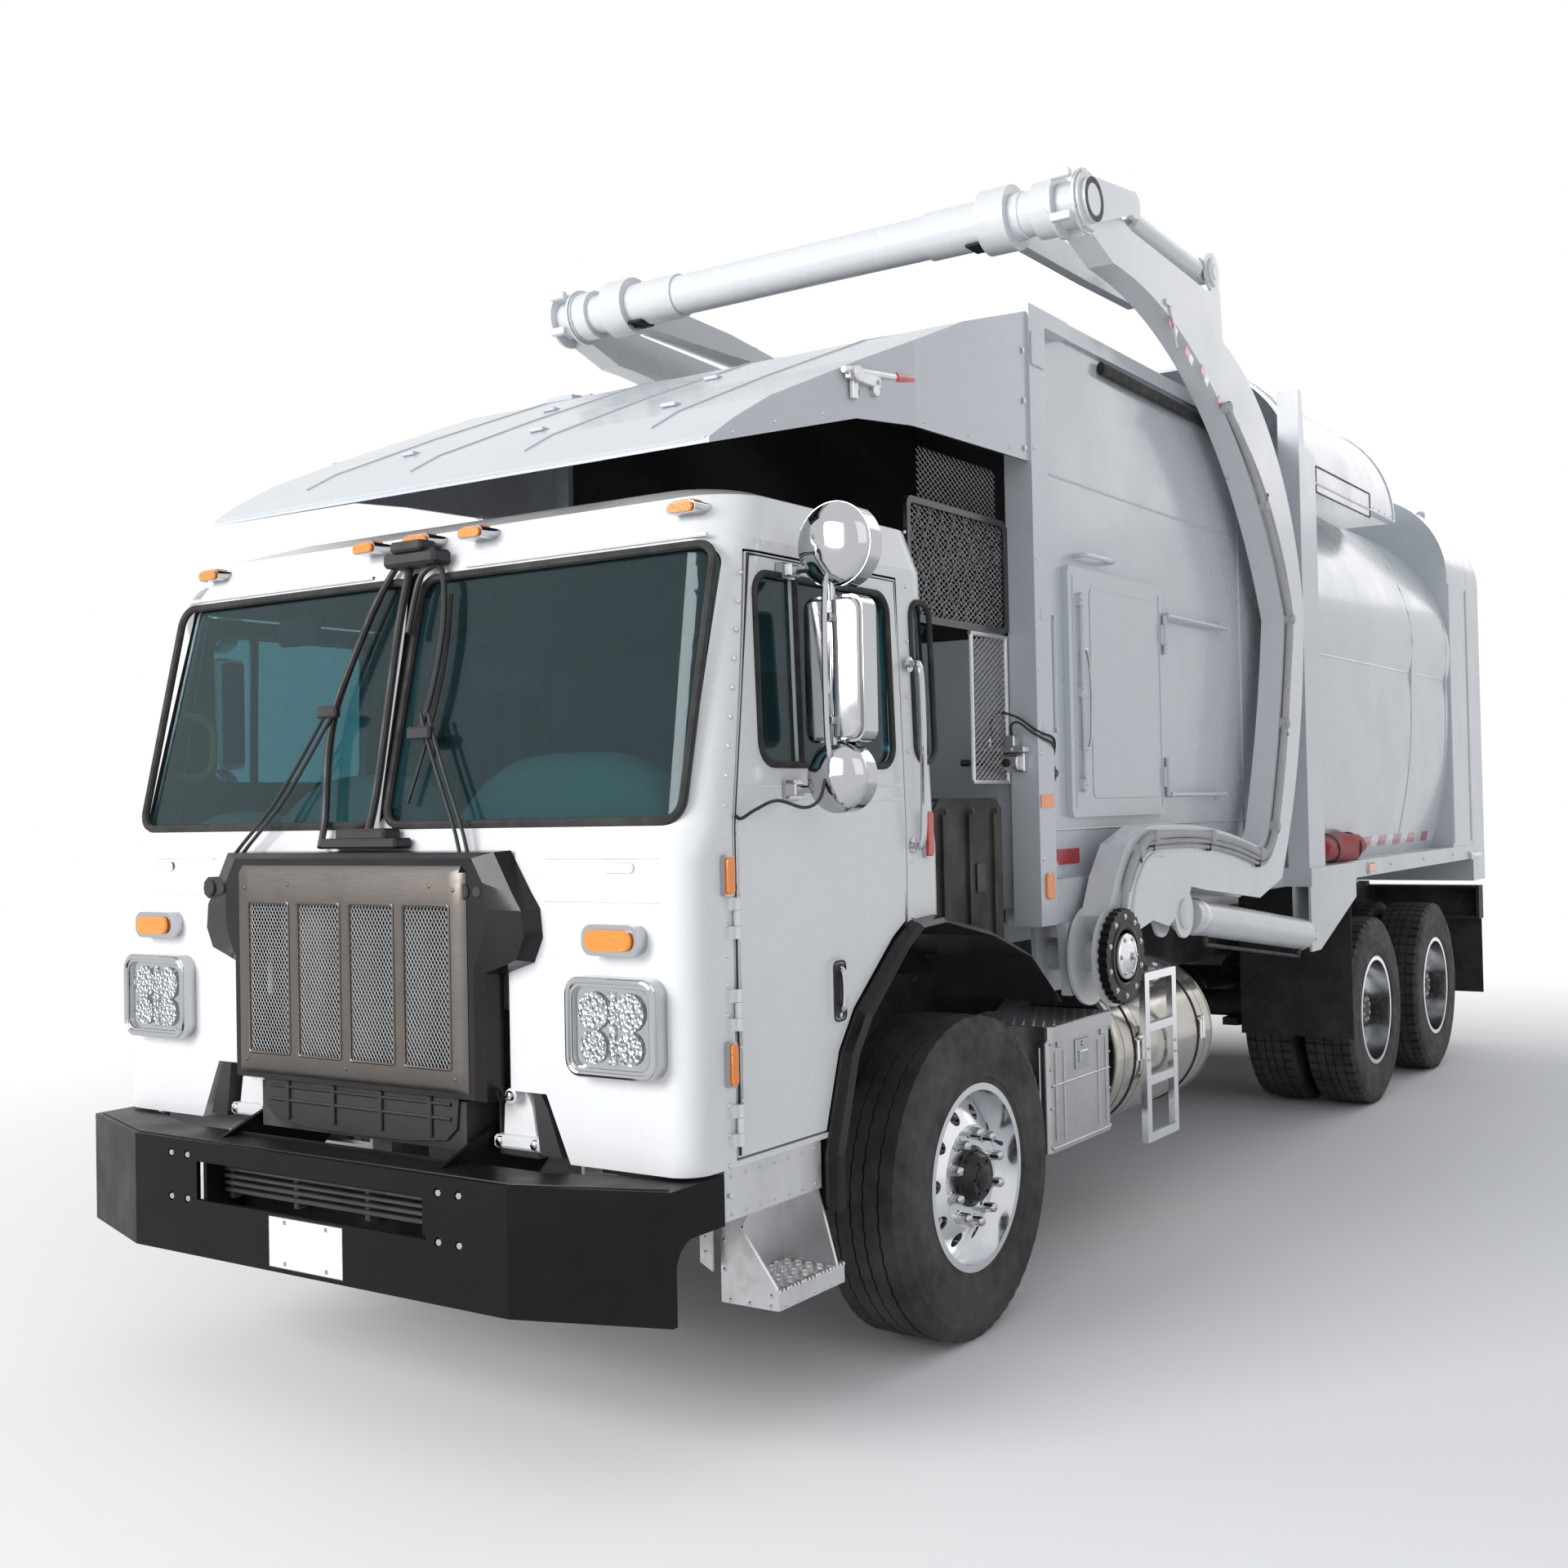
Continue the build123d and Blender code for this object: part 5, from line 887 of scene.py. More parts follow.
def build_lamp_parts():
    """Lenses and reflectors seated in the lamp housings."""
    glass_cover, bowls, frames, backs = Shape(), Shape(), Shape(), Shape()
    for side in SIDES:
        cx, cz = side * LAMP_X, LAMP_Z
        glass_cover.prism(pad(cx, cz, 0.128, 0.104, 0.03), 1, 0.2015, 0.1985)
        backs.prism(pad(cx, cz, 0.122, 0.098, 0.026), 1, 0.2114, 0.2102)
        frames.tube([(x, 0.197, z) for x, z in pad(cx, cz, 0.145, 0.121, 0.04, 5)], 0.008, 8, loop=True)
        for dx, dz, r in ((-0.062, 0.042, 0.048), (0.058, 0.042, 0.048), (-0.062, -0.05, 0.042),
                          (0.058, -0.05, 0.042)):
            here = (cx + side * dx, 0.2105, cz + dz)
            bowls.lathe(here, AHEAD, ((0, 0.0), (0.001, r * 0.30), (0.0035, r * 0.7), (0.008, r),
                                           (0.0085, r * 1.06)), 20)
            bowls.dome((here[0], 0.210, here[2]), AHEAD, r * 0.34, 0.006, 12)
        bowls.block((cx - 0.012, cx + 0.012), (0.2035, 0.2115), (cz - 0.095, cz + 0.095), 0.002)
    glass_cover.piece("headlamp_covers", "lamp_glass")
    bowls.piece("headlamp_bowls", "clear")
    backs.piece("headlamp_backs", "lamp_back")
    frames.piece("headlamp_rims", "chrome")

    amber = Shape()
    for side in SIDES:
        amber.prism(pad(side * LAMP_X, 1.392, 0.079, 0.028, 0.026, 5), 1, 0.199, 0.187, 0.004)
    for x, y, z, w, h in ((0, 0.447, 2.557, 0.100, 0.026), (0.23, 0.447, 2.557, 0.084, 0.026),
                          (-0.23, 0.447, 2.557, 0.084, 0.026), (1.01, 0.462, 2.545, 0.084, 0.026),
                          (-1.01, 0.462, 2.545, 0.084, 0.026)):
        amber.prism(pad(x, z, w / 2, h / 2, 0.011), 1, y + 0.001, y - 0.009, 0.003)
        amber.block((x - w * 0.42, x + w * 0.42), (y + 0.004, y + 0.05), (z + 0.012, z + 0.0215), 0.003)
    for y, z, w, h in ((0.388, 1.552, 0.032, 0.098), (0.391, 1.062, 0.026, 0.110)):
        for side in SIDES:
            amber.prism(pad(y, z, w / 2, h / 2, 0.009), 0, side * 1.205, side * 1.213, 0.003)
    amber.piece("amber_lenses", "amber")
    red = Shape()
    for side in SIDES:
        red.prism(pad(1.43, 1.635, 0.017, 0.07, 0.009), 0, side * 1.205, side * 1.213, 0.003)
        for x in (0.76, 0.90):
            red.lathe((side * x, 9.1855, 0.965), BEHIND, ROUND_LENS)
    red.piece("red_lenses", "red")
    clear = Shape()
    for side in SIDES:
        clear.lathe((side * 1.04, 9.1855, 0.965), BEHIND, ROUND_LENS)
    clear.piece("reversing_lenses", "clear")


def build_bumper_parts():
    """Bolts, slats and dark back seen through the bumper's slot, and the bumper's lip."""
    bolts = Shape()
    washer = ((-0.01, 0.0125), (0.002, 0.0125))
    head = ((0, 0.0105), (0.010, 0.0105), (0.0118, 0.0085))
    for side in SIDES:
        for x in (0.5227, 0.5985):
            for z in (0.608, 0.737):
                bolts.lathe((side * x, 0.012, z), AHEAD, washer, 14)
                bolts.lathe((side * x, 0.0125, z), AHEAD, head, 6)
    bolts.piece("bumper_bolts", "chrome")
    slats = Shape()
    for k in range(5):
        z = 0.628 + k * 0.021
        slats.block((-0.46, 0.46), (0.075, 0.110), (z - 0.006, z + 0.006), 0.003)
    for x in (-0.44, -0.15, 0.15, 0.44):
        slats.block((x - 0.01, x + 0.01), (0.09, 0.13), (0.60, 0.735), 0.003)
    slats.piece("bumper_slats", "iron")
    back = Shape()
    back.block((-0.470, 0.470), (0.1315, 0.1365), (0.560, 0.790), 0.002)
    back.piece("bumper_slot_back", "black_steel")
    lip = Shape()
    line = [(-1.17, 0.158, 0.782), (-0.772, 0.018, 0.782), (0.772, 0.018, 0.782), (1.17, 0.158, 0.782)]
    lip.tube(line, 0.0035, 6)
    lip.piece("bumper_lip", "black_steel")


# ---------------------------------------------------------------- wheels
FRONT_WHEELS = (("front_wheel_left", 1), ("front_wheel_right", -1))
DRIVE_WHEELS = (("front", 6.42), ("back", 7.77))
TWIN_X = (0.739, 1.069)


# edges of the five ribs, as parts of the tyre's half width
RIB_EDGES = (-0.84, -0.52, -0.475, -0.17, -0.125, 0.125, 0.17, 0.475, 0.52, 0.84)
# sidewall from the bead outwards: radius, part of the half width
SIDEWALL = ((0.30, 0.96), (0.305, 0.92), (0.318, 0.925), (0.322, 0.955), (0.355, 0.975), (0.360, 0.982),
            (0.366, 0.977), (0.410, 0.992), (0.432, 0.994), (0.438, 0.997), (0.446, 0.992), (0.470, 0.975),
            (0.476, 0.978), (0.490, 0.935))
BEAD_R = 0.296
PLAIN_STEPS = 112
LUG_STOPS = (0.0, 0.70, 0.76, 0.94)    # a block runs from the first to the second, its gap from the third


def tyre_skin(shape, x0, x1, y, lugs):
    """Tyre with ribs, grooves and sidewall rings; lugs cuts the shoulders into blocks."""
    mid = (x0 + x1) / 2
    half = (x1 - x0) / 2
    # across the tyre: (offset from the middle, radius, drop where a lug gap falls)
    tread = []
    for k in range(0, len(RIB_EDGES), 2):
        a, b = RIB_EDGES[k] * half, RIB_EDGES[k + 1] * half
        outer = k in (0, len(RIB_EDGES) - 2)
        top = TYRE_R - (0.0042 if outer else 0.0016)
        gap = 0.013 if (lugs and outer) else (0.007 if lugs else 0.0)
        tread += [(a, top - 0.014, 0.0), (a, top, gap), (b, top, gap), (b, top - 0.014, 0.0)]
    tread[0] = (-0.90 * half, TYRE_R - 0.020, 0.004)
    tread[-1] = (0.90 * half, TYRE_R - 0.020, 0.004)
    left = [(-s * half, r, 0.0) for r, s in SIDEWALL]
    right = [(s * half, r, 0.0) for r, s in SIDEWALL[::-1]]
    left[0] = (-0.90 * half, BEAD_R, 0.0)
    right[-1] = (0.90 * half, BEAD_R, 0.0)
    profile = left + tread + right
    count = lugs * len(LUG_STOPS) if lugs else PLAIN_STEPS
    rows = []
    for i in range(count):
        if lugs:
            turn = 2 * math.pi * (i // 4 + LUG_STOPS[i % 4]) / lugs
            low = i % 4 in (2, 3)
        else:
            turn = 2 * math.pi * i / count
            low = False
        row = []
        for k, (offset, radius, drop) in enumerate(profile):
            r = radius - (drop if low else 0.0)
            lean = 0.0
            if not lugs and len(left) < k < len(left) + len(tread) - 1:
                lean = 0.0022 * (1 if i % 2 else -1)
            row.append((mid + offset + lean, y + r * math.sin(turn), AXLE_Z + r * math.cos(turn)))
        rows.append(row)
    rows.append(rows[0])
    shape.rings(rows, close=False, caps=(False, False))


NUT_COVER = ((-0.004, 0.0225), (0.004, 0.0225), (0.006, 0.0175), (0.036, 0.0165), (0.044, 0.012),
             (0.047, 0.0))


def lug_ring(nuts, x, y, side):
    """Ten covered wheel nuts round a hub, facing out to one side."""
    for near, high in spots(y, AXLE_Z, NUT_CIRCLE, 10):
        nuts.lathe((x, near, high), (side, 0, 0), NUT_COVER, 12)


def build_wheels():
    """Tyres with their tread, wheel nuts, hub caps and valves."""
    for body, side in FRONT_WHEELS:
        tyre = Shape()
        middle = side * FRONT_WHEEL_X
        tyre_skin(tyre, middle - 0.15, middle + 0.15, FRONT_AXLE_Y, 0)
        made = tyre.piece(body.replace("wheel", "tyre_skin"), "tyre", body, 28)
        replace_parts(made, body.replace("wheel", "tyre"))
    for row, y in DRIVE_WHEELS:
        for name, side in NAMED_SIDES:
            tyre = Shape()
            for x in TWIN_X:
                tyre_skin(tyre, side * x - 0.14, side * x + 0.14, y, 52)
            made = tyre.piece(f"drive_tyre_skin_{row}_{name}", "tyre", f"drive_wheels_{row}_{name}", 28)
            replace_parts(made, f"drive_tyres_{row}_{name}")
    for body, side in FRONT_WHEELS:
        nut, hub, valve = Shape(), Shape(), Shape()
        lug_ring(nut, side * 1.189, FRONT_AXLE_Y, side)
        hub.lathe((side * FRONT_WHEEL_X, FRONT_AXLE_Y, AXLE_Z), (side, 0, 0),
                  ((0.106, 0.100), (0.120, 0.098), (0.124, 0.088), (0.146, 0.080), (0.158, 0.066),
                   (0.1585, 0.045), (0.166, 0.040), (0.170, 0.022), (0.171, 0.0)), 28)
        for near, high in spots(FRONT_AXLE_Y, AXLE_Z, 0.055, 6, 0):
            hub.bolt((side * (FRONT_WHEEL_X + 0.1585), near, high), (side, 0, 0), 0.0055, 0.004)
        turn = math.radians(18)
        base = Vector((side * 1.135, FRONT_AXLE_Y + 0.245 * math.cos(turn), AXLE_Z + 0.245 * math.sin(turn)))
        valve.bar(base, base + Vector((side * 0.052, -0.022, -0.008)), 0.0055, 8, ease=0.001)
        inner, outer = Vector((side * 0.045, -0.019, -0.007)), Vector((side * 0.060, -0.0255, -0.009))
        valve.bar(base + inner, base + outer, 0.0075, 8, ease=0.001)
        nut.piece(body + "_nuts", "chrome", body)
        hub.piece(body + "_hub_cap", "black_gloss", body)
        valve.piece(body + "_valve", "black_plastic", body)
    for row, y in DRIVE_WHEELS:
        for name, side in NAMED_SIDES:
            body = f"drive_wheels_{row}_{name}"
            nut, hub = Shape(), Shape()
            lug_ring(nut, side * 0.917, y, side)
            for near, high in spots(y, AXLE_Z, 0.060, 8):
                nut.bolt((side * 1.139, near, high), (side, 0, 0), 0.0085, 0.008)
            hub.lathe((side * 0.934, y, AXLE_Z), (side, 0, 0),
                      ((0.0, 0.104), (0.060, 0.1005), (0.062, 0.096), (0.19, 0.0835), (0.206, 0.0835),
                       (0.2065, 0.07)), 28)
            nut.piece(body + "_nuts", "chrome", body)
            hub.piece(body + "_hub_shell", "black_under", body)


# ---------------------------------------------------------------- doors and cab sides
# height, x, radius of the glass, radius of the shell
MIRROR_HEADS = ((2.44, 1.343, 0.104, 0.118), (1.806, 1.339, 0.086, 0.098))


def door_x(z, sunk=0.0):
    """X of the left door's outer skin at a height."""
    return DOOR_X - (0.0 if z < BELT_Z else (z - BELT_Z) * 0.0282) - sunk


def build_doors():
    """Handles, seals, vent bars, seams and mirror glasses, all on the door bodies."""
    doors = ("left_door", "right_door")
    handle = Shape()
    rim = [(1.2043, y, z) for y, z in round_rect(0.874, 0.934, 1.116, 1.284, 0.016, 4)]
    handle.tube(rim, 0.0038, 6, loop=True)
    handle.prism(round_rect(0.880, 0.928, 1.122, 1.278, 0.014, 4), 0, 1.2045, 1.2062)
    sides_of(handle, "door_handle_cup", "black_plastic", doors)
    lever = Shape()
    lever.tube(curve([(1.206, 0.904, 1.262), (1.2185, 0.904, 1.250), (1.2215, 0.904, 1.20),
                      (1.2185, 0.904, 1.160), (1.208, 0.904, 1.148)], 4), 0.0085, 8, flat=1.3)
    lever.lathe((1.205, 0.904, 1.130), LEFT, ((0, 0.0085), (0.003, 0.0085), (0.004, 0.006)), 12)
    sides_of(lever, "door_handle_lever", "chrome", doors)

    seal = Shape()
    loop = [(door_x(z, 0.001), y, z) for y, z in round_rect(0.566, 1.258, 1.844, 2.368, 0.062, 6)]
    seal.tube(loop, 0.0105, 8, loop=True)
    seal.tube([(door_x(z, 0.002), 0.760, z) for z in (1.852, 2.1, 2.36)], 0.0125, 8)
    door_line = [(0.436, 0.818), (0.436, BELT_Z), (0.551, 2.414), (1.306, 2.414), (1.306, 1.34)]
    seal.tube([(door_x(z, 0.004), y, z) for y, z in door_line], 0.0055, 6)
    sides_of(seal, "door_seals", "rubber", doors)

    press = Shape()
    for z in (1.785, 1.742):
        press.tube([(1.1895 - max(0.0, z - BELT_Z) * 0.028, y, z) for y in (0.46, 0.9, 1.296)], 0.0032, 6)
    press.tube([(1.190, 0.452, z) for z in (0.93, 1.2, 1.70)], 0.0045, 6)
    for z in (0.96, 1.10, 1.24, 1.38, 1.52, 1.66):
        press.dome((DOOR_X, 0.444, z), LEFT, 0.006, 0.004)
    sides_of(press, "door_pressings", "white_cab", doors)

    glasses, heads = Shape(), Shape()
    glasses.prism(pad(1.335, 2.10, 0.080, 0.18, 0.028), 1, 0.7765, 0.7785)
    for z, x, r, _ in MIRROR_HEADS:
        face = ((0.0055, r), (0.010, r * 0.9), (0.016, r * 0.6), (0.018, 0.0))
        glasses.lathe((x, 0.760, z), BEHIND, face, 28)
    sides_of(glasses, "mirror_glasses", "mirror", doors)
    for z, x, _, r in MIRROR_HEADS:
        # domed shells on the fronts of the round heads
        heads.lathe((x, 0.708, z), AHEAD, ((-0.03, r), (0.0, r), (0.014, r * 0.93), (0.030, r * 0.72),
                                                (0.040, r * 0.42), (0.043, 0.0)), 32)
    heads.prism(pad(1.335, 2.10, 0.088, 0.193, 0.034, 5), 1, 0.7068, 0.690, 0.008)
    for z in (1.96, 2.24):
        heads.bar((1.335, 0.69, z), (1.335, 0.676, z), 0.014, 12, ease=0.002)
    bracket = ((0.686, 2.36), (0.668, 2.30), (0.662, 2.10), (0.668, 1.90), (0.69, 1.84))
    heads.tube(curve([(1.335, y, z) for y, z in bracket], 4), 0.0085, 8)
    sides_of(heads, "mirror_shells", "chrome", doors)
    joints = Shape()
    for z in (1.775, 2.38):
        joints.block((1.305, 1.362), (0.682, 0.722), (z - 0.022, z + 0.022), 0.006)
        joints.bolt((1.3625, 0.70, z), LEFT, 0.008)
        joints.block((1.196, 1.222), (0.676, 0.724), (z - 0.018, z + 0.018), 0.004)
    sides_of(joints, "mirror_clamps", "satin", doors)
    cable = Shape()
    cable.tube(curve([(1.325, 0.668, 1.80), (1.322, 0.640, 1.745), (1.300, 0.600, 1.725),
                      (1.255, 0.540, 1.745), (1.222, 0.486, 1.722), (1.205, 0.446, 1.700),
                      (1.196, 0.430, 1.708)], 6), 0.0048, 8)
    sides_of(cable, "mirror_cables", "hose", doors)


def build_cab_sides():
    """Quarter window seals, grab bars, steps and fender trim."""
    seal = Shape()
    loop = [(door_x(z), y, z) for y, z in round_rect(1.392, 1.514, 1.860, 2.362, 0.052, 6)]
    seal.tube(loop, 0.010, 8, loop=True)
    seal.both().piece("quarter_window_seals", "rubber")
    back = Shape()
    loop = [(x, 1.562, z) for x, z in round_rect(-0.486, 0.486, 1.814, 2.346, 0.062, 6)]
    back.tube(loop, 0.010, 8, loop=True)
    back.piece("back_window_seal", "rubber")
    bars = Shape()
    bars.tube(curve([(1.192, 1.352, 2.16), (1.228, 1.352, 2.15), (1.236, 1.352, 2.0), (1.236, 1.352, 1.86),
                     (1.228, 1.352, 1.62), (1.192, 1.352, 1.60)], 5), 0.011, 10)
    for z in (1.60, 2.16):
        bars.lathe((1.190, 1.352, z), LEFT, ((-0.002, 0.024), (0.004, 0.024), (0.006, 0.016)), 16)
    bars.both().piece("cab_grab_bars", "chrome")

    tread = Shape()
    stud = ((-0.001, 0.0125), (0.006, 0.0112), (0.0072, 0.0088), (0.003, 0.0072))
    for row in range(5):
        for k in range(9):
            x = 1.068 + row * 0.036 + (0.010 if k % 2 else 0.0)
            tread.lathe((x, 0.546 + k * 0.036, 0.4400), UP, stud, 8)
    for k in range(19):
        y = 0.534 + k * 0.0172
        tread.prism([(1.221, 0.4395), (1.235, 0.4395), (1.2335, 0.447), (1.224, 0.450)], 1, y, y + 0.0105)
    for y in (0.534, 0.846):
        tread.tube([(x, y, 0.442) for x in (1.052, 1.14, 1.228)], 0.0038, 6)
    tread.both().piece("step_treads", "satin")
    rivets = Shape()
    for x, z in ((1.058, 0.64), (1.058, 0.56), (1.058, 0.48), (1.075, 0.40), (1.14, 0.40), (1.21, 0.402),
                 (1.212, 0.43), (1.12, 0.60)):
        rivets.dome((x, 0.530, z), AHEAD, 0.0065, 0.004)
    for y in (0.56, 0.62, 0.70, 0.78):
        rivets.dome((1.2351, y, 0.402), LEFT, 0.0055, 0.0035)
    for k in range(7):
        for z in (0.770, 0.672):
            rivets.dome((1.1822, 0.40 + k * 0.065, z), LEFT, 0.0055, 0.0035)
    rivets.both().piece("step_rivets", "chrome")
    bracket = Shape()
    bracket.prism([(1.000, 0.655), (1.040, 0.655), (1.040, 0.48), (1.000, 0.50)], 1, 0.496, 0.506, 0.002)
    bracket.block((1.000, 1.046), (0.50, 0.534), (0.648, 0.656), 0.002)
    for z in (0.53, 0.57, 0.61):
        bracket.dome((1.02, 0.496, z), AHEAD, 0.006, 0.004)
    bracket.both().piece("step_brackets", "satin")

    trim = Shape()
    edge = [(0.842, 0.60), (0.842, 0.74), (0.928, 1.012), (1.008, 1.122), (1.235, 1.310), (1.33, 1.364),
            (1.48, 1.372), (1.80, 1.304), (2.08, 1.207), (2.30, 1.040)]
    trim.tube([(CAB_SKIN_X, y, z) for y, z in edge], 0.006, 6)
    trim.both().piece("fender_beads", "rubber")
    handle = Shape()
    handle.tube(curve([(-1.128, 0.44, 2.08), (-1.118, 0.505, 2.070), (-1.112, 0.545, 2.040),
                       (-1.112, 0.552, 1.97), (-1.114, 0.540, 1.90), (-1.120, 0.49, 1.865),
                       (-1.128, 0.42, 1.875)], 5), 0.0135, 10)
    handle.both().piece("cab_inner_handles", "yellow")
    inner = Shape()
    inner.prism(round_rect(-0.735, -0.530, 2.285, 2.375, 0.03, 4), 1, 0.520, 0.538, 0.006)
    inner.tube([(-0.632, 0.545, 2.37), (-0.632, 0.552, 2.42), (-0.632, 0.56, 2.47)], 0.008, 8)
    inner.piece("inside_mirror", "black_plastic")


# ---------------------------------------------------------------- body, hopper and canopy
def hull(node):
    """Search tree over one CAD node, to seat small things on its surface."""
    mesh = NODES[node].data
    matrix = NODES[node].matrix_world
    return BVHTree.FromPolygons([matrix @ v.co for v in mesh.vertices],
                                [tuple(p.vertices) for p in mesh.polygons])


def seat_x(tree, y, z, side=1):
    """X of a surface seen square from one side, at a station and height."""
    hit = tree.ray_cast(at(side * 3.0, y, z), Vector((-side, 0, 0)))[0]
    return hit.x if hit else side * 1.2


WIRE_HALF = 0.0022
FLANGE = ((-0.001, 0.030), (0.005, 0.030), (0.007, 0.018), (0.014, 0.0145))
SMALL_FLANGE = ((-0.001, 0.028), (0.005, 0.028), (0.007, 0.018), (0.014, 0.0145))


def wire_field(shape, x, y_span, z_span):
    """Crossed flat wires over an upright rectangle along the truck."""
    for way, a, b in crossed_lines(y_span, z_span, 0.034, 0.62, 0.01):
        here = x + 0.0014 * way
        shape.rings([[(here - WIRE_HALF, y, z), (here, y - WIRE_HALF, z), (here + WIRE_HALF, y, z),
                      (here, y + WIRE_HALF, z)] for y, z in (a, b)], caps=(False, False))


def build_hopper_parts():
    """Mesh screens, post reflectors, grab rail feet, hand pump, seams and rivets."""
    mesh = Shape()
    wire_field(mesh, 1.048, (1.60, 2.28), (2.345, 2.725))
    wire_field(mesh, 1.020, (1.72, 2.28), (2.745, 2.925))
    mesh.tube([(1.020, 1.72, 2.742), (1.020, 2.28, 2.742)], 0.008, 6)
    mesh.both().piece("guard_mesh", "satin")
    inner = Shape()
    low, high = 1.80, 2.32
    wire_field(inner, 1.048, (2.02, 2.28), (low, high))
    for y in (2.02, 2.28):
        inner.bar((1.048, y, low), (1.048, y, high), 0.008, 8)
    for z in (low, high):
        inner.bar((1.048, 2.01, z), (1.048, 2.29, z), 0.008, 8)
    inner.both().piece("lower_guard_mesh", "satin")

    red, amber, bits = Shape(), Shape(), Shape()
    red.prism(round_rect(2.49, 2.75, 1.490, 1.548, 0.006, 3), 0, 1.1005, 1.1035, 0.001)
    amber.prism(round_rect(2.312, 2.418, 1.705, 1.752, 0.004, 3), 0, POST_X, 1.1635, 0.001)
    amber.prism(round_rect(2.335, 2.398, 1.375, 1.470, 0.020, 4), 0, POST_X, 1.1695, 0.003)
    red.both().piece("red_reflectors", "tape_red")
    amber.both().piece("amber_reflectors", "amber")

    for y0, y1, z in ((3.600, 4.320, 2.505), (3.600, 4.240, 1.745)):
        for y in (y0, y1):
            bits.lathe((HOPPER_X, y, z), LEFT, FLANGE, 16)
    for z in (1.99, 2.40):
        bits.lathe((POST_X, 2.36, z), LEFT, ((0, 0.02), (0.002, 0.018)), 12)
        bits.lathe((HOPPER_X, 2.480, z), LEFT, SMALL_FLANGE, 16)
    # short grab rail over the side door
    bits.tube(curve([(HOPPER_X, 2.76, 2.665), (1.135, 2.765, 2.666), (1.146, 2.80, 2.667),
                     (1.146, 2.91, 2.669), (1.146, 3.02, 2.670), (1.135, 3.055, 2.671),
                     (HOPPER_X, 3.06, 2.671)], 4), 0.0095, 8)
    # plates at the post's foot and head
    bits.prism([(2.44, 1.44), (2.60, 1.44), (2.44, 1.60)], 0, HOPPER_X, 1.112, 0.002)
    bits.prism(round_rect(2.31, 2.42, 3.30, 3.42, 0.01, 3), 0, 1.160, 1.166, 0.002)
    bits.both().piece("hopper_fittings", "white_body")

    seams = Shape()
    for z in (1.62, 2.95):
        seams.tube([(1.1005, y, z) for y in (2.43, 3.4, 4.2, 5.04)], 0.0045, 6)
    for y in (2.435, 4.60):
        seams.tube([(1.1005, y, z) for z in (1.45, 2.4, 3.48)], 0.0042, 6)
    seams.prism([(2.43, 3.485), (5.05, 3.485), (5.05, 3.50), (2.43, 3.50)], 0, 1.112, 1.118, 0.002)
    seams.both().piece("hopper_seams", "white_body")

    rubber = Shape()
    strip = [(1.118, 3.02, 3.44), (1.122, 3.5, 3.434), (1.122, 4.2, 3.43), (1.118, 4.98, 3.425)]
    rubber.tube(curve(strip, 4), 0.016, 8, flat=1.8)
    rubber.both().piece("hopper_rub_strips", "rubber")

    bolts = Shape()
    for z in (2.99, 3.16, 3.34):
        bolts.bolt((1.150, 2.262, z), LEFT, 0.011)
    for z in (1.52, 1.90, 2.20, 2.60, 3.00, 3.36):
        bolts.dome((POST_X, 2.322, z), LEFT, 0.007, 0.004)
    bolts.both().piece("post_bolts", "chrome")

    pump, lever, line = Shape(), Shape(), Shape()
    pump.block((0.930, 1.135), (2.235, 2.292), (1.905, 1.925), 0.003)
    for x in (0.960, 1.055):
        pump.block((x, x + 0.040), (2.24, 2.29), (1.925, 1.965), 0.004)
    pump.bar((0.985, 2.255, 1.868), (1.110, 2.255, 1.868), 0.028, 16, ease=0.004)
    pump.block((0.975, 1.120), (2.268, 2.299), (1.835, 1.905), 0.005)
    for x in (0.975, 1.03, 1.085):
        pump.bolt((x, 2.235, 1.915), AHEAD, 0.007)
    pump.piece("hand_pump", "satin")
    lever.bar((0.985, 2.25, 1.868), (0.905, 2.215, 1.872), 0.0085, 10, ease=0.002)
    lever.bar((0.925, 2.224, 1.871), (0.893, 2.210, 1.8725), 0.0125, 12, ease=0.004)
    lever.lathe((1.07, 2.232, 1.868), AHEAD, ((-0.01, 0.016), (0.012, 0.016), (0.014, 0.011)), 12)
    lever.piece("hand_pump_lever", "black_plastic")
    line.tube(curve([(0.995, 2.262, 1.968), (1.000, 2.25, 2.020), (1.035, 2.24, 2.050), (1.100, 2.262, 2.030),
                     (1.148, 2.288, 1.990), (1.1648, 2.330, 1.972), (1.1648, 2.42, 1.955),
                     (1.148, 2.452, 1.90), (1.118, 2.462, 1.85), (1.104, 2.462, 1.78)], 5), 0.0045, 8)
    line.tube(curve([(1.075, 2.262, 1.968), (1.082, 2.25, 2.005), (1.110, 2.256, 2.010),
                     (1.148, 2.278, 1.975), (1.1646, 2.330, 1.955), (1.1646, 2.42, 1.93),
                     (1.132, 2.448, 1.86), (1.104, 2.452, 1.74)], 5), 0.0045, 8)
    line.piece("pump_lines", "hose")
    valve = Shape()
    valve.block((HOPPER_X, 1.142), (2.436, 2.486), (1.80, 1.86), 0.006)
    valve.bar((1.142, 2.461, 1.83), (1.156, 2.461, 1.83), 0.015, 12, ease=0.003)
    valve.block((HOPPER_X, 1.128), (2.44, 2.482), (1.70, 1.785), 0.005)
    valve.bolt((1.128, 2.461, 1.742), LEFT, 0.008)
    valve.piece("pump_valve", "iron")


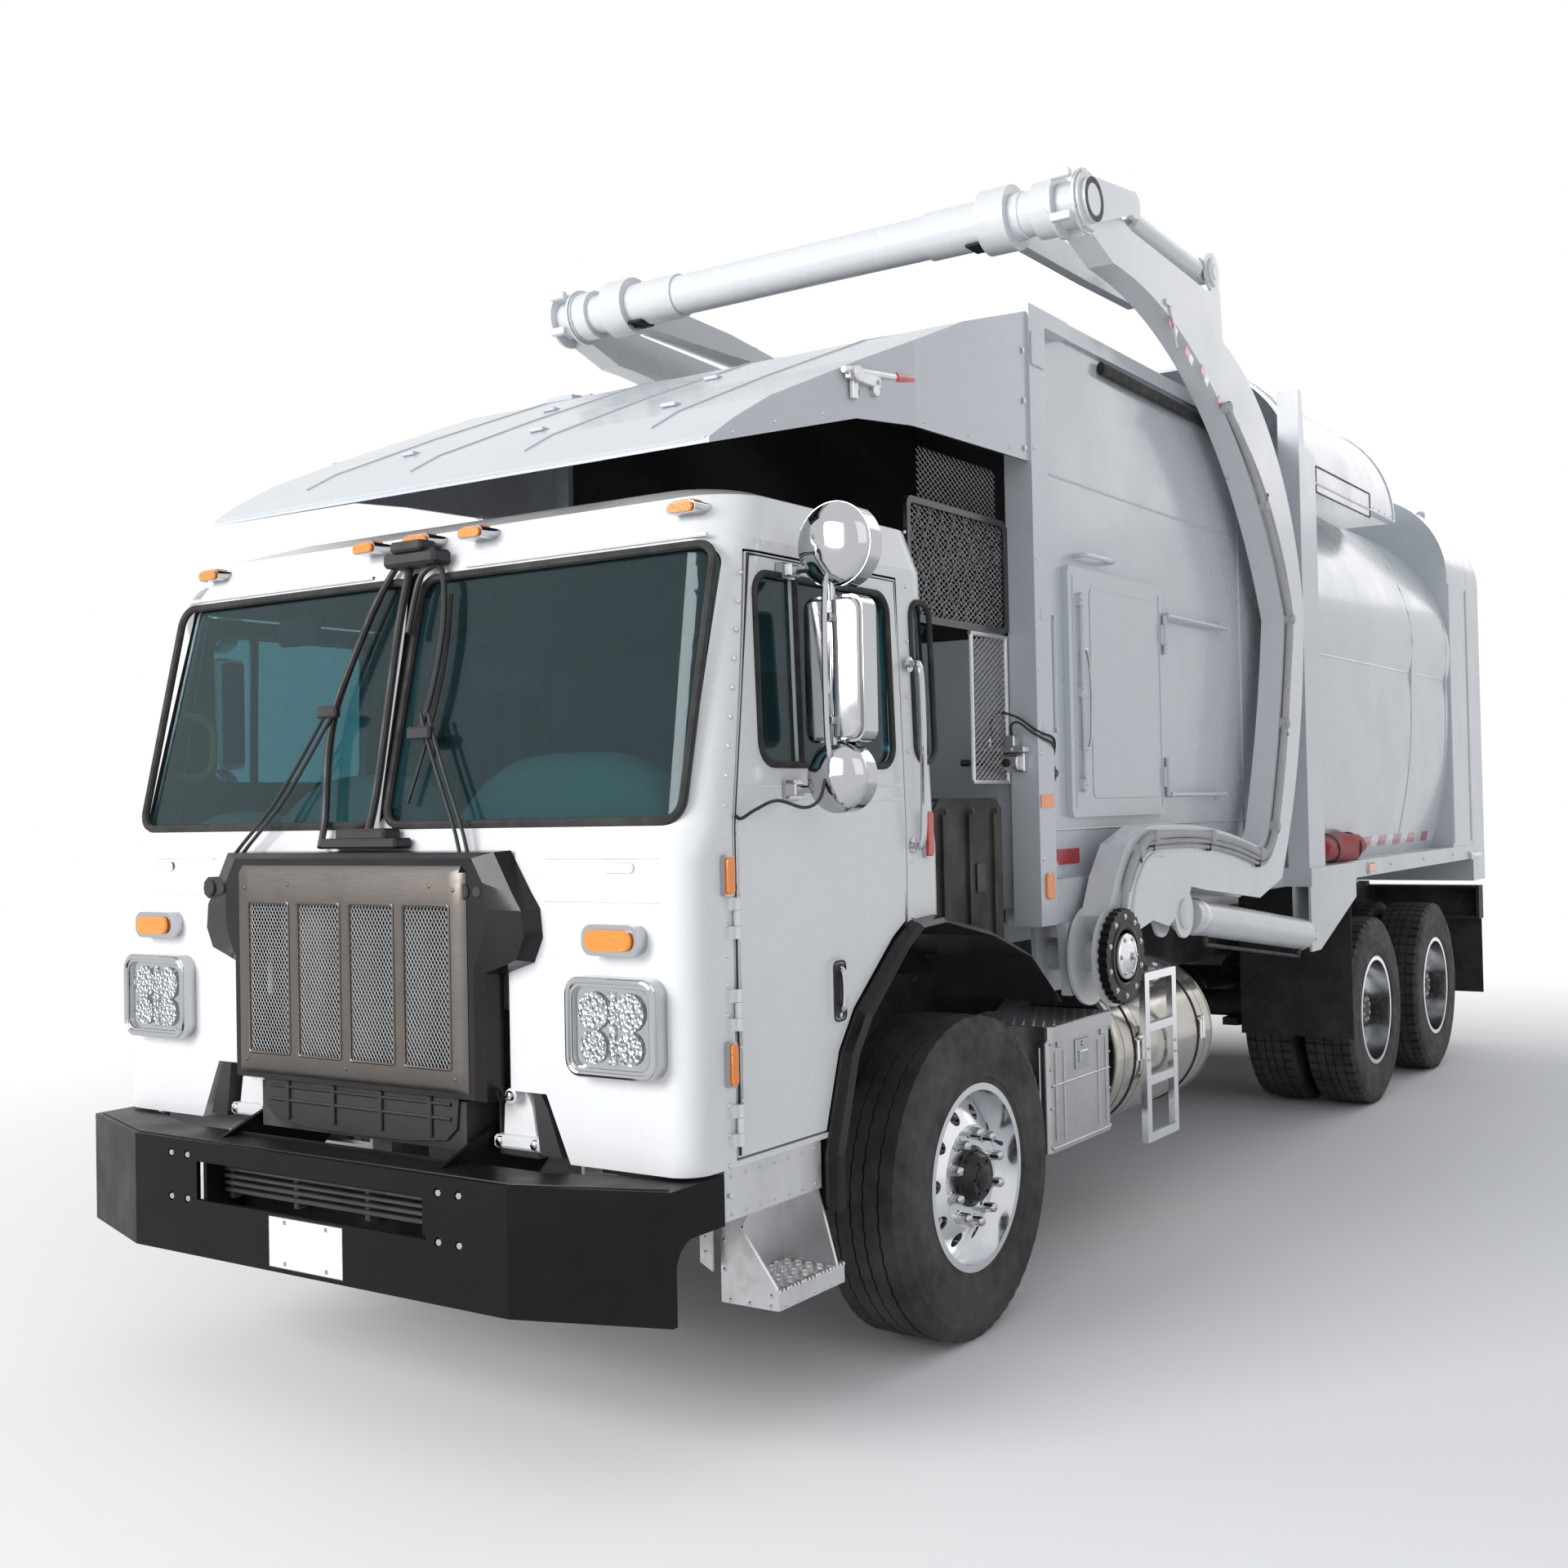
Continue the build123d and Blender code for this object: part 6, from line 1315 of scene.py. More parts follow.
def build_hatch_parts():
    """Guides of the latch bar, handle, seal and pressing of the side door."""
    body = "side_hatch"
    latch = Shape()
    for z in (1.80, 2.14, 2.48):
        latch.bolt((1.1445, 2.73, z + 0.012), LEFT, 0.0055)
        latch.bolt((1.1445, 2.75, z - 0.012), LEFT, 0.0055)
    latch.tube(curve([(1.1375, 2.738, 2.30), (1.1440, 2.772, 2.296), (1.1445, 2.80, 2.20),
                      (1.1445, 2.80, 2.00), (1.1440, 2.772, 1.93), (1.1375, 2.738, 1.925)], 4), 0.0065, 8)
    latch.piece("hatch_latch_trim", "chrome", body)
    plate = Shape()
    plate.prism(round_rect(2.84, 3.50, 1.735, 2.55, 0.03, 4), 0, 1.1262, 1.1292, 0.002)
    for y in (2.69, 3.535):
        plate.tube([(1.1268, y, z) for z in (1.70, 2.1, 2.585)], 0.0035, 6)
    plate.piece("hatch_pressing", "white_body", body)
    seal = Shape()
    loop = [(1.1022, y, z) for y, z in round_rect(2.655, 3.560, 1.672, 2.612, 0.028, 4)]
    seal.tube(loop, 0.0032, 6, loop=True)
    seal.piece("hatch_seal", "rubber", body)


TAPE_Y, TAPE_PITCH, TAPE_LENGTH = 6.55, 0.165, 0.155
TAPE_ZS = (1.425, 1.455, 1.485)
FLANGE_ZS = (1.40, 1.8, 2.3, 2.8, 3.10)


def build_tape_and_seams():
    """Marker tape strips, seams and turned flanges on the body."""
    shell = hull("body_shell")
    red, white, seams = Shape(), Shape(), Shape()
    for side in SIDES:
        for k in range(10):
            y = TAPE_Y + k * TAPE_PITCH
            rows = []
            for z in TAPE_ZS:
                x = seat_x(shell, y + 0.05, z, side)
                out, sunk = x + side * 0.0012, x - side * 0.002
                rows.append([(out, y, z), (out, y + TAPE_LENGTH, z),
                             (sunk, y + TAPE_LENGTH, z), (sunk, y, z)])
            (white if k % 2 else red).rings(rows)
    red.piece("tape_red_strips", "tape_red")
    white.piece("tape_white_strips", "tape_white")
    for side in SIDES:
        for y in (5.40, 7.30, 8.16):
            line = [(seat_x(shell, y, z, side), y, z) for z in (1.42 + k * 0.155 for k in range(13))]
            seams.tube([spot for spot in line if abs(spot[0]) > 0.6], 0.005, 6)
        seams.tube([(seat_x(shell, y, 2.46, side), y, 2.46) for y in (5.45, 6.2, 7.2, 8.2)], 0.0045, 6)
        # turned flanges of the rear ring: station of the skin, station of the flange, radius
        for at_skin, y, radius in ((8.28, 8.272, 0.007), (8.74, 8.76, 0.006)):
            seams.tube([(seat_x(shell, at_skin, z, side), y, z) for z in FLANGE_ZS], radius, 6)
    seams.piece("body_seams", "white_body")


def build_hood_parts():
    """Blank sign plates with their borders, flanges and rivets on the hopper's hood."""
    hood = hull("hopper_hood")
    plates, borders, bits = Shape(), Shape(), Shape()
    for side in SIDES:
        x = seat_x(hood, 5.9, 3.36, side)
        front = x + side * 0.0022
        plates.prism(round_rect(5.47, 6.45, 3.300, 3.420, 0.008, 3), 0, x + side * 0.0004, front, 0.0006)
        loop = [(front, y, z) for y, z in round_rect(5.462, 6.458, 3.292, 3.428, 0.010, 3)]
        borders.tube(loop, 0.0042, 6, loop=True)
    plates.piece("blank_sign_plates", "plate")
    borders.piece("sign_plate_borders", "black_plastic")
    for side in SIDES:
        bits.tube([(seat_x(hood, y, 3.338, side), y, 3.338) for y in (5.35, 6.0, 6.98)], 0.008, 6)
        for y in (5.25, 6.96):
            bits.tube([(seat_x(hood, y, z, side) + side * 0.001, y, z)
                       for z in (3.34 + k * 0.062 for k in range(10))], 0.006, 6)
        for k in range(14):
            y = 5.34 + k * 0.12
            bits.dome((seat_x(hood, y, 3.36, side), y, 3.358), (side, 0, 0), 0.0065, 0.004)
    bits.piece("hood_flanges", "white_body")


def build_deck_parts():
    """Bolts, end plates and amber lamps on the deck's edge."""
    deck, lamp, rims = Shape(), Shape(), Shape()
    for side in SIDES:
        for y in (5.95, 6.70, 7.45, 8.20, 8.66):
            deck.bolt((side * DECK_X, y, 1.326), (side, 0, 0), 0.008)
        deck.prism([(5.84, 1.285), (5.84, 1.365), (5.90, 1.285)], 0, side * DECK_X, side * 1.232)
        lamp.prism(pad(6.275, 1.323, 0.060, 0.023, 0.018), 0, side * DECK_X, side * 1.236, 0.003)
        rim = [(side * 1.2275, y, z) for y, z in pad(6.275, 1.323, 0.068, 0.031, 0.022)]
        rims.tube(rim, 0.0045, 6, loop=True)
    deck.piece("deck_bolts", "satin")
    lamp.piece("deck_lamps", "amber")
    rims.piece("deck_lamp_rims", "chrome")


ROLL_X, ROLL_Z = 1.150, 1.443
DECK_TOP_Z = 1.372
ROLL_ROWS, ROLL_POINTS = 40, 26
STRAP_R = 0.079


def build_canvas_roll():
    """Rolled tarpaulin with its folds on the left deck, held by two straps."""
    roll, straps = Shape(), Shape()
    random.seed(4)
    rows = []
    for i in range(ROLL_ROWS + 1):
        t = i / ROLL_ROWS
        y = 5.50 + 0.80 * t
        swell = 0.060 + 0.016 * math.sin(math.pi * t) + 0.006 * math.sin(9.0 * t + 1.0)
        if t < 0.06 or t > 0.94:
            swell *= 0.55 + 0.45 * min(t, 1 - t) / 0.06
        row = []
        for k in range(ROLL_POINTS):
            turn = 2 * math.pi * k / ROLL_POINTS
            r = swell * (1 + 0.07 * math.sin(3 * turn + 7 * t) + 0.05 * math.sin(5 * turn - 11 * t)
                         + random.uniform(-0.012, 0.012))
            row.append((ROLL_X + r * math.cos(turn), y,
                        max(ROLL_Z + r * math.sin(turn), DECK_TOP_Z + 0.0015)))
        rows.append(row)
    roll.rings(rows)
    roll.piece("canvas_roll", "fabric_red", "chassis", 60)
    for y in (5.70, 6.10):
        loop = [(x, y, max(z, DECK_TOP_Z + 0.002)) for x, z in spots(ROLL_X, ROLL_Z, STRAP_R, 20, 0)]
        straps.tube(loop, 0.0045, 6, loop=True, flat=2.6)
    straps.piece("roll_straps", "rubber")


GATE_HANDLE = ((9.1505, 1.50), (9.180, 1.52), (9.188, 1.60), (9.188, 1.98), (9.180, 2.06), (9.1505, 2.08))


def build_gate_parts():
    """Tailgate: side seals, hinge pads, bolts, handles, blank plate and locks."""
    seal, bits, plate, locks = Shape(), Shape(), Shape(), Shape()
    for side in SIDES:
        seal.tube([(side * 1.206, 8.803, z) for z in (1.39, 2.0, 2.6, 3.10)], 0.010, 6)
        for z in (1.32, 1.62, 2.30, 2.90):
            bits.block((side * 1.04, side * 1.075), (9.148, 9.166), (z - 0.05, z + 0.05), 0.004)
        for z in (1.25, 1.75, 2.30, 2.85, 3.14):
            bits.bolt((side * 1.05, 9.2290, z), BEHIND, 0.012, 0.0009)
        bits.tube(curve([(side * 1.1800, y, z) for y, z in GATE_HANDLE], 4), 0.012, 10)
    seal.piece("gate_side_seals", "rubber")
    bits.piece("gate_fittings", "white_body", "rear_gate")
    plate.block((-0.16, 0.16), (9.1605, 9.166), (0.905, 1.055), 0.001)
    for x in (-0.10, 0.10):
        plate.dome((x, 9.166, 1.035), BEHIND, 0.006, 0.002)
    plate.piece("blank_rear_plate", "plate")
    for side in SIDES:
        locks.bar((side * 1.232, 8.70, 1.30), (side * 1.232, 8.95, 1.30), 0.016, 12, ease=0.003)
        locks.block((side * 1.222, side * 1.244), (8.665, 8.705), (1.276, 1.324), 0.004)
    locks.piece("gate_locks", "satin")


def build_canopy_parts():
    """Latch with its red grip, bolts, hinge bosses and stiffeners on the canopy's side."""
    frame_bits, grip, bolts = Shape(), Shape(), Shape()
    canopy = hull("canopy")
    for side in SIDES:
        x = seat_x(canopy, 1.22, 3.0, side)
        frame_bits.block((x, x + side * 0.020), (1.12, 1.30), (3.010, 3.050), 0.004)
        frame_bits.bar((x + side * 0.01, 1.10, 3.034), (x + side * 0.01, 1.40, 3.070), 0.012, 10, ease=0.003)
        frame_bits.bar((x, 1.16, 3.03), (x + side * 0.032, 1.16, 3.03), 0.026, 16, ease=0.004)
        frame_bits.block((x, x + side * 0.016), (1.145, 1.175), (2.955, 3.020), 0.003)
        frame_bits.bar((x, 1.27, 3.0), (x + side * 0.024, 1.27, 3.0), 0.018, 14, ease=0.003)
        grip.bar((x + side * 0.01, 1.395, 3.0690), (x + side * 0.01, 1.50, 3.0815), 0.0165, 12, ease=0.005)
        for y, z in ((1.135, 3.03), (1.285, 3.03), (1.205, 2.985)):
            bolts.bolt((x + side * 0.020 if z > 3 else x, y, z), (side, 0, 0), 0.007)
        for y, z in ((0.62, 2.77), (0.80, 2.83), (1.02, 2.89), (1.55, 2.955), (1.85, 2.965), (2.15, 2.975)):
            bolts.dome((seat_x(canopy, y, z, side), y, z), (side, 0, 0), 0.0065, 0.004)
    frame_bits.piece("canopy_latches", "satin")
    grip.piece("canopy_latch_grips", "red")
    bolts.piece("canopy_bolts", "chrome")
    top = Shape()
    ridge = ((0.66, 2.830), (0.786, 2.902), (1.237, 3.100), (1.832, 3.346), (2.27, 3.481))
    for x in (-0.75, -0.25, 0.25, 0.75):
        top.tube([(x, y, z + 0.001) for y, z in ridge], 0.0042, 6)
    for x, y, z in ((-0.55, 0.95, 2.974), (0.05, 0.95, 2.974), (0.60, 0.95, 2.974), (-0.4, 1.5, 3.2088),
                    (0.35, 1.5, 3.2088)):
        top.block((x - 0.03, x + 0.03), (y - 0.025, y + 0.025), (z - 0.006, z + 0.007), 0.004)
    top.tube([(x, 0.5275, 2.7405) for x in (-1.05, -0.5, 0.0, 0.5, 1.05)], 0.006, 6)
    top.piece("canopy_ridges", "white_body")


def build_tube_clamps():
    """Bolted clamps round the cross tube at the arm heads, and the tube's end caps."""
    clamp, bolts, dark = Shape(), Shape(), Shape()
    for side in SIDES:
        away = (side, 0, 0)
        clamp.lathe((side * 1.164, TUBE_Y, TUBE_Z), away,
                    ((0.0, 0.096), (0.0, 0.112), (0.006, 0.112), (0.006, 0.096)), 40)
        clamp.lathe((side * 1.281, TUBE_Y, TUBE_Z), away,
                    ((0.0, 0.086), (0.0, 0.108), (0.010, 0.108), (0.013, 0.104), (0.013, 0.086)), 40)
        for y, z in spots(TUBE_Y, TUBE_Z, 0.104, 8):
            bolts.bolt((side * 1.2815, y, z), away, 0.008)
            bolts.bolt((side * 1.168, y, z), (-side, 0, 0), 0.008)
        dark.lathe((side * 1.300, TUBE_Y, TUBE_Z), away,
                   ((0.0, 0.082), (0.011, 0.082), (0.0115, 0.060), (0.004, 0.056), (0.004, 0.0)), 32)
        for z in (3.862, 4.018):
            clamp.block((side * 1.186, side * 1.268), (2.438, 2.466), (z - 0.016, z + 0.016), 0.004)
    clamp.piece("tube_clamps", "white_worn", "arms")
    bolts.piece("tube_clamp_bolts", "satin", "arms")
    dark.piece("tube_end_caps", "iron", "forks")


def build_pivot_caps():
    """Bright caps with bolts on the lift arms' pivots."""
    hub, bolts = Shape(), Shape()
    for side in SIDES:
        away = (side, 0, 0)
        hub.lathe((side * 1.330, PIVOT_Y, PIVOT_Z), away, ((0.0, 0.083), (0.004, 0.080), (0.006, 0.060),
                                                           (0.010, 0.052), (0.016, 0.044), (0.018, 0.0)), 32)
        for y, z in spots(PIVOT_Y, PIVOT_Z, 0.069, 6, 0):
            bolts.bolt((side * 1.3345, y, z), away, 0.0075)
        bolts.bolt((side * 1.348, PIVOT_Y, PIVOT_Z), away, 0.014)
    hub.piece("pivot_hub_caps", "polished")
    bolts.piece("pivot_hub_bolts", "chrome")


HOSE_RUN = ((2.760, 1.410), (2.845, 1.500), (2.932, 1.548), (3.010, 1.560), (3.330, 1.560), (3.640, 1.544),
            (3.945, 1.506), (4.228, 1.453), (4.330, 1.460), (4.400, 1.492), (4.474, 1.580), (4.575, 1.815),
            (4.650, 2.050), (4.712, 2.305), (4.766, 2.565), (4.705, 2.760), (4.560, 2.985), (4.330, 3.215),
            (3.965, 3.450))
# station, height, lean in degrees
HOSE_TIES = ((2.86, 1.515, 45), (3.01, 1.566, 90), (3.62, 1.546, 90), (4.232, 1.452, 90), (4.47, 1.578, 20),
             (4.64, 2.03, 15), (4.76, 2.57, 0), (4.45, 3.10, -45), (3.98, 3.435, -50))


def build_arm_hoses():
    """Second and third line of the hose bundle beside the first one, with their ties."""
    spare, ties = Shape(), Shape()
    third = [(y + 0.012, z - 0.024) for y, z in HOSE_RUN[:9]]
    third += [(y + 0.024, z - 0.006) for y, z in HOSE_RUN[9:]]
    for run, x, radius in ((HOSE_RUN, 1.2945, 0.0105), (third, 1.2925, 0.0085)):
        for side in SIDES:
            spare.tube(curve([(side * x, y, z) for y, z in run], 4), radius, 8)
    for y, z, lean in HOSE_TIES:
        turn = math.radians(lean)
        across = Vector((0, math.cos(turn), -math.sin(turn)))
        for side in SIDES:
            middle = Vector((side * 1.291, y, z)) + across * 0.006
            ties.bar(middle - across * 0.034, middle + across * 0.034, 0.0125, 8, ease=0.003)
    spare.piece("arm_hose_lines", "hose_pale", "arms")
    ties.piece("arm_hose_ties", "black_plastic", "arms")


def build_arm_marks():
    """Red and white stripes, weld beads and lugs on the lift arms."""
    red, white, weld = Shape(), Shape(), Shape()
    stripes = ((3.345, 3.680, 3.430, 3.640), (3.520, 3.600, 3.600, 3.560), (3.700, 3.560, 3.775, 3.505),
               (3.900, 3.470, 3.965, 3.410), (4.140, 3.390, 4.200, 3.325))
    for ya, za, yb, zb in stripes:
        across = Vector((0, zb - za, -(yb - ya))).normalized() * 0.020
        a, b = Vector((0, ya, za)), Vector((0, yb, zb))
        for part, target in ((0.0, red), (0.55, white)):
            p, q = a.lerp(b, part), a.lerp(b, min(1.0, part + 0.5))
            outline = [(v.y, v.z) for v in (p - across, q - across, q + across, p + across)]
            for side in SIDES:
                target.prism(outline, 0, side * 1.2804, side * 1.2822)
    red.piece("arm_red_stripes", "tape_red", "arms")
    white.piece("arm_white_stripes", "tape_white", "arms")
    arc = ((2.835, 1.245), (2.830, 1.310), (2.870, 1.400), (2.955, 1.480), (3.045, 1.510), (3.150, 1.503))
    boss = ((0.0, 0.062), (0.008, 0.062), (0.010, 0.056), (0.0102, 0.034), (0.0135, 0.032), (0.0135, 0.0))
    for side in SIDES:
        weld.tube(curve([(side * ARM_FACE_X, y, z) for y, z in arc], 5), 0.0075, 8)
        for y, z in ((3.36, 1.26), (3.87, 4.01)):
            weld.lathe((side * ARM_FACE_X, y, z), (side, 0, 0), boss, 28)
        weld.block((side * 1.281, side * 1.290), (3.30, 3.365), (3.735, 3.757), 0.003)
        bead = [(side * 1.2835, y, z) for y, z in ((3.345, 3.735), (3.39, 3.66), (3.425, 3.585))]
        weld.tube(bead, 0.004, 6)
    weld.piece("arm_welds", "white_worn", "arms")


def build_fork_tube_parts():
    """Collars and rubber pads of the fork frame's cross tube."""
    collars, pads = Shape(), Shape()
    collar = ((-0.055, 0.0835), (-0.050, 0.089), (0.050, 0.089), (0.055, 0.0835))
    for side in SIDES:
        collars.lathe((side * 0.98, TUBE_Y, TUBE_Z), (side, 0, 0), collar, 36)
        pads.block((side * 0.80, side * 0.93), (2.50, 2.60), (3.845, 3.858), 0.004)
        pads.bolt((side * 0.865, 2.55, 3.846), DOWN, 0.010)
    collars.piece("fork_tube_collars", "white_worn", "forks")
    pads.piece("fork_tube_pads", "rubber", "forks")


def build_cylinder_parts():
    """Glands, ports and pipes of the lift cylinders."""
    glands, ports = Shape(), Shape()
    foot, eye = Vector((0, 5.100, 1.040)), Vector((0, 3.360, 1.260))
    along = (eye - foot).normalized()
    gland = ((0.0, 0.0755), (0.004, 0.079), (0.030, 0.079), (0.034, 0.070), (0.040, 0.052), (0.046, 0.036))
    for side in SIDES:
        aside = Vector((side * CYLINDER_X, 0, 0))
        glands.lathe(foot + along * 1.505 + aside, along, gland, 32)
        for far in (0.14, 1.40):
            spot = foot + along * far + aside
            ports.bar(spot + Vector((0, 0, -0.07)), spot + Vector((0, 0, -0.102)), 0.017, 12, ease=0.003)
            ports.bar(spot + Vector((0, 0, -0.098)), spot + Vector((0, 0.012, -0.116)), 0.012, 8, ease=0.003)
        line = [foot + along * far + aside + Vector((0, 0.012, -0.112)) for far in (0.16, 0.5, 0.9, 1.41)]
        ports.tube(line, 0.009, 8)
    glands.piece("lift_cylinder_glands", "satin", "lift_barrel_pair")
    ports.piece("lift_cylinder_ports", "black_plastic", "lift_barrel_pair")


def build_hub_drums():
    """Ribbed black drums with bolts round the lift-arm hubs."""
    drum, bolts = Shape(), Shape()
    for side in SIDES:
        outline = []
        for k in range(120):
            turn = 2 * math.pi * k / 120
            r = 0.1765 if k % 4 < 2 else 0.1690
            outline.append((PIVOT_Y + r * math.cos(turn), PIVOT_Z + r * math.sin(turn)))
        drum.prism(outline, 0, side * 1.287, side * 1.3225, 0.002)
        drum.lathe((side * 1.3225, PIVOT_Y, PIVOT_Z), (side, 0, 0),
                   ((0.0, 0.125), (0.004, 0.122), (0.005, 0.105), (0.0, 0.098)), 40)
        for y, z in spots(PIVOT_Y, PIVOT_Z, 0.146, 10):
            bolts.bolt((side * 1.3225, y, z), (side, 0, 0), 0.008)
    drum.piece("hub_drum_ribs", "black_steel", "arms")
    bolts.piece("hub_drum_bolts", "satin", "arms")


def build_tank_parts():
    """Tanks: fillers, strap liners, weld beads, step treads. Tool boxes: lids, latches, ribs."""
    bead, liner, caps, tread = Shape(), Shape(), Shape(), Shape()
    strap_x = TANK_X + 0.318

    def hoop(target, y, radius):
        target.tube([(x, y, z) for x, z in spots(TANK_X, TANK_Z, radius, 64, 0)], 0.004, 6, loop=True)

    for y in (2.962, 3.898):
        hoop(bead, y, 0.3105)
    for y in (3.09, 3.77):
        for shift in (-0.031, 0.031):
            hoop(liner, y + shift, 0.3115)
        for shift in (-0.015, 0.015):
            bead.bar((strap_x, y + shift, 0.70), (strap_x, y + shift, 0.78), 0.006, 8)
        bead.bolt((strap_x, y, 0.79), UP, 0.011)
    out = Vector((0.5, 0, 0.866))
    foot = Vector((TANK_X, 3.58, TANK_Z)) + out * 0.306
    caps.lathe(foot, out, ((0.0, 0.052), (0.012, 0.050), (0.020, 0.044), (0.030, 0.044)), 32)
    caps.lathe(foot, out, ((0.026, 0.056), (0.028, 0.060), (0.046, 0.060), (0.050, 0.055), (0.052, 0.020),
                           (0.060, 0.016), (0.060, 0.0)), 32)
    for z in (0.402, 0.626, 0.836, 1.040):
        for k in range(11):
            tread.dome((1.197, 3.145 + k * 0.023, z), UP, 0.0048, 0.003, 6)
        tread.block((1.186, 1.208), (3.125, 3.395), (z - 0.0005, z + 0.001), 0.0004)
    for y in (3.12, 3.40):
        for z in (0.70, 0.744):
            tread.bolt((1.2105, y, z), LEFT, 0.008)
    bead.both().piece("tank_welds", "tank_skin")
    liner.both().piece("strap_liners", "rubber")
    caps.both().piece("tank_fillers", "satin")
    tread.both().piece("step_treads", "satin")

    lid, latch, ribs = Shape(), Shape(), Shape()
    lid.prism(round_rect(0.755, 1.157, 2.343, 2.897, 0.012, 3), 2, 0.866, 0.9165, 0.003)
    for row in range(12):
        for k in range(9):
            x = 0.79 + 0.041 * k + (0.02 if row % 2 else 0.0)
            lid.dome((x, 2.375 + 0.044 * row, 0.9165), UP, 0.0075, 0.0025, 4)
    latch.block((1.150, 1.158), (2.565, 2.675), (0.735, 0.845), 0.004)
    latch.block((1.157, 1.166), (2.585, 2.655), (0.758, 0.800), 0.004)
    latch.bar((1.157, 2.62, 0.825), (1.164, 2.62, 0.825), 0.010, 12, ease=0.002)
    for y in (2.43, 2.81):
        latch.block((1.150, 1.160), (y - 0.018, y + 0.018), (0.835, 0.866), 0.003)
    for y in (2.40, 2.47, 2.77, 2.84):
        ribs.tube([(BOX_X, y, z) for z in (0.50, 0.66, 0.82)], 0.0055, 6)
    for z in (0.475, 0.70):
        ribs.tube([(BOX_X, y, z) for y in (2.37, 2.62, 2.87)], 0.0045, 6)
    for x in (0.80, 0.955, 1.11):
        ribs.tube([(x, 2.3495, z) for z in (0.50, 0.66, 0.84)], 0.0055, 6)
    for y in (2.366, 2.874):
        for z in (0.48, 0.62, 0.76, 0.85):
            ribs.dome((BOX_X, y, z), LEFT, 0.0055, 0.003)
    lid.both().piece("tool_box_lids", "box_skin")
    latch.both().piece("tool_box_latches", "chrome")
    ribs.both().piece("tool_box_ribs", "box_skin")

    bolts, posts = Shape(), Shape()
    for k in range(19):
        for z in (1.712, 1.150):
            bolts.bolt((-0.99 + 0.11 * k, 1.6795, z), AHEAD, 0.009)
    for side in SIDES:
        for y in (1.74, 1.92, 2.10):
            bolts.bolt((side * 1.0925, y, 1.70), (side, 0, 0), 0.009)
        bolts.block((side * 1.081, side * 1.088), (1.96, 2.02), (1.42, 1.52), 0.003)
    bolts.piece("enclosure_bolts", "iron")
    for side in SIDES:
        posts.bar((side * 0.90, 8.94, 3.30), (side * 0.90, 8.94, 3.66), 0.024, 16, ease=0.004)
        posts.bar((side * 0.90, 8.94, 3.60), (side * 0.90, 8.94, 3.70), 0.030, 16, ease=0.010)
    posts.piece("tailgate_posts", "white_body", "rear_gate")


# ---------------------------------------------------------------- cab interior
SECTION_POWER = 0.32               # 1 makes a cushion's section round, 0 square


def cushion(name, centre, size, lean, channels):
    """Padded seat part: crowned faces, pulled-in sides, sewn channels and small puckers."""
    wide, deep, high = (s / 2 for s in size)
    across, around = 44, 26
    work = bmesh.new()
    rows = []
    for i in range(across + 1):
        u = -1 + 2 * i / across
        row = []
        for j in range(around):
            turn = 2 * math.pi * j / around
            ny = eased(math.cos(turn), SECTION_POWER)
            nz = eased(math.sin(turn), SECTION_POWER)
            end = (1 - abs(u) ** 7) ** 0.5 if abs(u) < 1 else 0.0
            pinch = 0.93 + 0.07 * abs(u) ** 3
            crown = 0.80 + 0.20 * (1 - ny * ny) * (1 - u * u * 0.5)
            sew = 0.0
            for line in channels:
                sew += math.exp(-((u - line) / 0.045) ** 2)
                sew += 0.35 * math.exp(-((u - line) / 0.10) ** 2) * abs(math.sin(23 * ny + 5 * line))
            lift = high * nz * (crown - 0.13 * sew) * (0.35 + 0.65 * end)
            lift += 0.0016 * math.sin(31 * u + 3 * ny) * math.sin(17 * ny - 2 * u)
            row.append(work.verts.new((wide * u * 0.995, deep * ny * pinch * (0.72 + 0.28 * end), lift)))
        rows.append(row)
    for a, b in zip(rows, rows[1:]):
        for j in range(around):
            k = (j + 1) % around
            work.faces.new((a[j], a[k], b[k], b[j]))
    work.faces.new(rows[0][::-1])
    work.faces.new(rows[-1])
    bmesh.ops.recalc_face_normals(work, faces=work.faces)
    mesh = bpy.data.meshes.new(name)
    work.to_mesh(mesh)
    work.free()
    mesh.shade_smooth()
    mesh.transform(Matrix.Translation(at(*centre)) @ Matrix.Rotation(math.radians(lean), 4, "X"))
    mesh.materials.append(M["cloth"])
    obj = bpy.data.objects.new(name, mesh)
    bpy.context.collection.objects.link(obj)
    soften = obj.modifiers.new("soften", "SUBSURF")
    soften.levels = 1
    soften.render_levels = 1
    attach(obj, "chassis")
    return obj


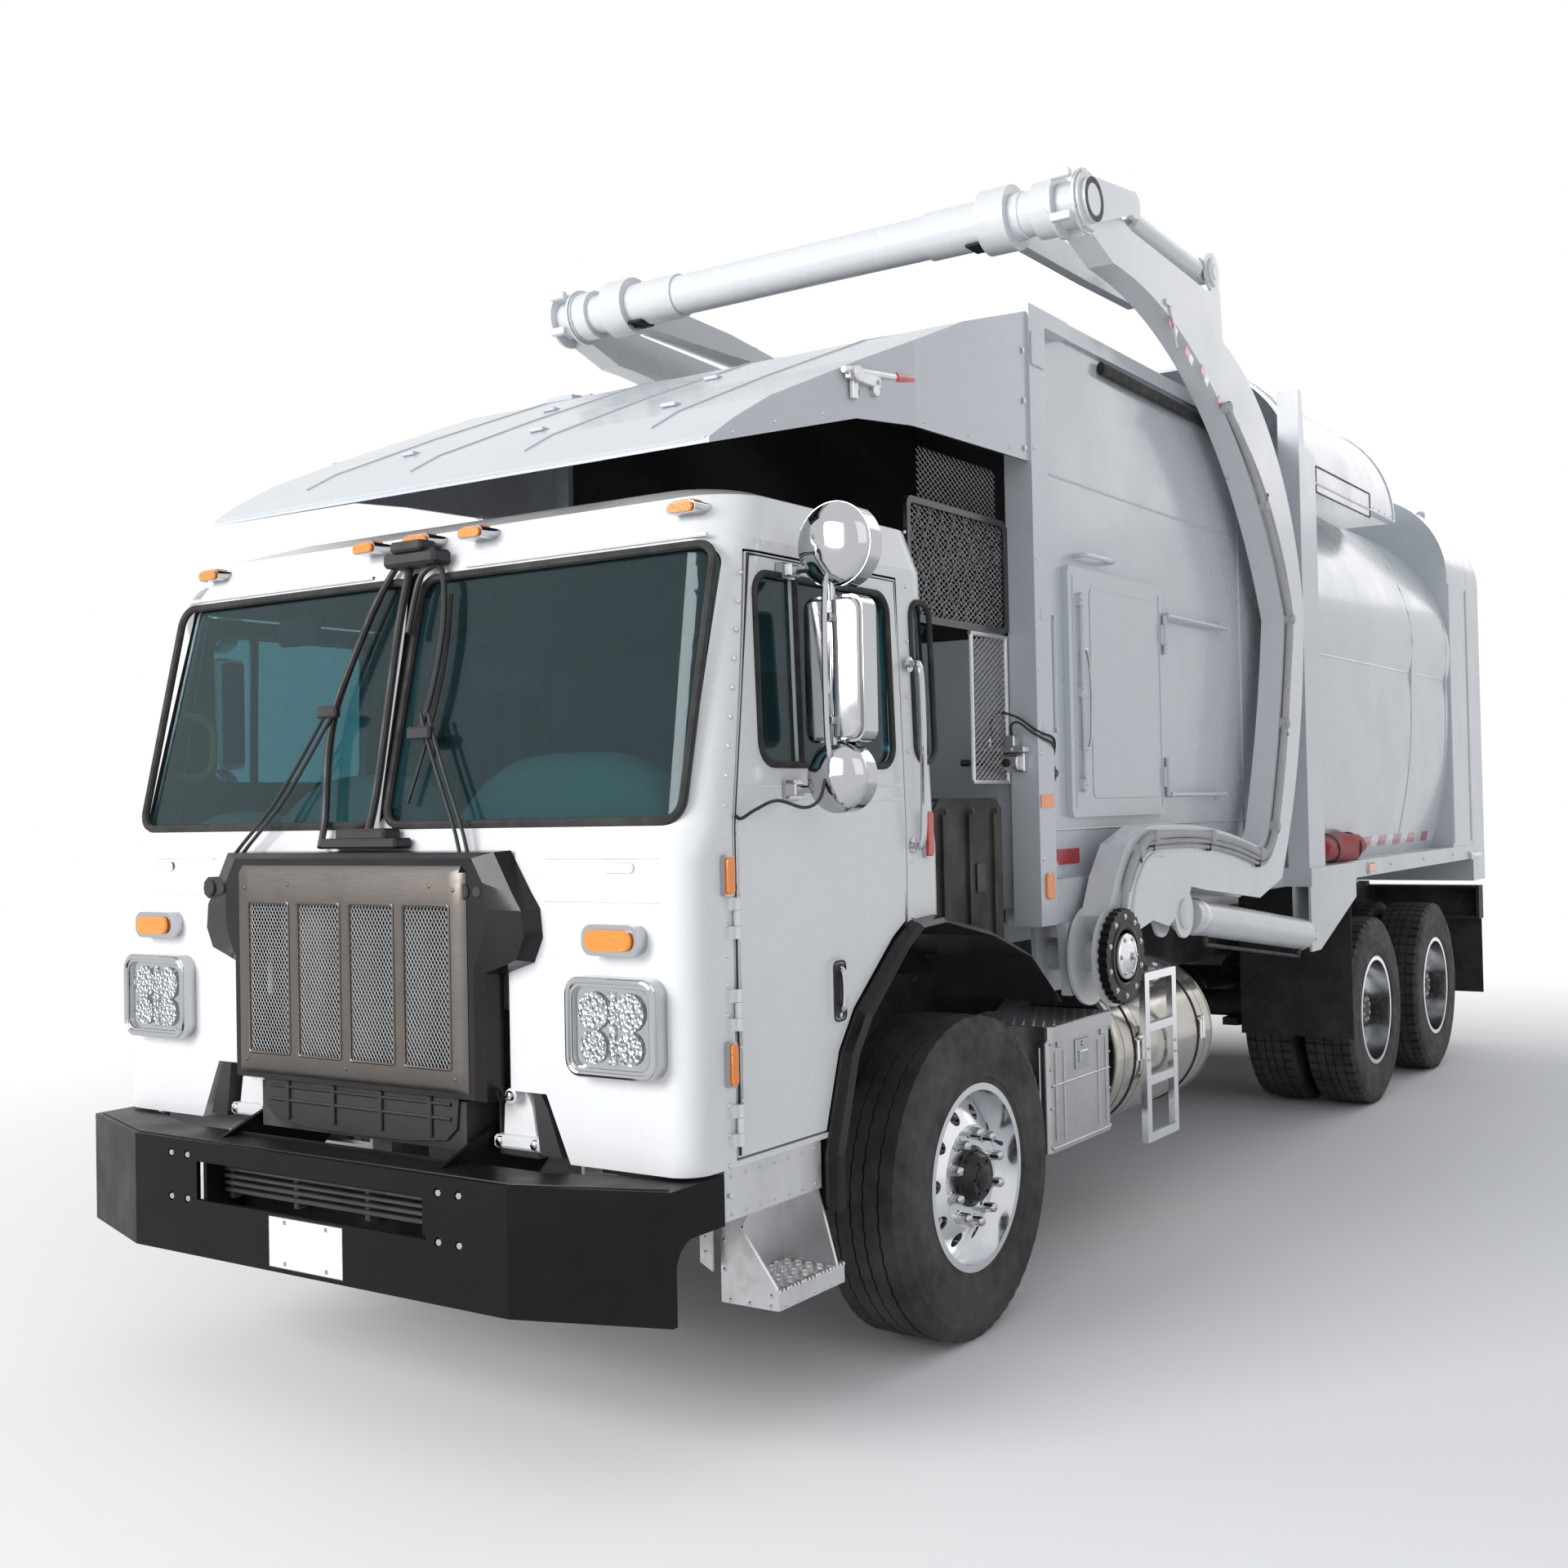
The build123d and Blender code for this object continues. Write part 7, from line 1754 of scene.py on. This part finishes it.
def build_seats():
    """Two padded seats on their boxes in place of the plain CAD seats, with piping, levers and belts."""
    hard, piping, belts, buckles = Shape(), Shape(), Shape(), Shape()
    first = None
    for side, word in ((1, "left"), (-1, "right")):
        x = side * 0.69
        made = cushion("seat_cushion_" + word, (x, 1.270, 1.582), (0.50, 0.47, 0.135), 0, (-0.52, 0.0, 0.52))
        cushion("seat_rest_" + word, (x, 1.432, 1.900), (0.48, 0.60, 0.120), 86, (-0.5, 0.0, 0.5))
        first = first or made
        hard.block((x - 0.17, x + 0.17), (1.20, 1.49), (1.215, 1.530), 0.012)
        hard.block((x - 0.21, x + 0.21), (1.08, 1.46), (1.515, 1.530), 0.006)
        hard.block((x - 0.19, x + 0.19), (1.478, 1.492), (1.56, 2.15), 0.006)
        hard.bar((x + side * 0.20, 1.12, 1.522), (x + side * 0.235, 1.02, 1.518), 0.008, 8, ease=0.002)
        for z in (1.27, 1.34, 1.41, 1.48):
            hard.block((x - 0.174, x + 0.174), (1.196, 1.20), (z - 0.012, z + 0.012), 0.003)
        loop = [(x + 0.246 * eased(math.cos(t), 0.38), 1.27 + 0.228 * eased(math.sin(t), 0.38), 1.583)
                for t in (2 * math.pi * k / 40 + 0.03 for k in range(40))]
        piping.tube(loop, 0.004, 6, loop=True)
        belts.tube(curve([(side * 1.135, 1.52, 2.30), (side * 1.05, 1.50, 2.18),
                          (x + side * 0.15, 1.40, 2.05), (x, 1.345, 1.86), (x - side * 0.18, 1.33, 1.68),
                          (x - side * 0.262, 1.36, 1.60)], 5), 0.0035, 6, flat=6.0)
        buckles.block((x - side * 0.275, x - side * 0.250), (1.33, 1.40), (1.50, 1.62), 0.006)
    hard.piece("seat_boxes", "black_plastic")
    piping.piece("seat_piping", "rubber")
    belts.piece("seat_belts", "belt")
    buckles.piece("belt_buckles", "black_plastic")
    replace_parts(first, "seats")


def hump(shape, x, y, z, rise):
    """Padded hood on the dash: a crowned pad that falls away to both sides."""
    rows = []
    middle, half = (x[0] + x[1]) / 2, (x[1] - x[0]) / 2
    for i in range(25):
        u = -1 + 2 * i / 24
        here = middle + u * half
        top = rise * max(0.0, 1 - abs(u) ** 3.2) ** 0.6
        row = []
        for k in range(13):
            turn = math.pi * k / 12
            row.append((here, y[0] + (y[1] - y[0]) * (0.5 - 0.5 * math.cos(turn)),
                        z + top * math.sin(turn) ** 0.7 + 0.001))
        rows.append(row + [(here, y[1], z - 0.02), (here, y[0], z - 0.02)])
    shape.rings(rows)


def build_dash_parts():
    """Gauges, vents, switches, glove box, column switches, wheel grips, pedals, lever and sun visors."""
    dark, bright, trim = Shape(), Shape(), Shape()
    for k in range(4):
        x = 0.44 + 0.113 * k
        face = (x, 0.6605, 1.545)
        bright.lathe(face, BEHIND, ((0.0, 0.050), (0.006, 0.050), (0.006, 0.044), (0.001, 0.044)))
        dark.lathe(face, BEHIND, ((0.0005, 0.044), (0.0015, 0.044), (0.0016, 0.0)))
        trim.prism([(x - 0.002, 1.545), (x + 0.002, 1.545), (x + 0.018, 1.575)], 1, 0.6623, 0.6634)
    dark.block((0.36, 0.86), (0.655, 0.668), (1.60, 1.628), 0.004)
    for row in range(2):
        for k in range(8):
            x = -0.10 + 0.038 * k
            z = 1.44 + 0.06 * row
            dark.block((x - 0.014, x + 0.014), (0.6600, 0.6660), (z, z + 0.035), 0.002)
    for x in (-0.95, -0.25, 0.25, 0.98):
        for k in range(4):
            dark.block((x - 0.06, x + 0.06), (0.660, 0.664), (1.535 + 0.019 * k, 1.545 + 0.019 * k), 0.001)
    dark.tube([(x, 0.662, z) for x, z in round_rect(-0.88, -0.38, 1.25, 1.50, 0.02, 4)], 0.003, 6, loop=True)
    dark.bar((-0.66, 0.66, 1.47), (-0.60, 0.672, 1.47), 0.008, 8, ease=0.002)
    dark.bar((-0.60, 0.672, 1.47), (-0.54, 0.66, 1.47), 0.008, 8, ease=0.002)
    for side in SIDES:
        trim.block((side * 0.25, side * 1.00), (0.715, 0.745), (2.515, 2.615), 0.008)
    hoods = Shape()
    hump(hoods, (0.20, 1.04), (0.365, 0.560), 1.638, 0.255)
    hump(hoods, (-0.60, 0.12), (0.365, 0.600), 1.638, 0.215)
    hump(hoods, (-1.06, -0.66), (0.365, 0.620), 1.638, 0.110)
    hoods.piece("dash_hoods", "dash", smooth=60)
    centre, tilt = Vector((0.61, 0.76, 1.66)), math.radians(-38)
    axis = Vector((0, math.sin(-tilt), math.cos(tilt)))
    up = Vector((0, math.cos(tilt), -math.sin(-tilt)))
    for turn in (20, 160, 200, 340):
        a = math.radians(turn)
        spot = centre + (Vector((math.cos(a), 0, 0)) + up * math.sin(a)) * 0.225
        aside = Vector((-math.sin(a), 0, 0)) + up * math.cos(a)
        dark.bar(spot - aside * 0.035, spot + aside * 0.035, 0.0185, 10, ease=0.004)
    dark.lathe(centre, axis, ((-0.01, 0.05), (0.016, 0.048), (0.022, 0.03), (0.024, 0.0)), 24)
    for side in (-1, 1):
        start = centre - axis * 0.06
        dark.bar(start, start + Vector((side * 0.17, 0.01, 0.02)), 0.007, 8, end=0.0095, ease=0.002)
    for x in (0.46, 0.62, 0.76):
        dark.bar((x, 0.50, 1.30), (x, 0.60, 1.215), 0.008, 8)
        dark.block((x - 0.032, x + 0.032), (0.595, 0.62), (1.185, 1.25), 0.006)
    dark.block((-0.30, 0.30), (1.05, 1.55), (1.4805, 1.490), 0.004)
    dark.bar((0.10, 0.95, 1.48), (0.13, 1.00, 1.74), 0.010, 10)
    dark.dome((0.13, 1.00, 1.735), UP, 0.024, 0.030, 16)
    dark.piece("dash_parts", "black_plastic")
    bright.piece("gauge_rims", "chrome")
    trim.piece("sun_visors", "dash")


# ---------------------------------------------------------------- stage, light and camera
CAMERA_AT = at(3.8178, -3.1004, 1.7288)
CAMERA_YAW = 32.9366
CAMERA_PITCH = 1.0503
CAMERA_ROLL = -1.1968
PICTURE = 1920.0
FOCAL_PIXELS = 2048.1
CENTRE_PIXEL = (1030.07, 948.57)
SENSOR = 36.0


def build_camera():
    """Camera that sees the truck as the picture does."""
    data = bpy.data.cameras.new("camera")
    camera = bpy.data.objects.new("camera", data)
    bpy.context.collection.objects.link(camera)
    turn = Matrix.Rotation(math.radians(CAMERA_YAW), 4, "Z")
    turn = turn @ Matrix.Rotation(math.radians(90 + CAMERA_PITCH), 4, "X")
    turn = turn @ Matrix.Rotation(math.radians(CAMERA_ROLL), 4, "Z")
    camera.matrix_world = Matrix.Translation(CAMERA_AT) @ turn
    data.sensor_width = SENSOR
    data.lens = FOCAL_PIXELS / PICTURE * SENSOR
    data.shift_x = (PICTURE / 2 - CENTRE_PIXEL[0]) / PICTURE
    data.shift_y = (CENTRE_PIXEL[1] - PICTURE / 2) / PICTURE
    data.clip_end = 200.0
    bpy.context.scene.camera = camera


def seen_ray(new, link):
    """1 for rays of the camera and for those that metal and glass send on."""
    path = new("ShaderNodeLightPath")
    total = path.outputs["Is Camera Ray"]
    for name in ("Is Glossy Ray", "Is Transmission Ray"):
        more = new("ShaderNodeMath")
        more.operation = "MAXIMUM"
        link(total, more.inputs[0])
        link(path.outputs[name], more.inputs[1])
        total = more.outputs[0]
    return total


FLOOR_HALF = 60.0
FLOOR_TONE = (0.95, 0.95, 0.95)
WHITE_FROM, WHITE_TO = 3.5, 8.5    # distance over which the floor fades to plain white
SKY_TONE, SKY_STRENGTH = (0.90, 0.94, 1.0, 1), 0.48
LAMPS = (                          # name, place, aim, size, power
    ("key_light", (-4.5, -13.0, 7.0), (0.0, 3.0, 1.5), 8.0, 2100.0),
    ("fill_light", (10.0, -5.0, 7.0), (0.0, 4.0, 1.5), 9.0, 130.0),
    ("back_light", (3.0, 16.0, 9.0), (0.0, 6.0, 2.0), 9.0, 250.0),
)


def build_floor():
    """Pale floor that shows white to the camera and keeps the shadow."""
    corners = [(i * FLOOR_HALF, j * FLOOR_HALF, 0) for i, j in ((-1, -1), (1, -1), (1, 1), (-1, 1))]
    mesh = bpy.data.meshes.new("floor")
    mesh.from_pydata(corners, [], [(0, 1, 2, 3)])
    floor = bpy.data.objects.new("floor", mesh)
    bpy.context.collection.objects.link(floor)
    g = Graph("pale_floor", FLOOR_TONE, 0.9)
    mapping = g.new("ShaderNodeMapping")
    mapping.inputs["Location"].default_value = (-1.6, 0.0, 0.0)
    g.link(g.coords, mapping.inputs["Vector"])
    far = g.new("ShaderNodeVectorMath")
    far.operation = "LENGTH"
    g.link(mapping.outputs["Vector"], far.inputs[0])
    fade = g.span(far.outputs["Value"], WHITE_FROM, WHITE_TO)
    glow = g.new("ShaderNodeEmission")
    amount = g.math("MULTIPLY", fade, seen_ray(g.new, g.link))
    blend = g.new("ShaderNodeMixShader")
    g.link(amount, blend.inputs[0])
    g.link(g.shader.outputs[0], blend.inputs[1])
    g.link(glow.outputs[0], blend.inputs[2])
    g.link(blend.outputs[0], g.tree.nodes["Material Output"].inputs["Surface"])
    mesh.materials.append(g.material)


def build_world():
    """Soft sky for the light, plain white where it is seen."""
    world = bpy.data.worlds.new("studio")
    bpy.context.scene.world = world
    world.use_nodes = True
    tree = world.node_tree
    tree.nodes.clear()
    output = tree.nodes.new("ShaderNodeOutputWorld")
    soft = tree.nodes.new("ShaderNodeBackground")
    seen = tree.nodes.new("ShaderNodeBackground")
    soft.inputs["Color"].default_value = SKY_TONE
    soft.inputs["Strength"].default_value = SKY_STRENGTH
    seen.inputs["Color"].default_value = (1, 1, 1, 1)
    seen.inputs["Strength"].default_value = 1.0
    mix = tree.nodes.new("ShaderNodeMixShader")
    tree.links.new(seen_ray(tree.nodes.new, tree.links.new), mix.inputs[0])
    tree.links.new(soft.outputs[0], mix.inputs[1])
    tree.links.new(seen.outputs[0], mix.inputs[2])
    tree.links.new(mix.outputs[0], output.inputs[0])


def build_lights():
    """Key, fill and back light, as soft squares."""
    for name, place, aim, width, power in LAMPS:
        data = bpy.data.lights.new(name, "AREA")
        data.size = width
        data.energy = power
        lamp = bpy.data.objects.new(name, data)
        bpy.context.collection.objects.link(lamp)
        spot = at(*place)
        lamp.location = spot
        lamp.rotation_euler = (at(*aim) - spot).to_track_quat("-Z", "Y").to_euler()


dress_frame()
build_grille()
build_windscreen()
build_cab_skin()
build_lamp_parts()
build_bumper_parts()
build_wheels()
build_doors()
build_cab_sides()
build_hopper_parts()
build_hatch_parts()
build_tape_and_seams()
build_hood_parts()
build_deck_parts()
build_canvas_roll()
build_gate_parts()
build_canopy_parts()
build_tube_clamps()
build_pivot_caps()
build_arm_hoses()
build_arm_marks()
build_fork_tube_parts()
build_cylinder_parts()
build_hub_drums()
build_tank_parts()
build_seats()
build_dash_parts()
build_camera()
build_floor()
build_world()
build_lights()

bpy.context.scene.view_settings.view_transform = "Standard"
